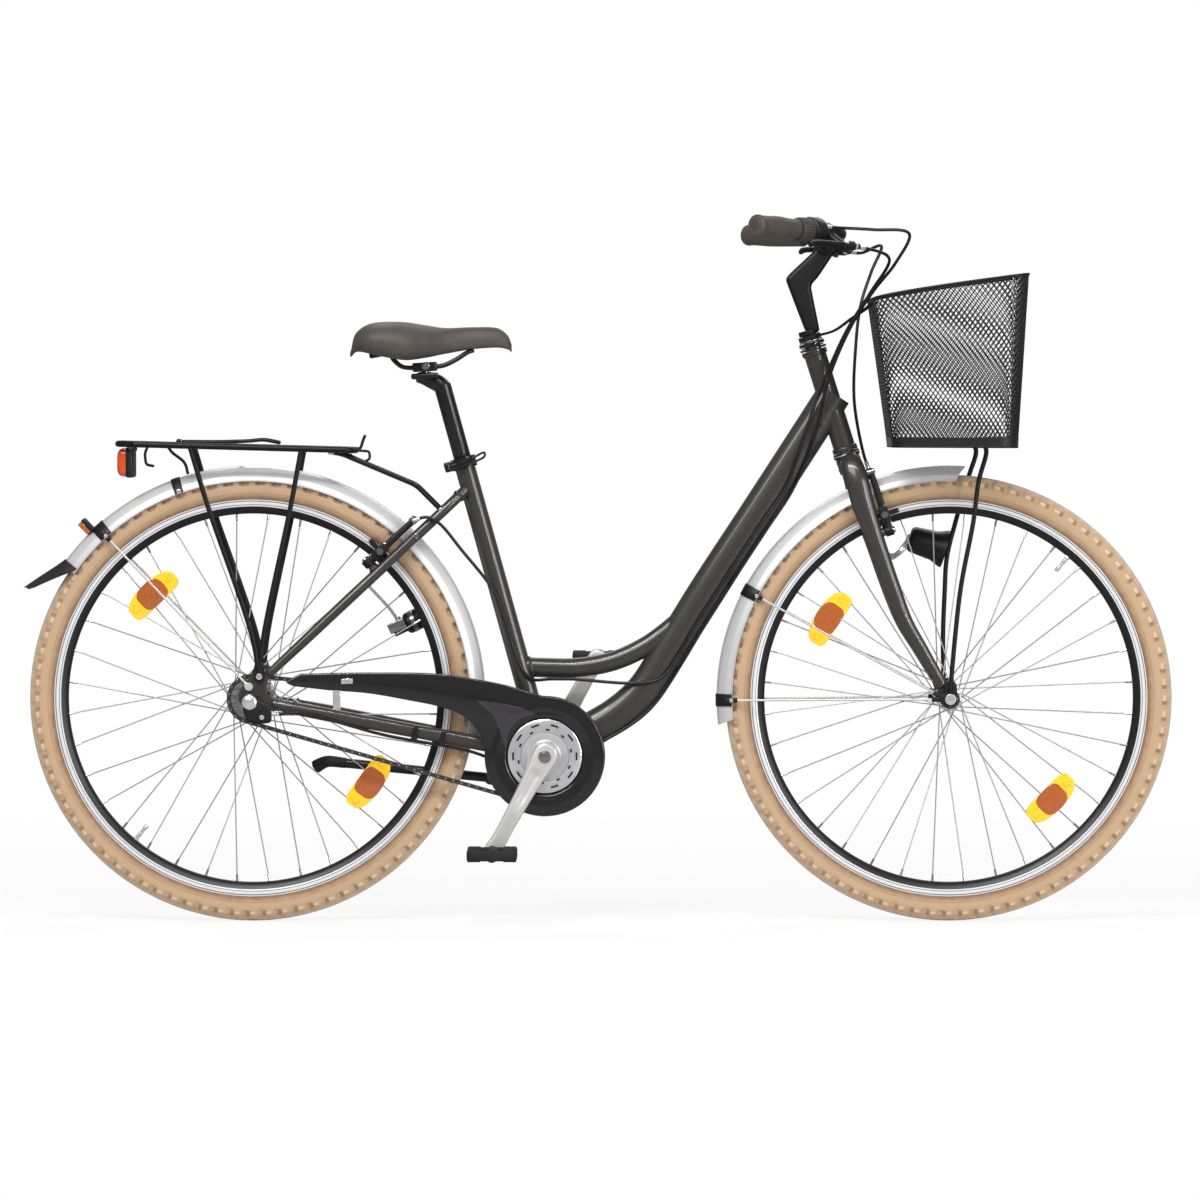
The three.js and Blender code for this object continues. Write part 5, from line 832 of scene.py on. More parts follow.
def chainStays():
    build = Build()
    shares = [[0.14, 1], [0.36, 1.02], [0.55, 0.9], [0.7, 0.73], [0.55, 0.5], [0.51, 0.22],
              [0.72, 0.03], [1, -0.03], [1, -0.36], [0.4, -0.34], [-0.1, -0.33], [-0.44, -0.1],
              [-0.42, 0.27], [-0.13, 0.58]]
    outline = fillet(rearAxle[::2] + np.array(shares) * [45, 52], 9, 5)
    leftLine = [(-511, 64.5, 343.2), (-450.7, 62.6, 331.5), (-334.7, 49, 309.2), (-250, 38.4, 293),
                (-210.3, 33.5, 285.2), (-152.2, 31, 274.1), (-96, 26.5, 263.2)]
    for side in rightLeft:
        line, way = curve(sided(leftLine, side), 100), side * sideways
        deep, wide = (np.interp(np.arange(100), [0, 6, 20, 99], sizes)
                      for sizes in ([7.5, 9.2, 10.4, 12.0], [4.6, 7.6, 8.8, 8.2]))
        build.add(0, sweep(line, wide, deep, sideways, 32, dome=3),
                  bead(line[9], line[12] - line[6], 8.6, 10.6, size=1.3),
                  plate(outline, side * 62, side * 67, [hoop(rearAxle, 5.4, fullTurn(24))], 0.8))
        for x, z in ((-528, 396), (-552, 373)):
            build.add(1, screw(at(x, side * 67, z), way, 5, 3.4))
            build.add(2, drum(at(x, side * 67, z), way, 6.2, -0.2, 0.9, 0.3, 28))
    build.add(0, block((-12, -32, -6), (12, 32, 3), 2.5, (-168, 0, 277), tilted(-0.19)))
    post = [(-168, 15, 274), (-170, 15.5, 250), (-172, 20, 228), (-172, 32, 222.7)]
    build.add(3, sweep(curve(post, 30), 7, 6, sideways, 20),
              drum(standPivot, standAxis, 10, 7.4, 13.4, 0.8, 36))
    build.add(1, screw(at(-172, 29.6, 222), -sideways, 5.2, 3.4))
    for share in (0.37, 0.72):  # clips for the gear cable
        clip = (1 - share) * at(-334.7, -49, 309.2) + share * at(-210.3, -33.5, 285.2)
        build.add(3, block((-5, -10, -15.6), (5, -6, 9), 1.2, clip, tilted(-0.19)))
    build.piece("chainStays", "frame", [enamel, chrome, blackMetal, blackMetal], "frame_paint",
                "chain_stays")


mainTubes()
seatStays()
chainStays()
print("frame made")

# Seat clamp, quick lever, post, rails and saddle
saddle = {
    "tail": -391.3, "length": 253.0, "width": 194.0, "low": 883.0, "high": 943.0, "steps": 130,
    "seamWidth": 0.014, "seamDepth": 0.7, "fill": 0.9,
    "stations": [  # place along, width, crown, depth and dip, as shares
        [0, 0.34, 0.2, 0.62, 0], [0.05, 0.78, 0.76, 0.72, 0.02], [0.16, 0.98, 0.98, 0.88, 0.05],
        [0.32, 0.96, 1, 1, 0.06], [0.46, 0.72, 0.92, 0.94, 0.06], [0.6, 0.42, 0.84, 0.8, 0.05],
        [0.75, 0.29, 0.86, 0.68, 0.03], [0.9, 0.25, 0.84, 0.62, 0.01], [0.97, 0.19, 0.66, 0.58, 0],
        [1, 0.09, 0.4, 0.52, 0]],
    "outline": [  # from the top's middle round to the foot's: across, up, and its share of the dip
        [0, 1, -1], [0.3, 1, -0.3], [0.62, 0.95, 0], [0.88, 0.78, 0], [1, 0.5, 0], [0.97, 0.24, 0],
        [0.86, 0.06, 0], [0.5, 0, 0], [0, 0, 0]],
}


def saddlePiece():
    # stations along the length, an outline across, both smoothed; the sewn seam is a shallow groove
    rows = curve(saddle["stations"], saddle["steps"])
    rows = rows[np.concatenate([[True], np.diff(rows[:, 0]) > 1e-4])]
    half = curve(saddle["outline"], 41)[:-1]
    ring = np.vstack([half, (half * [-1, 1, 1])[::-1][:-1]])
    height = saddle["high"] - saddle["low"]
    along, wide, crown, low, dip = rows.T[:, :, None]
    w, h, d = ring.T[:, None, :]
    z = saddle["low"] + height * (crown * (1 - low * (1 - h)) + d * dip)
    seam = np.exp(-((h - 0.3) / saddle["seamWidth"]) ** 2) * saddle["seamDepth"]
    y = w * saddle["width"] / 2 * wide - np.sign(w) * seam
    x = saddle["tail"] + saddle["length"] * along + 0 * y
    build = Build().add(0, skin(np.stack([x, y, z], axis=-1)))
    cushion = build.piece("saddleCushion", "seat", [cover], "seat_cover", "saddle", sharp=60)


# How far up the seat tube's line the clamp's split and the post's top are, and the cradle's middle
seatTop, cradle = {"split": 477, "post": 603.9}, at(-274.4, 0, 866)


def seatFittings():
    band = [[16.2, 468], [19.4, 468], [20, 468.6], [20, 485.4], [19.4, 486], [16.2, 486]]
    build = Build().add(0, lathe(band, bracket, seatUp, 64), block(
        (-31, -12, 469), (-15, 12, 485), 2, bracket, (seatAhead, sideways, seatUp)))
    split = seatTop["split"]
    build.add(1, screw(seatAt(split, -26, 12), sideways, 6, 4))
    build.piece("seatClamp", "frame", [blackMetal, steel], "black_metal", "seat_clamp")
    loop = [(-26, 0), (-12, 1), (6, 2.5), (22, 5), (31, 7.2), (35.5, 7.2), (36, 4), (33.5, 0.5),
            (22, -2.2), (6, -4.6), (-12, -5), (-26, -4.4), (-26, 0)]
    line = curve([seatAt(split + z, x, -20.5 - 3 * min(1, (x + 26) / 30)) for x, z in loop], 90)[:-1]
    other, turn = np.cross(unit(np.gradient(line, axis=0)), sideways), fullTurn(10)[:, None]
    rings = line[:, None] + np.cos(turn) * sideways * 4.2 + other[:, None] * 1.9 * np.sin(turn)
    build = Build().add(
        0, skin(rings, loop=True),
        block((-22, -24.6, -4), (15, -20, 2), 1.4, seatAt(split), (seatAhead, sideways, seatUp)),
        drum(seatAt(split, -26, -20), seatUp, 5.2, -5, 5, 0.8))
    build.add(1, drum(seatAt(split, -26), sideways, 3, -22, -12.4, 0.4, 24))
    build.piece("seatClampLever", "clamp_lever", [blackMetal, steel], "black_metal", "seat_clamp_lever")
    top = seatTop["post"]
    post = [[core, 382], [13.2, 382], [13.6, 382.6], [13.6, top], [core, top]]
    build = Build().add(0, lathe(post, bracket, seatUp, 56))
    neck = curve([seatAt(top - 11, 1), seatAt(top, -2), at(-272, 0, 853), at(-286, 0, 855)], 20)
    deep = np.interp(np.arange(20), [9, 10, 19], [13.4, 13.2, 8])
    build.add(1, sweep(neck, 13.2, deep, sideways, 32, dome=3),
              block((-22, -28, -13), (20, 28, -4), 3, cradle, tilted(0.06)),
              block((-19, -29, -1.5), (19, 29, 12.6), 2.4, cradle, tilted(0.06)))
    build.add(2, drum(cradle, upwards, 6, -10, 3, 0.5, 24), screw(at(-279, 0, 853), -upwards, 5, 4))
    for side in rightLeft:
        build.add(2, drum(at(-273, 0, 873), side * sideways, 6.4, 28, 31.5, 1.2),
                  screw(at(-273, side * 31, 873), side * sideways, 4.6, 2.6))
    build.piece("seatPost", "seat", [blackMetal, blackMetal, steel], "black_metal", "seat_post")
    rail = [(-323, 18, 890.5), (-325.5, 21.8, 886), (-314, 22, 874), (-305, 22, 870.6),
            (-274, 22, 871.6), (-247, 21.6, 873.6), (-226, 18, 883), (-207, 14, 895),
            (-199, 11.5, 897.5)]
    build = Build().add(0, *(rod(sided(rail, side), 3.5, 90, 16, 1.6) for side in rightLeft))
    build.add(1, block((-12, -20, -6), (10, 20, 2), 2, (-350, 0, 893), tilted(0.2)))
    build.piece("saddleRails", "seat", [blackMetal, plastic], "black_metal", "saddle_rails")


saddlePiece()
seatFittings()
print("seat made")

# Drive: cranks, slotted cover, toothed wheels, chain, guard, pedals and stand.
drive = {
    "teeth": 38, "smallTeeth": 18, "pitch": 12.7, "line": 43.0, "ringRadius": 76.9,
    "sprocketRadius": 36.57, "crank": 170.0, "crankAngle": 28.7, "toothRise": 3.6, "slots": 10,
    "treadRibs": 8, "ribPitch": 11.4,
}
crankTurn = math.radians(drive["crankAngle"])


def pedalSpot(side):
    return bracket + side * drive["crank"] * at(math.sin(crankTurn), 0, math.cos(crankTurn))


def toothed(centre, radius, teeth, bore):
    # a sprocket's outline: rounded valleys for the chain's rollers between pointed teeth
    turn = fullTurn(teeth * 12)
    edge = radius + drive["toothRise"] * swell(np.cos(turn * teeth), 0.7) - 0.4
    hole = hoop(centre, bore, fullTurn(72))
    return plate(hoop(centre, edge, turn), -44.2, -41.8, [hole], edge=0.4, resolution=1)


def crankArm(side):
    # a forged arm: a section carried from the axle to the pedal, with a long hollow in its face
    way = unit(pedalSpot(side) - bracket)
    places = [-22, -19, -12, -4, 8, 25, 50, 90, 130, 150, 162, 174, 182, 186.5]
    halves = [4, 11, 17.4, 19.5, 19.3, 17.2, 15.2, 13.4, 12.4, 12.8, 14.2, 14.2, 10, 3]
    place, half = curve(np.stack([places, halves], -1), 110).T[..., None]
    c, s = (swell(f(fullTurn(48)), 0.62) for f in (np.cos, np.sin))
    out = np.clip(place / drive["crank"], 0, 1)  # the arm leans outwards to the pedal
    u, v = half * c, np.where(half < 13, half / 13, 1) * (7.4 - 1.2 * out) * s
    groove = np.exp(-(u / (half * 0.42)) ** 4) * (s > 0.6)
    groove = groove * np.clip((place - 22) / 10, 0, 1) * np.clip((100 - place) / 30, 0, 1)
    sit = 59.0 + 6.0 * out + v - 3.4 * groove
    return skin(bracket + way * place[..., None] + np.cross(way, sideways) * u[..., None]
                + side * sideways * sit[..., None])


def crank(side, bright):  # what both cranks have, with the finish of the bright parts
    out, pin = side * sideways, pedalSpot(side)
    build = Build().add(0, crankArm(side), drum(bracket, out, 17, 40, 63, 1.2, 48),
                        drum(pin, out, 8.2, 57, 73.2, 1.4, 36))
    return build.add(bright, drum(pin, out, 5, 64, 168, 0.8), nut(pin, out, 8, 73.4, 77.2))


def cranks():
    build = crank(-1, 4)
    cap = [[core, 69.5], [5.4, 69.5], [7.4, 68.8], [9.6, 68.4], [10.2, 67], [10.2, 60], [core, 60]]
    build.add(1, lathe(cap, bracket, -sideways, 40))
    disc = [[17, 52.6], [24, 53.2], [26, 54.4], [37.4, 54.6], [39, 52.8], [45.6, 52.2], [46.8, 51.2],
            [56.2, 50.4], [57.9, 49.6], [58, 46.6], [17, 46.6]]
    build.add(2, lathe(disc, bracket, -sideways, 144))
    for middle in np.arange(drive["slots"]) * 360 / drive["slots"]:  # slots in two rows
        for radius, length, height, start in ((49.8, 7, 51.4, 0), (41.9, 4, 53.0, 12)):
            turn = np.radians(middle + start + np.linspace(-length, length, 14))
            slot = [hoop(bracket, radius - 1.4, turn), hoop(bracket, radius + 1.4, turn[::-1])]
            build.add(3, plate(np.vstack(slot), -height - 0.25, -height + 0.6, edge=0.1, resolution=0))
    build.piece("crankRight", "cranks", [alloy, steel, chrome, blackMetal, steel], "alloy",
                "crank_right", sharp=32)
    build = crank(1, 1)
    build.add(1, drum(bracket, sideways, 8.4, -34, 60, 0.8, 36),
              lathe(cap[:2] + cap[3:], bracket, sideways, 40))
    build.piece("crankLeft", "cranks", [alloy, steel], "alloy", "crank_left", sharp=32)


def toothedWheels():
    web = [[17, 41.6], [52, 41.6], [53, 42.2], [53, 43.8], [52, 44.4], [17, 44.4]]
    build = Build().add(0, toothed(bracket, drive["ringRadius"], drive["teeth"], 50),
                        lathe(web, bracket, -sideways, 96))
    build.piece("chainring", "cranks", [blackMetal], "black_metal", "chainring")
    hub = [[6, 37.6], [20, 37.6], [20, 41], [24, 41.8], [24, 44.2], [16, 45], [14, 51], [6, 51]]
    build = Build().add(0, toothed(rearAxle, drive["sprocketRadius"], drive["smallTeeth"], 15),
                        lathe(hub, rearAxle, -sideways, 56))
    build.piece("rearSprocket", "sprocket", [steel], "bright_steel", "rear_sprocket")


def walk(path, count):  # even steps along a line
    walked = np.concatenate([[0], np.cumsum(np.linalg.norm(np.diff(path, axis=0), axis=1))])
    spots = np.linspace(0, walked[-1], count)
    return np.stack([np.interp(spots, walked, values) for values in path.T], -1)


def chainPiece():
    # links along the band round both wheels: outer plates, inner plates and rollers in turn
    apart = bracket - rearAxle
    slope = math.atan2(apart[2], apart[0])
    differ = drive["ringRadius"] - drive["sprocketRadius"]
    reach = math.pi / 2 + math.asin(differ / math.hypot(*apart))
    arcs = ((bracket, drive["ringRadius"], slope - reach, slope + reach),
            (rearAxle, drive["sprocketRadius"], slope + reach, slope + 2 * math.pi - reach))
    band = np.vstack([hoop(centre, radius, np.linspace(start, end, 120))
                      for centre, radius, start, end in arcs])
    band = np.vstack([band, band[:1]])
    girth = np.linalg.norm(np.diff(band, axis=0), axis=1).sum()
    count = int(round(girth / drive["pitch"] / 2)) * 2
    pins = walk(band, count + 1)
    build, turn, line = Build(), fullTurn(20)[:, None], drive["line"]
    tall = 3.9 * (1 - 0.2 * np.abs(np.sin(turn)) ** 3) * swell(np.sin(turn), 0.55)
    for k in range(count):
        half = (pins[k + 1] - pins[k]) / 2
        way = unit(half)
        flat = pins[k] + half + (half + 3.9 * way) * np.cos(turn) + np.array([-way[1], way[0]]) * tall
        for side in rightLeft:
            y = side * (1.9 if k % 2 else 2.9) - line
            build.add(0, skin([np.insert(flat, 1, level, 1) for level in (y - 0.45, y + 0.45)]))
        start = np.insert(pins[k], 1, 0)
        build.add(1, drum(start, -sideways, 1.9, line - 3.5, line + 3.5, 0.3, 10))
        build.add(0, drum(start, -sideways, 3.6, line - 1.4, line + 1.4, 0.3, 12))
    build.piece("chainLinks", "frame", [chainSteel, steel], "chain_steel", "chain")


guard = {
    "disc": 94.0, "window": 61.0, "length": 408.1,
    "arm": [[-0.16, 1.2], [-0.28, 1.3], [-0.42, 1.38], [-0.66, 1.4], [-0.94, 1.38], [-1, 1.24],
            [-0.97, 1.17], [-0.83, 1.1], [-0.68, 1.05], [-0.52, 0.93], [-0.40, 0.82], [-0.31, 0.66],
            [-0.262, 0.45]],
    "recess": [[-108, 87], [-75, 84.5], [-42, 77.5], [-12, 66], [-38, 60], [-57, 39], [-62, 12],
               [-70, 39], [-82, 66]],
}


def guardPiece():
    # a curved shell plate over the chain, its rim raised round the chainring's window
    centre, radius = bracket[::2], guard["disc"]
    arm = centre + np.array(guard["arm"]) * [guard["length"], radius]
    disc = hoop(bracket, radius, np.radians(np.linspace(172, 450, 70)))
    outline = np.vstack([
        disc, curve([disc[-1], *arm[:5]], 50)[1:], fillet(arm[4:8], 6, 5, closed=False)[1:-1],
        curve([*arm[7:], disc[0]], 40)[:-1]])
    hole = hoop(bracket, guard["window"], fullTurn(96))
    arc = np.linspace(0, np.pi, 26)
    ring = np.stack([77.4 - 17.2 * np.cos(arc), 47.2 + 6.2 * np.sin(arc) ** 0.8], -1)
    build = Build().add(0, plate(outline, -52.8, -46.9, [hole], edge=2.8, resolution=4),
                        lathe(ring, bracket, -sideways, 128))
    build.add(1, plate(fillet(centre + guard["recess"], 5, 4), -53.8, -52.4, edge=0.4))
    build.add(2, block((-9, -53.8, -4), (9, -52.4, 4), 0.55, (-396, 0, 379), tilted(0.05)),
              screw(at(-394, -53.6, 379.6), -sideways, 4.6, 1.5),
              block((-6, -52, -50), (6, -50, 6), 0.9, (-412, 0, 372)))
    build.piece("chainGuard", "frame", [glossBlack, guardFace, chrome], "black_plastic", "chain_guard",
                sharp=40)


def pedalPiece(side, name, body, node):
    # a block pedal: two ribbed treads on side plates round a barrel
    centre, way = pedalSpot(side), side * sideways
    build = Build()

    def box(x, y, z, edge, paint=0):  # from the least to the most, on the pedal's own side
        low, high = np.sort([x, side * np.array(y), z]).T
        build.add(paint, block(low, high, edge, centre))
    for end in rightLeft:
        box((end * 17, end * 39), (80, 172), (-8, 8), 2.5)
        for y in 83 + drive["ribPitch"] * np.arange(drive["treadRibs"]):
            for level in rightLeft:
                box((end * 18, end * 38), (y, y + 6), (level * 7.2, level * 9.8), 1.1)
        box((end * 37.4, end * 39), (104, 148), (-6.5, 6.5), 0.7, 1)
    for y in (78.2, 165.5):
        box((-36, 36), (y, y + 8), (-8.4, 8.4), 2.6)
    build.add(0, drum(centre, way, 10.5, 78.2, 173.8, 1.4, 40), drum(centre, way, 8, 172, 174, 0.8, 36))
    build.piece(name, body, [rubber, amberRed], "black_rubber", node)


def standPiece():
    foot = at(-428, 43, 248.7)
    way = unit(foot - standPivot)
    leg = [standPivot, standPivot + way * 20, standPivot + way * 120, foot - way * 8]
    shoe = [foot - way * 26, foot, foot + at(-12, 14, -4), foot + at(-21, 25, -9.5)]
    build = Build().add(0, sweep(curve(leg, 60), 7, 7.6, sideways, 28, dome=3),
                        drum(standPivot, standAxis, 10.4, -7, 7, 1, 44))
    build.add(1, sweep(curve(shoe, 30), np.linspace(8.2, 6.2, 30), np.linspace(8.2, 10.6, 30), sideways,
                       28, dome=4))
    build.add(2, screw(standPivot - standAxis * 7, -standAxis, 5.4, 3.6))
    build.piece("kickstand", "stand", [blackMetal, rubber, steel], "black_metal", "kickstand")


cranks()
toothedWheels()
chainPiece()
guardPiece()
pedalPiece(-1, "pedalRight", "right_pedal", "pedal_right")
pedalPiece(1, "pedalLeft", "left_pedal", "pedal_left")
standPiece()
print("drive made")

# Steering: fork, headset, stem, bar and everything that turns with it.
forkRows = np.array([  # rake, spread, fall, wide and deep, as shares of the fork's own reach
    [0, .25, .025, 1, .8], [.05, .72, .05, 1, .95], [.06, .97, .11, 1, 1], [0, 1, .2, 1, 1],
    [.04, 1.02, .34, .95, .82], [.1, 1.1, .54, .85, .76], [.2, 1.17, .677, .8, .68],
    [.48, 1.25, .79, .7, .6], [.86, 1.31, .943, .64, .5]])
forkReach = (38.395, 40.0, -418.62, 11.0, 18.0)
lampSpot, lampTilt = at(493, 78, 600), math.radians(16.7)
lever = {"place": 166, "ahead": 45, "slope": math.radians(30), "length": 90}
pad = {"rise": 26, "spread": 40}  # above the arm's pivot, and the pivot's distance from the middle


def headDrum(low, high, radius, edge=0.8, bore=0.0):
    return drum(headFoot, headUp, radius, low, high, edge, 64, bore)


def forkPiece():
    build = Build()
    rows = curve(forkRows * forkReach, 90)
    for side in rightLeft:
        way = side * sideways
        line = headFoot + rows[:, :3] @ np.array([headAhead, way, headUp])
        root = line[-1] * [1, 0, 1]
        on = unit(frontAxle - root)
        cross = at(-on[2], 0, on[0])
        turn = np.radians(np.linspace(-115, 115, 22))[:, None]
        outline = np.vstack([root - on * 24 + cross * 5, root - on * 24 - cross * 5,
                             frontAxle + 15.5 * (on * np.cos(turn) + cross * np.sin(turn))])
        build.add(0, sweep(line, rows[:, 3], rows[:, 4], sideways, 36, dome=3),
                  plate(outline[:, ::2], side * 50.1, side * 55.1, edge=0.9),
                  drum(sided(frontBoss, side), headAhead, 6, -24, -7, 0.8),
                  bead(line[3], headAhead, 6, 9, size=1.0))
        build.add(1, drum(frontAxle + way * 52.5, way, 11.5, 2.4, 4.2, 0.4, 36))
    build.add(0, headDrum(-34, -4, 19, 3), *(bead(headAt(level), headUp, 18.9, 18.9, size=1.1)
                                             for level in (-26, -15)))
    build.add(2, headDrum(-9, -0.6, 21, 1.4))
    build.add(3, headDrum(-10, 191.4, 12.7, 1))
    lampArm = [at(455, 44, 575), at(462, 56, 572), at(474, 68, 579), at(481, 71.2, 585.6),
               at(493, 71.2, 600)]
    build.add(1, headDrum(-5.2, -3.8, 21.5, 0.4), drum(lampArm[-1], sideways, 8, -1, 4, 0.5),
              sweep(curve(lampArm, 40), 5.2, 1.6, upwards, 16, dome=1, power=0.5))
    build.piece("fork", "steering", [enamel, chrome, blackMetal, steel], "frame_paint", "fork",
                sharp=38)


def headsetAndStem():
    build = Build()
    for low, high, radius, paint in ((167.9, 171.6, 21, 2), (172.2, 174.4, 18.2, 0),
                                     (174.9, 180.4, 20.4, 2), (181, 183.4, 18.6, 1)):
        build.add(paint, headDrum(low, high, radius, 0.6, 12.9))
    build.add(0, moved(nut((0, 0, 0), upwards, 20.6, 0, 8), headAt(183.6), headAhead, sideways, headUp))
    build.piece("headsetNut", "steering", [blackMetal, steel, glossBlack], "black_metal", "headset_nut")
    # the stem: a quill, a collar and a forward neck with a rib under it, and a clamp round the bar
    side = [(324, 926), (294.5, 1003), (292.6, 1010), (299, 1018.5), (338, 1055), (343, 1078),
            (367, 1074), (371, 1054), (343, 1012), (331.6, 1000), (346.5, 926)]
    back = unit(headAt(316, 40) - barMiddle)
    down = -np.cross(back, sideways)
    seam = [[18.45, -0.5], [18.7, 0], [18.45, 0.5], [18, 0]]
    build = Build().add(
        0, headDrum(191.9, 200, 15.4, 1.2), drum(barMiddle, sideways, 18.4, -20.9, 20.9, 2.2, 64),
        plate(fillet(side, 7, 5), -13.4, 13.4, edge=7, resolution=5), lathe(seam, barMiddle, sides=64),
        block((-7.5, -17, -8), (9, 17, 8), 2.4, barMiddle - back * 20, (back, sideways, -down)))
    build.add(1, headDrum(60, 196, 11, 1), *(
        screw(barMiddle - back * 20 + down * 8 + y * sideways, down, 4.3, 3.6) for y in (-9, 9)))
    build.piece("stem", "steering", [satinBlack, steel], "black_metal", "stem", sharp=38)


barMiddle = at(355, 0, 1067)
barPath = [(-112, 293, 19), (4, 149.7, 11.6), (12.4, 141.4, 11.3), (17.4, 129.1, 10.3),
           (12.2, 105, 6.8), (6.1, 78.3, 3.4), (.7, 50.6, .4), (-.3, 36.7, -.2), (0, 27, 0)]


def barOut(side):
    return at(-.62882, side * .77652, .03997)


def onBar(side, reach):  # a place along a grip's straight line, from the bar's end
    return barMiddle + sided(barPath[0], side) - barOut(side) * reach


def handlebarPiece():
    line = np.vstack([sided(barPath, -1), barPath[::-1]]) + barMiddle
    build = Build().add(0, sweep(curve(line, 260), 11.1, sides=40, dome=2, hint=upwards))
    build.piece("handlebar", "steering", [blackMetal], "black_metal", "handlebar")


def gripPiece(side, long, name, node):
    # an oval sleeve that swells at the palm, with a rolled end and a recess in it
    places = [-7.5, -7.4, -6.6, -5, -1, 4, 20, 50, long - 30, long - 10, long - 5, long - 1.5, long]
    sizes = [.66, .82, .95, 1.02, 1.05, 1, 1.01, 1.06, 1.0, .96, .98, .93, .8]
    place, size = curve(np.stack([places, sizes], -1), 120).T
    cap = [[core, 0.9], [7.5, 0.9], [8.6, 0.1], [9.6, -0.4], [9.9, -2], [core, -2]]
    line = onBar(side, 0) - np.outer(place, barOut(side))
    build = Build().add(0, sweep(line, 15.4 * size, 16.2 * size, sideways, 56))
    build.add(1, lathe(cap, onBar(side, -7.4), barOut(side), 44))
    build.piece(name, "steering", [gripRubber, gripDark], "grip_rubber", node)


def shifterPiece():
    # a twist grip: a round window housing and a sleeve with ribs along it
    way, start, turn = -barOut(-1), onBar(-1, 0), fullTurn(168)
    housing = [[12, 124], [17, 124], [20.6, 125.6], [21.4, 128], [21.6, 146], [20.8, 149.6],
               [18.4, 151.4], [12, 151.5]]
    places, sizes = np.array([(96, 15), (96.2, 16.6), (98, 17.8), (101, 18.2), (119, 18.8), (122, 19),
                              (123.4, 18), (123.5, 15)]).T
    ribs = 0.75 * (np.cos(turn * 24) > 0) * ((98 < places) & (places < 121))[:, None]
    build = Build().add(0, lathe(housing, start, way, 56))
    build.add(1, around(places, sizes[:, None] + ribs, start, way, unit(np.cross(way, upwards)), turn))
    build.piece("twistShifter", "shifter", [plastic, gripDark], "black_plastic", "twist_shifter",
                sharp=30)


def leverFrame(side):  # the way forwards from the bar, the lever's pivot and its axis
    flat = unit(np.cross(barOut(side), upwards))
    front = flat * np.sign(flat[0]) * math.cos(lever["slope"]) - upwards * math.sin(lever["slope"])
    pivot = onBar(side, lever["place"]) + front * lever["ahead"]
    return front, pivot, at(.41013, side * .28757, .86551)


def leverMountPiece(side, name, node):
    front, pivot, hinge = leverFrame(side)
    way, root, tail = -barOut(side), onBar(side, lever["place"]), pivot - front * 4
    neck = curve([root + front * 12, root + front * 24, pivot - front * 9], 24)
    build = Build().add(
        0, drum(onBar(side, 0), way, 15, 157.2, 175, 1.2, 48, 11.3),
        sweep(neck, np.linspace(8.4, 6.4, 24), np.linspace(9.5, 7, 24), hinge, 28, dome=2, power=0.75),
        sweep([tail - way * 2, tail + way * 12], 6.6, 6.6, hinge, 24, dome=2),
        drum(tail, way, 7.6, 8, 27, 1, 36))
    for low, high in ((-7.4, -4.7), (4.7, 7.4)):  # the fork round the lever
        build.add(0, drum(pivot, hinge, 6.6, low, high), block(
            (-11, -5.5, low), (0, 5.5, high), 0.9, pivot, (front, np.cross(hinge, front), hinge)))
    build.add(1, drum(tail, way, 6.4, 27.6, 34, 0.8, 24), screw(pivot + hinge * 7.4, hinge, 4.4, 2.6),
              screw(root + front * 12 - np.cross(front, way) * 6 + upwards * 12, upwards, 3.4, 3))
    build.add(2, drum(tail, way, 4.8, 34.4, 42, 0.8, 24))
    build.piece(name, "steering", [plastic, chrome, blackMetal], "black_plastic", node, sharp=38)


def leverPiece(side, name, body, node):
    front, pivot, hinge = leverFrame(side)
    rows = np.array([[-.05, 0, 6.8, 4.4], [.06, -.005, 7, 4.4], [.25, -.03, 5.9, 4.2],
                     [.45, -.05, 5, 4], [.65, -.05, 4.6, 3.8], [.85, -.02, 4.9, 3.8],
                     [.97, .025, 5.4, 4]])
    rows = curve(rows * [lever["length"], lever["length"], 1, 1], 60)
    line = pivot + rows[:, :2] @ np.array([barOut(side), front])
    build = Build().add(0, sweep(line, rows[:, 2], rows[:, 3], hinge, 28, dome=3, power=0.8),
                        drum(pivot, hinge, 6.4, -4.2, 4.2, 0.5))
    build.piece(name, body, [satinBlack], "black_metal", node)


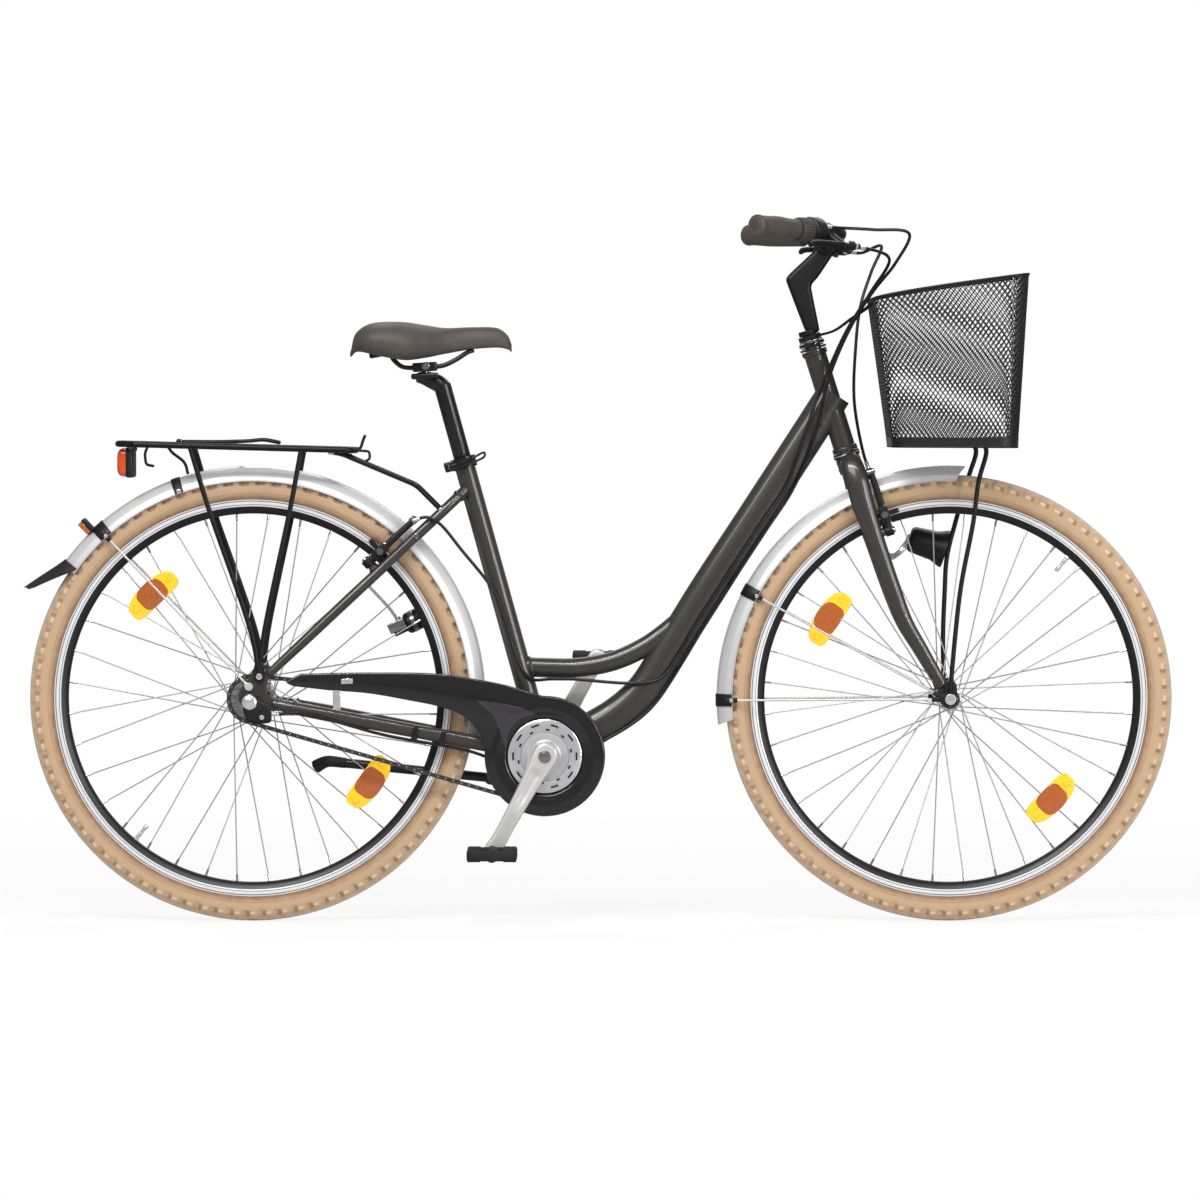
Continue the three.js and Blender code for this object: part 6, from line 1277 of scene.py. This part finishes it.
def brakeArm(end, hand, side, boss, up, out):
    # a lever from its pivot to the cable, with a pad on a threaded stud
    way, pivot = side * sideways, sided(boss, side)
    middle = pivot - way * pad["spread"]
    base = middle + up * pad["rise"]

    def spot(x, across, z):
        return middle + out * x + way * across + up * z
    line = curve([spot(0, 40, -2), spot(0, 40, 12), spot(0, 40.3, 30), spot(0, 39, 60),
                  spot(0, 37.4, 88), spot(0, 36.9, 100)], 50)
    spring = [spot(5, 44.6, 0), spot(6.4, 46, 14), spot(5, 44.4, 34), spot(2, 41.4, 52)]
    along = unit(np.cross(up, sideways))
    directions = along, way, np.cross(along, way)
    build = Build().add(
        0, sweep(line, np.linspace(7, 4.4, 50), np.linspace(6.6, 3.6, 50), out, 28, dome=3, power=0.75),
        drum(pivot, out, 8.2, -6.4, 6.4, 0.9, 40),
        block((-22, 20, -3.2), (22, 23.6, 3.2), 1.2, base, directions),
        block((-8, 41, -14), (8, 47, 13), 2, base, directions))
    build.add(3, block((-24.5, 15, -3.8), (24.5, 20.4, 3.8), 1.6, base, directions))
    build.add(1, screw(pivot + out * 6.4, out, 5.2, 3.2), drum(base, way, 3.2, 22, 47, 0.4, 24),
              drum(base, way, 6.4, 24.4, 27.6, 0.8), nut(base, way, 6.2, 47, 51),
              drum(spot(-6, 37.2, 97), out, 4.4, 0, 12.6, 0.6, 28), rod(spring, 0.9, 26, 8, 0.5))
    build.add(2, drum(base, way, 7.2, 28, 32.4, 1.2))
    name, body, node = (end + middle + hand for middle in ("BrakeArm", "_", "_brake_arm_"))
    build.piece(name.replace(hand, hand.title()), body + "_arm", [satinBlack, steel, chrome, rubber],
                "black_metal", node, sharp=38)


def headlightPiece():
    # a bowl with a flared hood and a ribbed lens behind a clear front
    axis = at(math.cos(lampTilt), 0, -math.sin(lampTilt))
    bowl = fillet([[core, -2.5], [17.6, -2.5], [20.6, 3], [22.4, 24], [23.4, 38]], 3, 4, closed=False)
    hood = [[26.4, 46], [29.6, 53], [30.2, 57.8], [28.8, 58.2], [26.6, 52], [24.6, 47], [23.6, 43],
            [core, 43]]
    seam = [[22.6, 30], [23.8, 30.5], [23.8, 32], [22.6, 32.5]]
    glass = [[core, 52], [12, 51.4], [20, 49.6], [24.8, 47.4], [24.8, 45], [core, 45]]
    mirror = [[core, 43.6], [8, 44], [22, 46], [24, 46.4], [24, 43.4], [core, 43.2]]
    build = Build().add(0, lathe([*bowl, *hood], lampSpot, axis, 72),
                        drum(lampSpot, sideways, 6.4, -2.6, 6, 0.5))
    build.add(1, lathe(seam, lampSpot, axis, 72)).add(2, lathe(glass, lampSpot, axis, 64))
    build.add(3, lathe(mirror, lampSpot, axis, 64), screw(lampSpot + at(0, -8, 0), -sideways, 4.4, 3.2))
    build.piece("headlight", "lamp", [plastic, glossBlack, lampGlass, chrome], "black_plastic",
                "headlight")


forkPiece()
headsetAndStem()
handlebarPiece()
shifterPiece()
headlightPiece()
for side, hand, long in ((-1, "right", 95), (1, "left", 134)):
    gripPiece(side, long, "grip" + hand.title(), "grip_" + hand)
    leverMountPiece(side, "leverMount" + hand.title(), "brake_lever_mount_" + hand)
    leverPiece(side, "brakeLever" + hand.title(), hand + "_lever", "brake_lever_" + hand)
    brakeArm("front", hand, side, frontBoss, headUp, headAhead)
    brakeArm("rear", hand, side, rearBoss, at(.7300, 0, .6834), at(-.6834, 0, .7300))
print("steering made")

# Fenders: a rolled sheet round each wheel with three soft ridges, rolled lower edges and its fittings.
fender = {
    "radius": 365.0, "half": 25.0, "skirt": 22.0, "round": 0.92, "fall": 2.2, "sheet": 1.5,
    "front": (86, 185.5), "rear": (-12, 145), "flap": (143.5, 153.6), "flapFlare": 33.0,
}


def aboutAxle(axle, radius, y, turn):  # a ring across the wheel, at one angle or one for each point
    return np.stack([axle[0] + radius * np.cos(turn), y, axle[2] + radius * np.sin(turn)], -1)


def acrossFender(steps, half=fender["half"], skirt=fender["skirt"]):
    # t runs from -1 to 1: the sheet's half width and how far it has fallen, skirt |t|^2.2
    t = np.linspace(-1, 1, steps)
    return t, half * swell(t, fender["round"]), skirt * np.abs(t) ** fender["fall"]


def fenderShell(build, axle, start, end, cut):
    t, y, fall = acrossFender(61)
    ridges = sum(height * np.exp(-((np.abs(t) - place) / wide) ** 2) for height, place, wide in (
        (0.9, 0, 0.09), (0.7, 0.42, 0.07), (0.5, 0.8, 0.05)))
    top = fender["radius"] - fall + ridges - 0.4
    rolled = 0.9 * np.array([[-0.1, 0.9], [0.6, 0.55], [0.9, -0.1], [0.5, -0.9], [-0.3, -1.2]])
    left, sheet = rolled + [y[-1], top[-1] - 0.6], np.stack([y, top], -1)[1:-1]
    section = np.vstack([left[::-1] * [-1, 1], sheet, left, sheet[::-1] - [0, fender["sheet"]]])
    across, radius = section.T
    build.add(0, skin([aboutAxle(axle, radius, across, np.radians(a + cut(across, a)))
                       for a in np.linspace(start, end, int(abs(end - start) * 1.6))]))


def strap(build, axle, angle, width, depth=2.2):
    # a clip that follows the fender's section outside it, with a bolt at both ends
    t, y, fall = acrossFender(31, fender["half"] + 1.6)
    top, half = fender["radius"] - fall + depth, width / 2
    y, radius = np.concatenate([y, y[::-1] * 0.985]), np.concatenate([top, top[::-1] - depth - 1.0])
    build.add(1, skin([
        aboutAxle(axle, radius - np.where(np.arange(len(y)) < len(t), inset, 0), y,
                  np.radians(angle) + place / fender["radius"])
        for place, inset in ((-half, 0.8), (-half + 0.8, 0), (half - 0.8, 0), (half, 0.8))]))
    for side in rightLeft:
        base = polar(axle, fender["radius"] - 20, angle, side * 26.4)
        build.add(2, screw(base, side * sideways, 4, 2.6))


def fenders():
    def frontCut(y, angle):  # both ends are cut at an angle, longer at their middle
        lead = np.clip((95 - angle) / 9, 0, 1) * 2.6 * (np.abs(y) / 26) ** 1.6
        return lead + np.clip((angle - 176) / 10, 0, 1) * 1.2 * (1 - (np.abs(y) / 26) ** 2)
    build = Build()
    fenderShell(build, frontAxle, *fender["front"], frontCut)
    strap(build, frontAxle, 152, 20)
    strap(build, frontAxle, 180.5, 20)
    build.piece("frontFender", "steering", [fenderSilver, plastic, chrome], "alloy", "front_fender",
                sharp=50)
    build = Build()
    fenderShell(build, rearAxle, *fender["rear"], lambda y, angle: 0 * y)
    strap(build, rearAxle, 132, 22)
    strap(build, rearAxle, 109.5, 15)
    base = polar(rearAxle, 375, 134)  # the rear reflector
    out = unit(base - rearAxle)
    directions = np.cross(out, sideways), sideways, out
    build.add(1, block((-6.4, -17, -11), (1, 17, 13), 1.8, base, directions))
    build.add(3, block((0.4, -16, -10), (8.4, 16, 12), 1.6, base, directions))
    build.piece("rearFender", "frame", [fenderSilver, plastic, chrome, amberRed], "alloy",
                "rear_fender", sharp=50)


def mudflapPiece():
    # a rubber tail over the fender's end with a flared lip
    rings, (start, end) = [], fender["flap"]
    for angle in np.linspace(start, end, 26):
        share = (angle - start) / (end - start)
        half = 26.6 + 3.2 * share
        y, fall = acrossFender(25, half, fender["skirt"] - 16 * share)[1:]
        top = fender["radius"] + 2.6 + fender["flapFlare"] * share ** 1.25 - fall
        radius = np.concatenate([top, (top - 3.2 - 3.6 * share)[::-1]])
        y = np.concatenate([y, y[::-1] * 0.985])
        turn = math.radians(angle) + 0.012 * share * (1 - (y / half) ** 2)
        rings.append(aboutAxle(rearAxle, radius, y, turn))
    build = Build().add(0, skin(rings))
    build.piece("mudflap", "frame", [rubber], "black_rubber", "mudflap", sharp=45)


def stayClip(build, clip, way, side):  # where a fender stay is bolted to the fender
    out = side * sideways
    build.add(1, block((-13, -3.2, -3.8), (7, 3.4, 3.8), 1.4, clip, (way, out, np.cross(way, out))))
    build.add(2, screw(clip + out * 3.4 - way * 3, out, 3.3, 2.2))


def fenderStays():
    build = Build()
    for side in rightLeft:
        hub, out = at(543, side * 61.5, 351), side * sideways
        for angle in (152, 180.5):
            clip = polar(frontAxle, 346, angle, side * 27.5)
            way = unit(clip - hub)
            near = hub + way * 14
            build.add(0, rod(np.linspace(near, clip, 3), 1.75, 24, 18, 1))
            build.add(1, block((-4, -2.6, -4), (15, 2.6, 4), 1.6, near - way * 6,
                               (way, out, np.cross(way, out))))
            stayClip(build, clip, way, side)
        build.add(1, drum(hub, out, 10.5, -2.4, 1.6, 0.7, 36))
    build.piece("frontFenderStays", "steering", [alloy, plastic, chrome], "alloy", "front_fender_stays")
    build = Build()
    for side in rightLeft:
        hub, clip = at(-549, side * 68.5, 371), polar(rearAxle, 346, 132, side * 27.5)
        way = unit(clip - hub)
        build.add(0, rod([hub, hub + way * 60, clip - way * 40, clip], 1.75, 30, 18, 1),
                  drum(hub, side * sideways, 6.4, -2, 2.2))
        stayClip(build, clip, way, side)
    build.piece("rearFenderStays", "frame", [alloy, plastic, chrome], "alloy", "rear_fender_stays")


# The rack: bent rod, with cross rods, legs to the axle and a strut each side to the seat stays.
rack = {"rear": -752.0, "front": -384.0, "high": 751.0, "low": 741.0, "half": 60.0, "rod": 5.0,
        "cross": 3.6, "leg": 3.9}


def deck(share, y):
    return at(rack["rear"] + (rack["front"] - rack["rear"]) * share, y,
              rack["high"] + (rack["low"] - rack["high"]) * share)


def rackPiece():
    build, half = Build(), rack["half"]
    for side in rightLeft:
        out, y = side * sideways, side * half
        foot, tip = at(-532.5, side * 70.8, 386.9), at(-248.5, side * 31, 646.6)
        ramp = [at(-424, side * 46, 738), at(-404, side * 44, 735), at(-288, side * 37, 686), tip]
        front = [deck(0.06, y), deck(0.97, y), deck(1.0, y - side * 14), deck(1.0, 0)]
        tab = fillet(foot[::2] + [[-8, 22], [8, 22], [9, -8], [-9, -8]], 8, 5)
        build.add(0, bentRod(front, rack["rod"], 14, 8, 24, 0),
                  sweep(fillet(ramp, 9, 5, closed=False), 5.2, 3.6, sideways, 20, dome=1),
                  plate(tab, side * 69.4, side * 73.2, edge=0.8), drum(tip, out, 6.6, -4, 4.4, 0.8))
        for share in (0.3, 0.775):
            top = deck(share, y)
            leg = [top, top + (foot - top) * 0.25, foot + at(0, 0, 26) + (top - foot) * 0.1, foot]
            build.add(0, rod(leg, rack["leg"], 40, 20, 2), bead(top, foot - top, 5, 5, size=1.6))
        build.add(1, screw(at(-420, side * 49.4, 738), out, 4.6, 2.8),
                  screw(foot + out * 2.6, out, 5.2, 3), screw(tip + out * 4.4, out, 4.6, 2.8))
    back = [deck(0.06, -half), deck(0.0, 16 - half), deck(-0.005, 0), deck(0.0, half - 16),
            deck(0.06, half)]
    build.add(0, rod(back, rack["rod"], 60, 24), *(
        sweep(np.linspace(deck(share, -half), deck(share, half), 4), rack["cross"], sides=18)
        for share in (0.25, 0.5, 0.775)))
    for y in (-15, 15):
        build.add(0, sweep(np.linspace(deck(0.02, y), deck(0.775, y), 6), 3, sides=16))
    build.add(0, block((-16, -50, -2), (14, 50, 1.4), 1.2, deck(0.97, 0), tilted(-0.05)))
    build.add(1, screw(deck(0.97, -40) + at(0, 0, 1.4), upwards, 4.4, 2.6))
    hooks = (  # radius, corner, steps, sides, where it leaves the deck, its Y, and X and Z of the rest
        (2.1, 4, 4, 14, 0.98, -9, [(-362, 739), (-361, 727), (-371, 722), (-386, 729), (-392, 734)]),
        (2.4, 3, 4, 14, 0.985, 4, [(-376, 744), (-372, 757), (-369, 764)]),
        (2.2, 5, 4, 12, 0.12, -24, [(-714, 736), (-712, 718), (-700, 716)]),
        (2.4, 12, 5, 12, 0.2, -30, [(-672, 738), (-650, 722), (-646, 704)]))
    for radius, corner, steps, sides, share, y, rest in hooks:
        hook = [deck(share, y)] + [at(x, y, z) for x, z in rest]
        build.add(0, bentRod(hook, radius, corner, steps, sides))
    build.piece("rearRack", "frame", [satinBlack, chrome], "black_metal", "rear_rack")


def clipPiece():
    # the sprung clamp: a bent wire loop that presses on the deck
    hinge = at(-660, 0, 754.2)
    half = np.array([hinge + at(0, -23.2, 0), (-594.9, -23.2, 753.9), (-551.5, -23.2, 755.2),
                     (-528.25, -23.2, 757.8), (-505, -23.2, 753.25), (-505, -14, 752.8)])
    axle = np.linspace(hinge + at(0, -26, 0), hinge + at(0, 26, 0), 4)
    build = Build().add(0, bentRod([*half, *sided(half, -1)[::-1]], 3, 8, 5, 20),
                        sweep(axle, 3, sides=20, dome=0.6))
    for y in (-17, 17):
        turns = np.linspace(0, 2 * np.pi * 4, 110)
        coil = aboutAxle(hinge, 4.4, y + turns * 0.3 - 4, turns)
        build.add(1, sweep(coil, 0.9, sides=8, dome=0.4))
    build.piece("rackClip", "clip", [satinBlack, steel], "black_metal", "rack_clip")


def tailLightPiece():
    centre = at(-737, 0, 721.7)
    build = Build().add(
        0, block((-24, -41.6, -6.5), (24, 41.6, 5.6), 4, centre, (upwards, sideways, ahead)),
        block((-10, -13, -3), (3, 13, 3), 1.6, (-731, 0, 742.6)))
    c, s = (swell(f(fullTurn(72)), 0.35) for f in (np.cos, np.sin))
    build.add(1, skin([centre + np.stack([0 * c - depth, (40.4 - inset) * c, (22.6 - inset) * s], -1)
                       for depth, inset in ((6, 0), (12, 0.4), (16.5, 2.2), (19, 5.6), (20, 10))]))
    build.piece("tailLight", "frame", [plastic, redLens], "red_lens", "tail_light")


def dynamoPiece():
    # a bottle that leans to the tyre: bracket, body, neck and a ribbed roller
    lean, turn = math.radians(25.5), fullTurn(144)
    out, centre = at(math.cos(lean), 0, math.sin(lean)), rearAxle + at(0, 42, 0)
    hinge, directions = at(-312.63, 42, 462.07), (out, sideways, np.cross(out, sideways))
    bottle = fillet([[core, 263], [11, 263], [16.9, 268], [17, 308], [13, 317], [8, 319], [6, 321],
                     [6, 327], [core, 327]], 3, 4, closed=False)
    band = [[17, 275], [17.5, 275.6], [17.5, 281], [17, 281.6]]
    places, sizes = np.array([(324.4, 0.05), (324.5, 10.6), (325.4, 11.6), (336.4, 11.8), (337.6, 10.8),
                              (337.7, 0.05)]).T
    ribs = 0.5 * (np.cos(turn * 24) > 0) * ((325 < places) & (places < 337))[:, None]
    build = Build().add(0, lathe(bottle, centre, out, 64),
                        block((-16, 12, -11), (14, 17.6, 11), 1.6, hinge, directions))
    build.add(1, lathe(band, centre, out, 64), screw(centre + out * 263, -out, 4.6, 3),
              around(places, sizes[:, None] - ribs, centre, out, sideways, turn),
              block((-20, -8, -4), (8, -2, 12), 1.4, hinge + at(0, -10, 0), directions))
    build.piece("dynamo", "generator", [plastic, steel], "black_plastic", "dynamo", sharp=32)


# The basket: expanded metal in a diamond mesh, with a thick rim and a folded hem.
basket = {
    "rear": 426.0, "front": 668.0, "footRear": 456.0, "footFront": 652.0, "halfTop": 166.5,
    "halfFoot": 132.5, "foot": 753.0, "rimRear": 977.0, "rimFront": 1015.0, "corner": 34.5,
    "pitch": 8.8, "rise": 6.0, "strandWide": 0.8, "strandThick": 0.5, "hem": (-0.026, 0.03),
}


def basketRing(share, count):
    # the wall's outline at a share of its height, as even steps round a rounded oblong
    b = basket
    rear = b["footRear"] + (b["rear"] - b["footRear"]) * share
    front = b["footFront"] + (b["front"] - 1.5 - b["footFront"]) * share
    half = b["halfFoot"] + (b["halfTop"] - b["halfFoot"]) * share
    ring = fillet([[rear, -half], [front, -half], [front, half], [rear, half]], b["corner"], 10)
    x, y = walk(np.vstack([ring, ring[:1]]), count + 1)[:-1].T
    along = np.clip((x - b["rear"]) / (b["front"] - b["rear"]), 0, 1)
    top = b["rimRear"] + (b["rimFront"] - b["rimRear"]) * along ** 0.8
    return np.stack([x, y, b["foot"] + (top - b["foot"]) * share], -1)


def outOf(line):  # the way outwards from each place of a closed line
    return unit(np.cross(np.roll(line, -1, 0) - np.roll(line, 1, 0), upwards))


def basketPiece():
    b, build = basket, Build()
    across = int((2 * (b["front"] - b["rear"] + 2 * b["halfTop"]) - 60) / b["pitch"]) // 2 * 2
    levels = int((b["rimFront"] - b["foot"]) / b["rise"]) + 1
    rows = [basketRing(k / levels, across * 2) for k in range(levels + 1)]
    # each strand leans from one column of diamonds to the next and back, level by level
    for k in range(levels):
        foot = np.arange(k % 2, across * 2, 2)
        for step in (-1, 1):
            top = rows[k + 1][(foot + step) % (across * 2)]
            lattice(build, rows[k][foot], top, outOf(rows[k])[foot])
    floorMesh(build)
    rimPath(build, basketRing(1.0, 200), 4.0, 4.8)
    low, high = (basketRing(share, 200) for share in b["hem"])
    rimPath(build, low, 3.0, 3.6)
    out = outOf(low)
    build.add(0, skin(np.stack([low + out, high + out, high - out, low - out], 1), loop=True))
    for side in rightLeft:
        nock = headAt(187, 13.5, side * 15)
        hook = [nock, nock + at(26, side * 14, 8), at(395, side * 42, 947), at(424, side * 62, 968),
                at(430, side * 64, 979)]
        build.add(1, rod(hook, 2, 40, 14, 0.8))
    turn = np.radians(np.linspace(-60, 60, 20))[:, None]
    collar = headAt(187) + 17.5 * (headAhead * np.cos(turn) + sideways * np.sin(turn))
    build.add(1, sweep(collar, 2, sides=14, dome=0.8))
    build.piece("basket", "steering", [basketWire, satinBlack], "basket_wire", "basket", sharp=40)


def lattice(build, starts, ends, out):
    # a flat strand between each pair of places: four sides and a cap at both ends
    way = unit(ends - starts)
    side = unit(np.cross(way, out)) * basket["strandWide"]
    out = out * basket["strandThick"]
    corners = [base + way * reach + side * u + out * v
               for base, reach in ((starts, -0.4), (ends, 0.4))
               for u, v in ((-1, -1), (1, -1), (1, 1), (-1, 1))]
    pattern = np.array([[0, 1, 5, 4], [1, 2, 6, 5], [2, 3, 7, 6], [3, 0, 4, 7], [3, 2, 1, 0],
                        [4, 5, 6, 7]])
    faces = (pattern[None] + 8 * np.arange(len(starts))[:, None, None]).reshape(-1, 4)
    build.add(0, (np.stack(corners, 1).reshape(-1, 3), [faces]))


def floorMesh(build):
    b = basket
    columns = np.arange(b["footRear"] + 4, b["footFront"] - 3, b["pitch"])
    lines = np.arange(-b["halfFoot"] + 4, b["halfFoot"] - 3, b["rise"])
    for k, y in enumerate(lines):
        x = columns + (k % 2) * b["pitch"] / 2
        starts = np.stack([x, 0 * x + y, 0 * x + b["foot"] + 0.4], -1)
        for step in (-1, 1):
            ends = starts + at(step * b["pitch"] / 2, b["rise"], 0)
            kept = (b["footRear"] < ends[:, 0]) & (ends[:, 0] < b["footFront"]) & (
                ends[:, 1] < b["halfFoot"])
            if kept.any():
                lattice(build, starts[kept], ends[kept], upwards)


def rimPath(build, line, thick, tall):
    turn = fullTurn(16)[None, :, None]
    build.add(1, skin(line[:, None] + outOf(line)[:, None] * (thick / 2 * np.cos(turn))
                      + upwards * (tall / 2 * np.sin(turn)), loop=True))


def carrierPiece():
    # rods from the front axle up to a frame under the basket
    rows = {-1: [(549, 362), (556, 443), (565.5, 527), (585.5, 633), (593, 692), (605, 738),
                 (603, 748)],
            1: [(545, 362), (543.5, 443), (546, 515), (549.5, 571), (565, 634), (583.5, 698),
                (595.5, 738), (593, 748)]}
    eye = fillet([[539, 380], [559, 380], [561, 340], [537, 340]], 11, 5)
    build = Build()
    for side in rightLeft:
        rail = np.linspace(at(476, side * 58, 748.2), at(604, side * 58, 748.2), 4)
        build.add(0, rod([at(x, side * 60.2, z) for x, z in rows[side]], 3.7, 70, 20, 2),
                  sweep(rail, 2.6, sides=20, dome=1.5), plate(eye, side * 58.2, side * 61.8, edge=0.7))
    for x in (476, 604):
        build.add(0, sweep(np.linspace(at(x, -58, 748.2), at(x, 58, 748.2), 4), 2.6, sides=20))
    build.piece("basketCarrier", "steering", [satinBlack], "black_metal", "basket_carrier")


for make in (fenders, mudflapPiece, fenderStays, rackPiece, clipPiece, tailLightPiece, dynamoPiece,
             basketPiece, carrierPiece):
    make()
print("rear and basket made")

# Floor, world and light: a pale floor that fades to the white of the world away from the bicycle.
stageLook = {
    "floorSize": 14.0, "floorShade": 0.88, "shadeInGloss": 0.26, "whiter": 0.8, "whiteFrom": 1.2,
    "whiteBy": 3.4, "world": 0.52, "worldInGloss": 0.22,
}
lamps = {  # where it stands, the height it looks at, its width and height, and its power
    "keyLight": ((-1.6, -3.6, 3.6), 0.5, (3.4, 2.2), 118),
    "fillLight": ((3.4, -2.6, 1.8), 0.6, (1.6, 2.6), 46),
    "backLight": ((0.6, 2.8, 3.2), 0.6, (4.0, 1.2), 46),
    "stripHigh": ((-0.4, -2.6, 3.4), 0.6, (3.6, 0.06), 62),
    "stripLow": ((2.6, -3.2, 1.0), 0.6, (0.06, 2.2), 31),
}


def floor():
    look, size = stageLook, stageLook["floorSize"]
    paint = Paint("stageFloor", Roughness=0.55)
    camera, gloss = (paint.add("LightPath", out=way) for way in ("Is Camera Ray", "Is Glossy Ray"))
    shade = paint.noise(2, 2) * 0.02 + (look["floorShade"] - 0.01)
    shade = shade * (1 - gloss * (1 - look["shadeInGloss"]))
    paint.feed({"Base Color": paint.add("CombineColor", {}, {0: shade, 1: shade, 2: shade})})
    away = paint.add("VectorMath", {"operation": "LENGTH"}, {0: paint.place()}, out="Value")
    whiter = away.fade(look["whiteFrom"], look["whiteBy"]) * (1 - look["whiter"]) + look["whiter"]
    white = paint.add("Emission", {}, {"Color": (1, 1, 1), "Strength": 1.0})
    own = Sock(paint, paint.shader.outputs[0])
    both = paint.add("MixShader", {}, {0: camera * whiter, 1: own, 2: white})
    paint.plug(paint.tree.nodes["Material Output"].inputs[0], both)
    mesh = bpy.data.meshes.new("stage")
    corners = [(x * size, y * size, 0) for x, y in ((-1, -1), (1, -1), (1, 1), (-1, 1))]
    mesh.from_pydata(corners, [], [(0, 1, 2, 3)])
    mesh.materials.append(paint.material)
    piece = bpy.data.objects.new("stageFloor", mesh)
    bpy.context.scene.collection.objects.link(piece)


def world():
    # white to the camera, and a softer grey as a light and in reflections
    setting = bpy.data.worlds.new("studio")
    setting.use_nodes = True
    bpy.context.scene.world = setting
    tree = setting.node_tree
    tree.nodes.remove(tree.nodes["Background"])

    def shade(kind, values):
        node = tree.nodes.new("ShaderNode" + kind)
        for key, value in values.items():
            if isinstance(value, bpy.types.NodeSocket):
                tree.links.new(value, node.inputs[key])
            else:
                node.inputs[key].default_value = value
        return node.outputs[0]
    rays = tree.nodes.new("ShaderNodeLightPath").outputs
    lit, seen, dim = (shade("Background", {"Color": (1, 1, 1, 1), "Strength": strength})
                      for strength in (stageLook["world"], 1, stageLook["worldInGloss"]))
    inGloss = shade("MixShader", {0: rays["Is Glossy Ray"], 1: lit, 2: dim})
    both = shade("MixShader", {0: rays["Is Camera Ray"], 1: inGloss, 2: seen})
    tree.links.new(both, tree.nodes["World Output"].inputs[0])


def lamp(name, place, height, size, power):
    data = bpy.data.lights.new(name, "AREA")
    data.shape, data.energy = "RECTANGLE", power
    data.size, data.size_y = size
    light = bpy.data.objects.new(name, data)
    bpy.context.scene.collection.objects.link(light)
    light.location = place
    way = mathutils.Vector(place) - mathutils.Vector((0, 0, height))
    light.rotation_euler = way.to_track_quat("Z", "Y").to_euler()


floor()
world()
for name, values in lamps.items():
    lamp(name, *values)
bpy.context.scene.view_settings.view_transform = "Standard"
print("stage made")
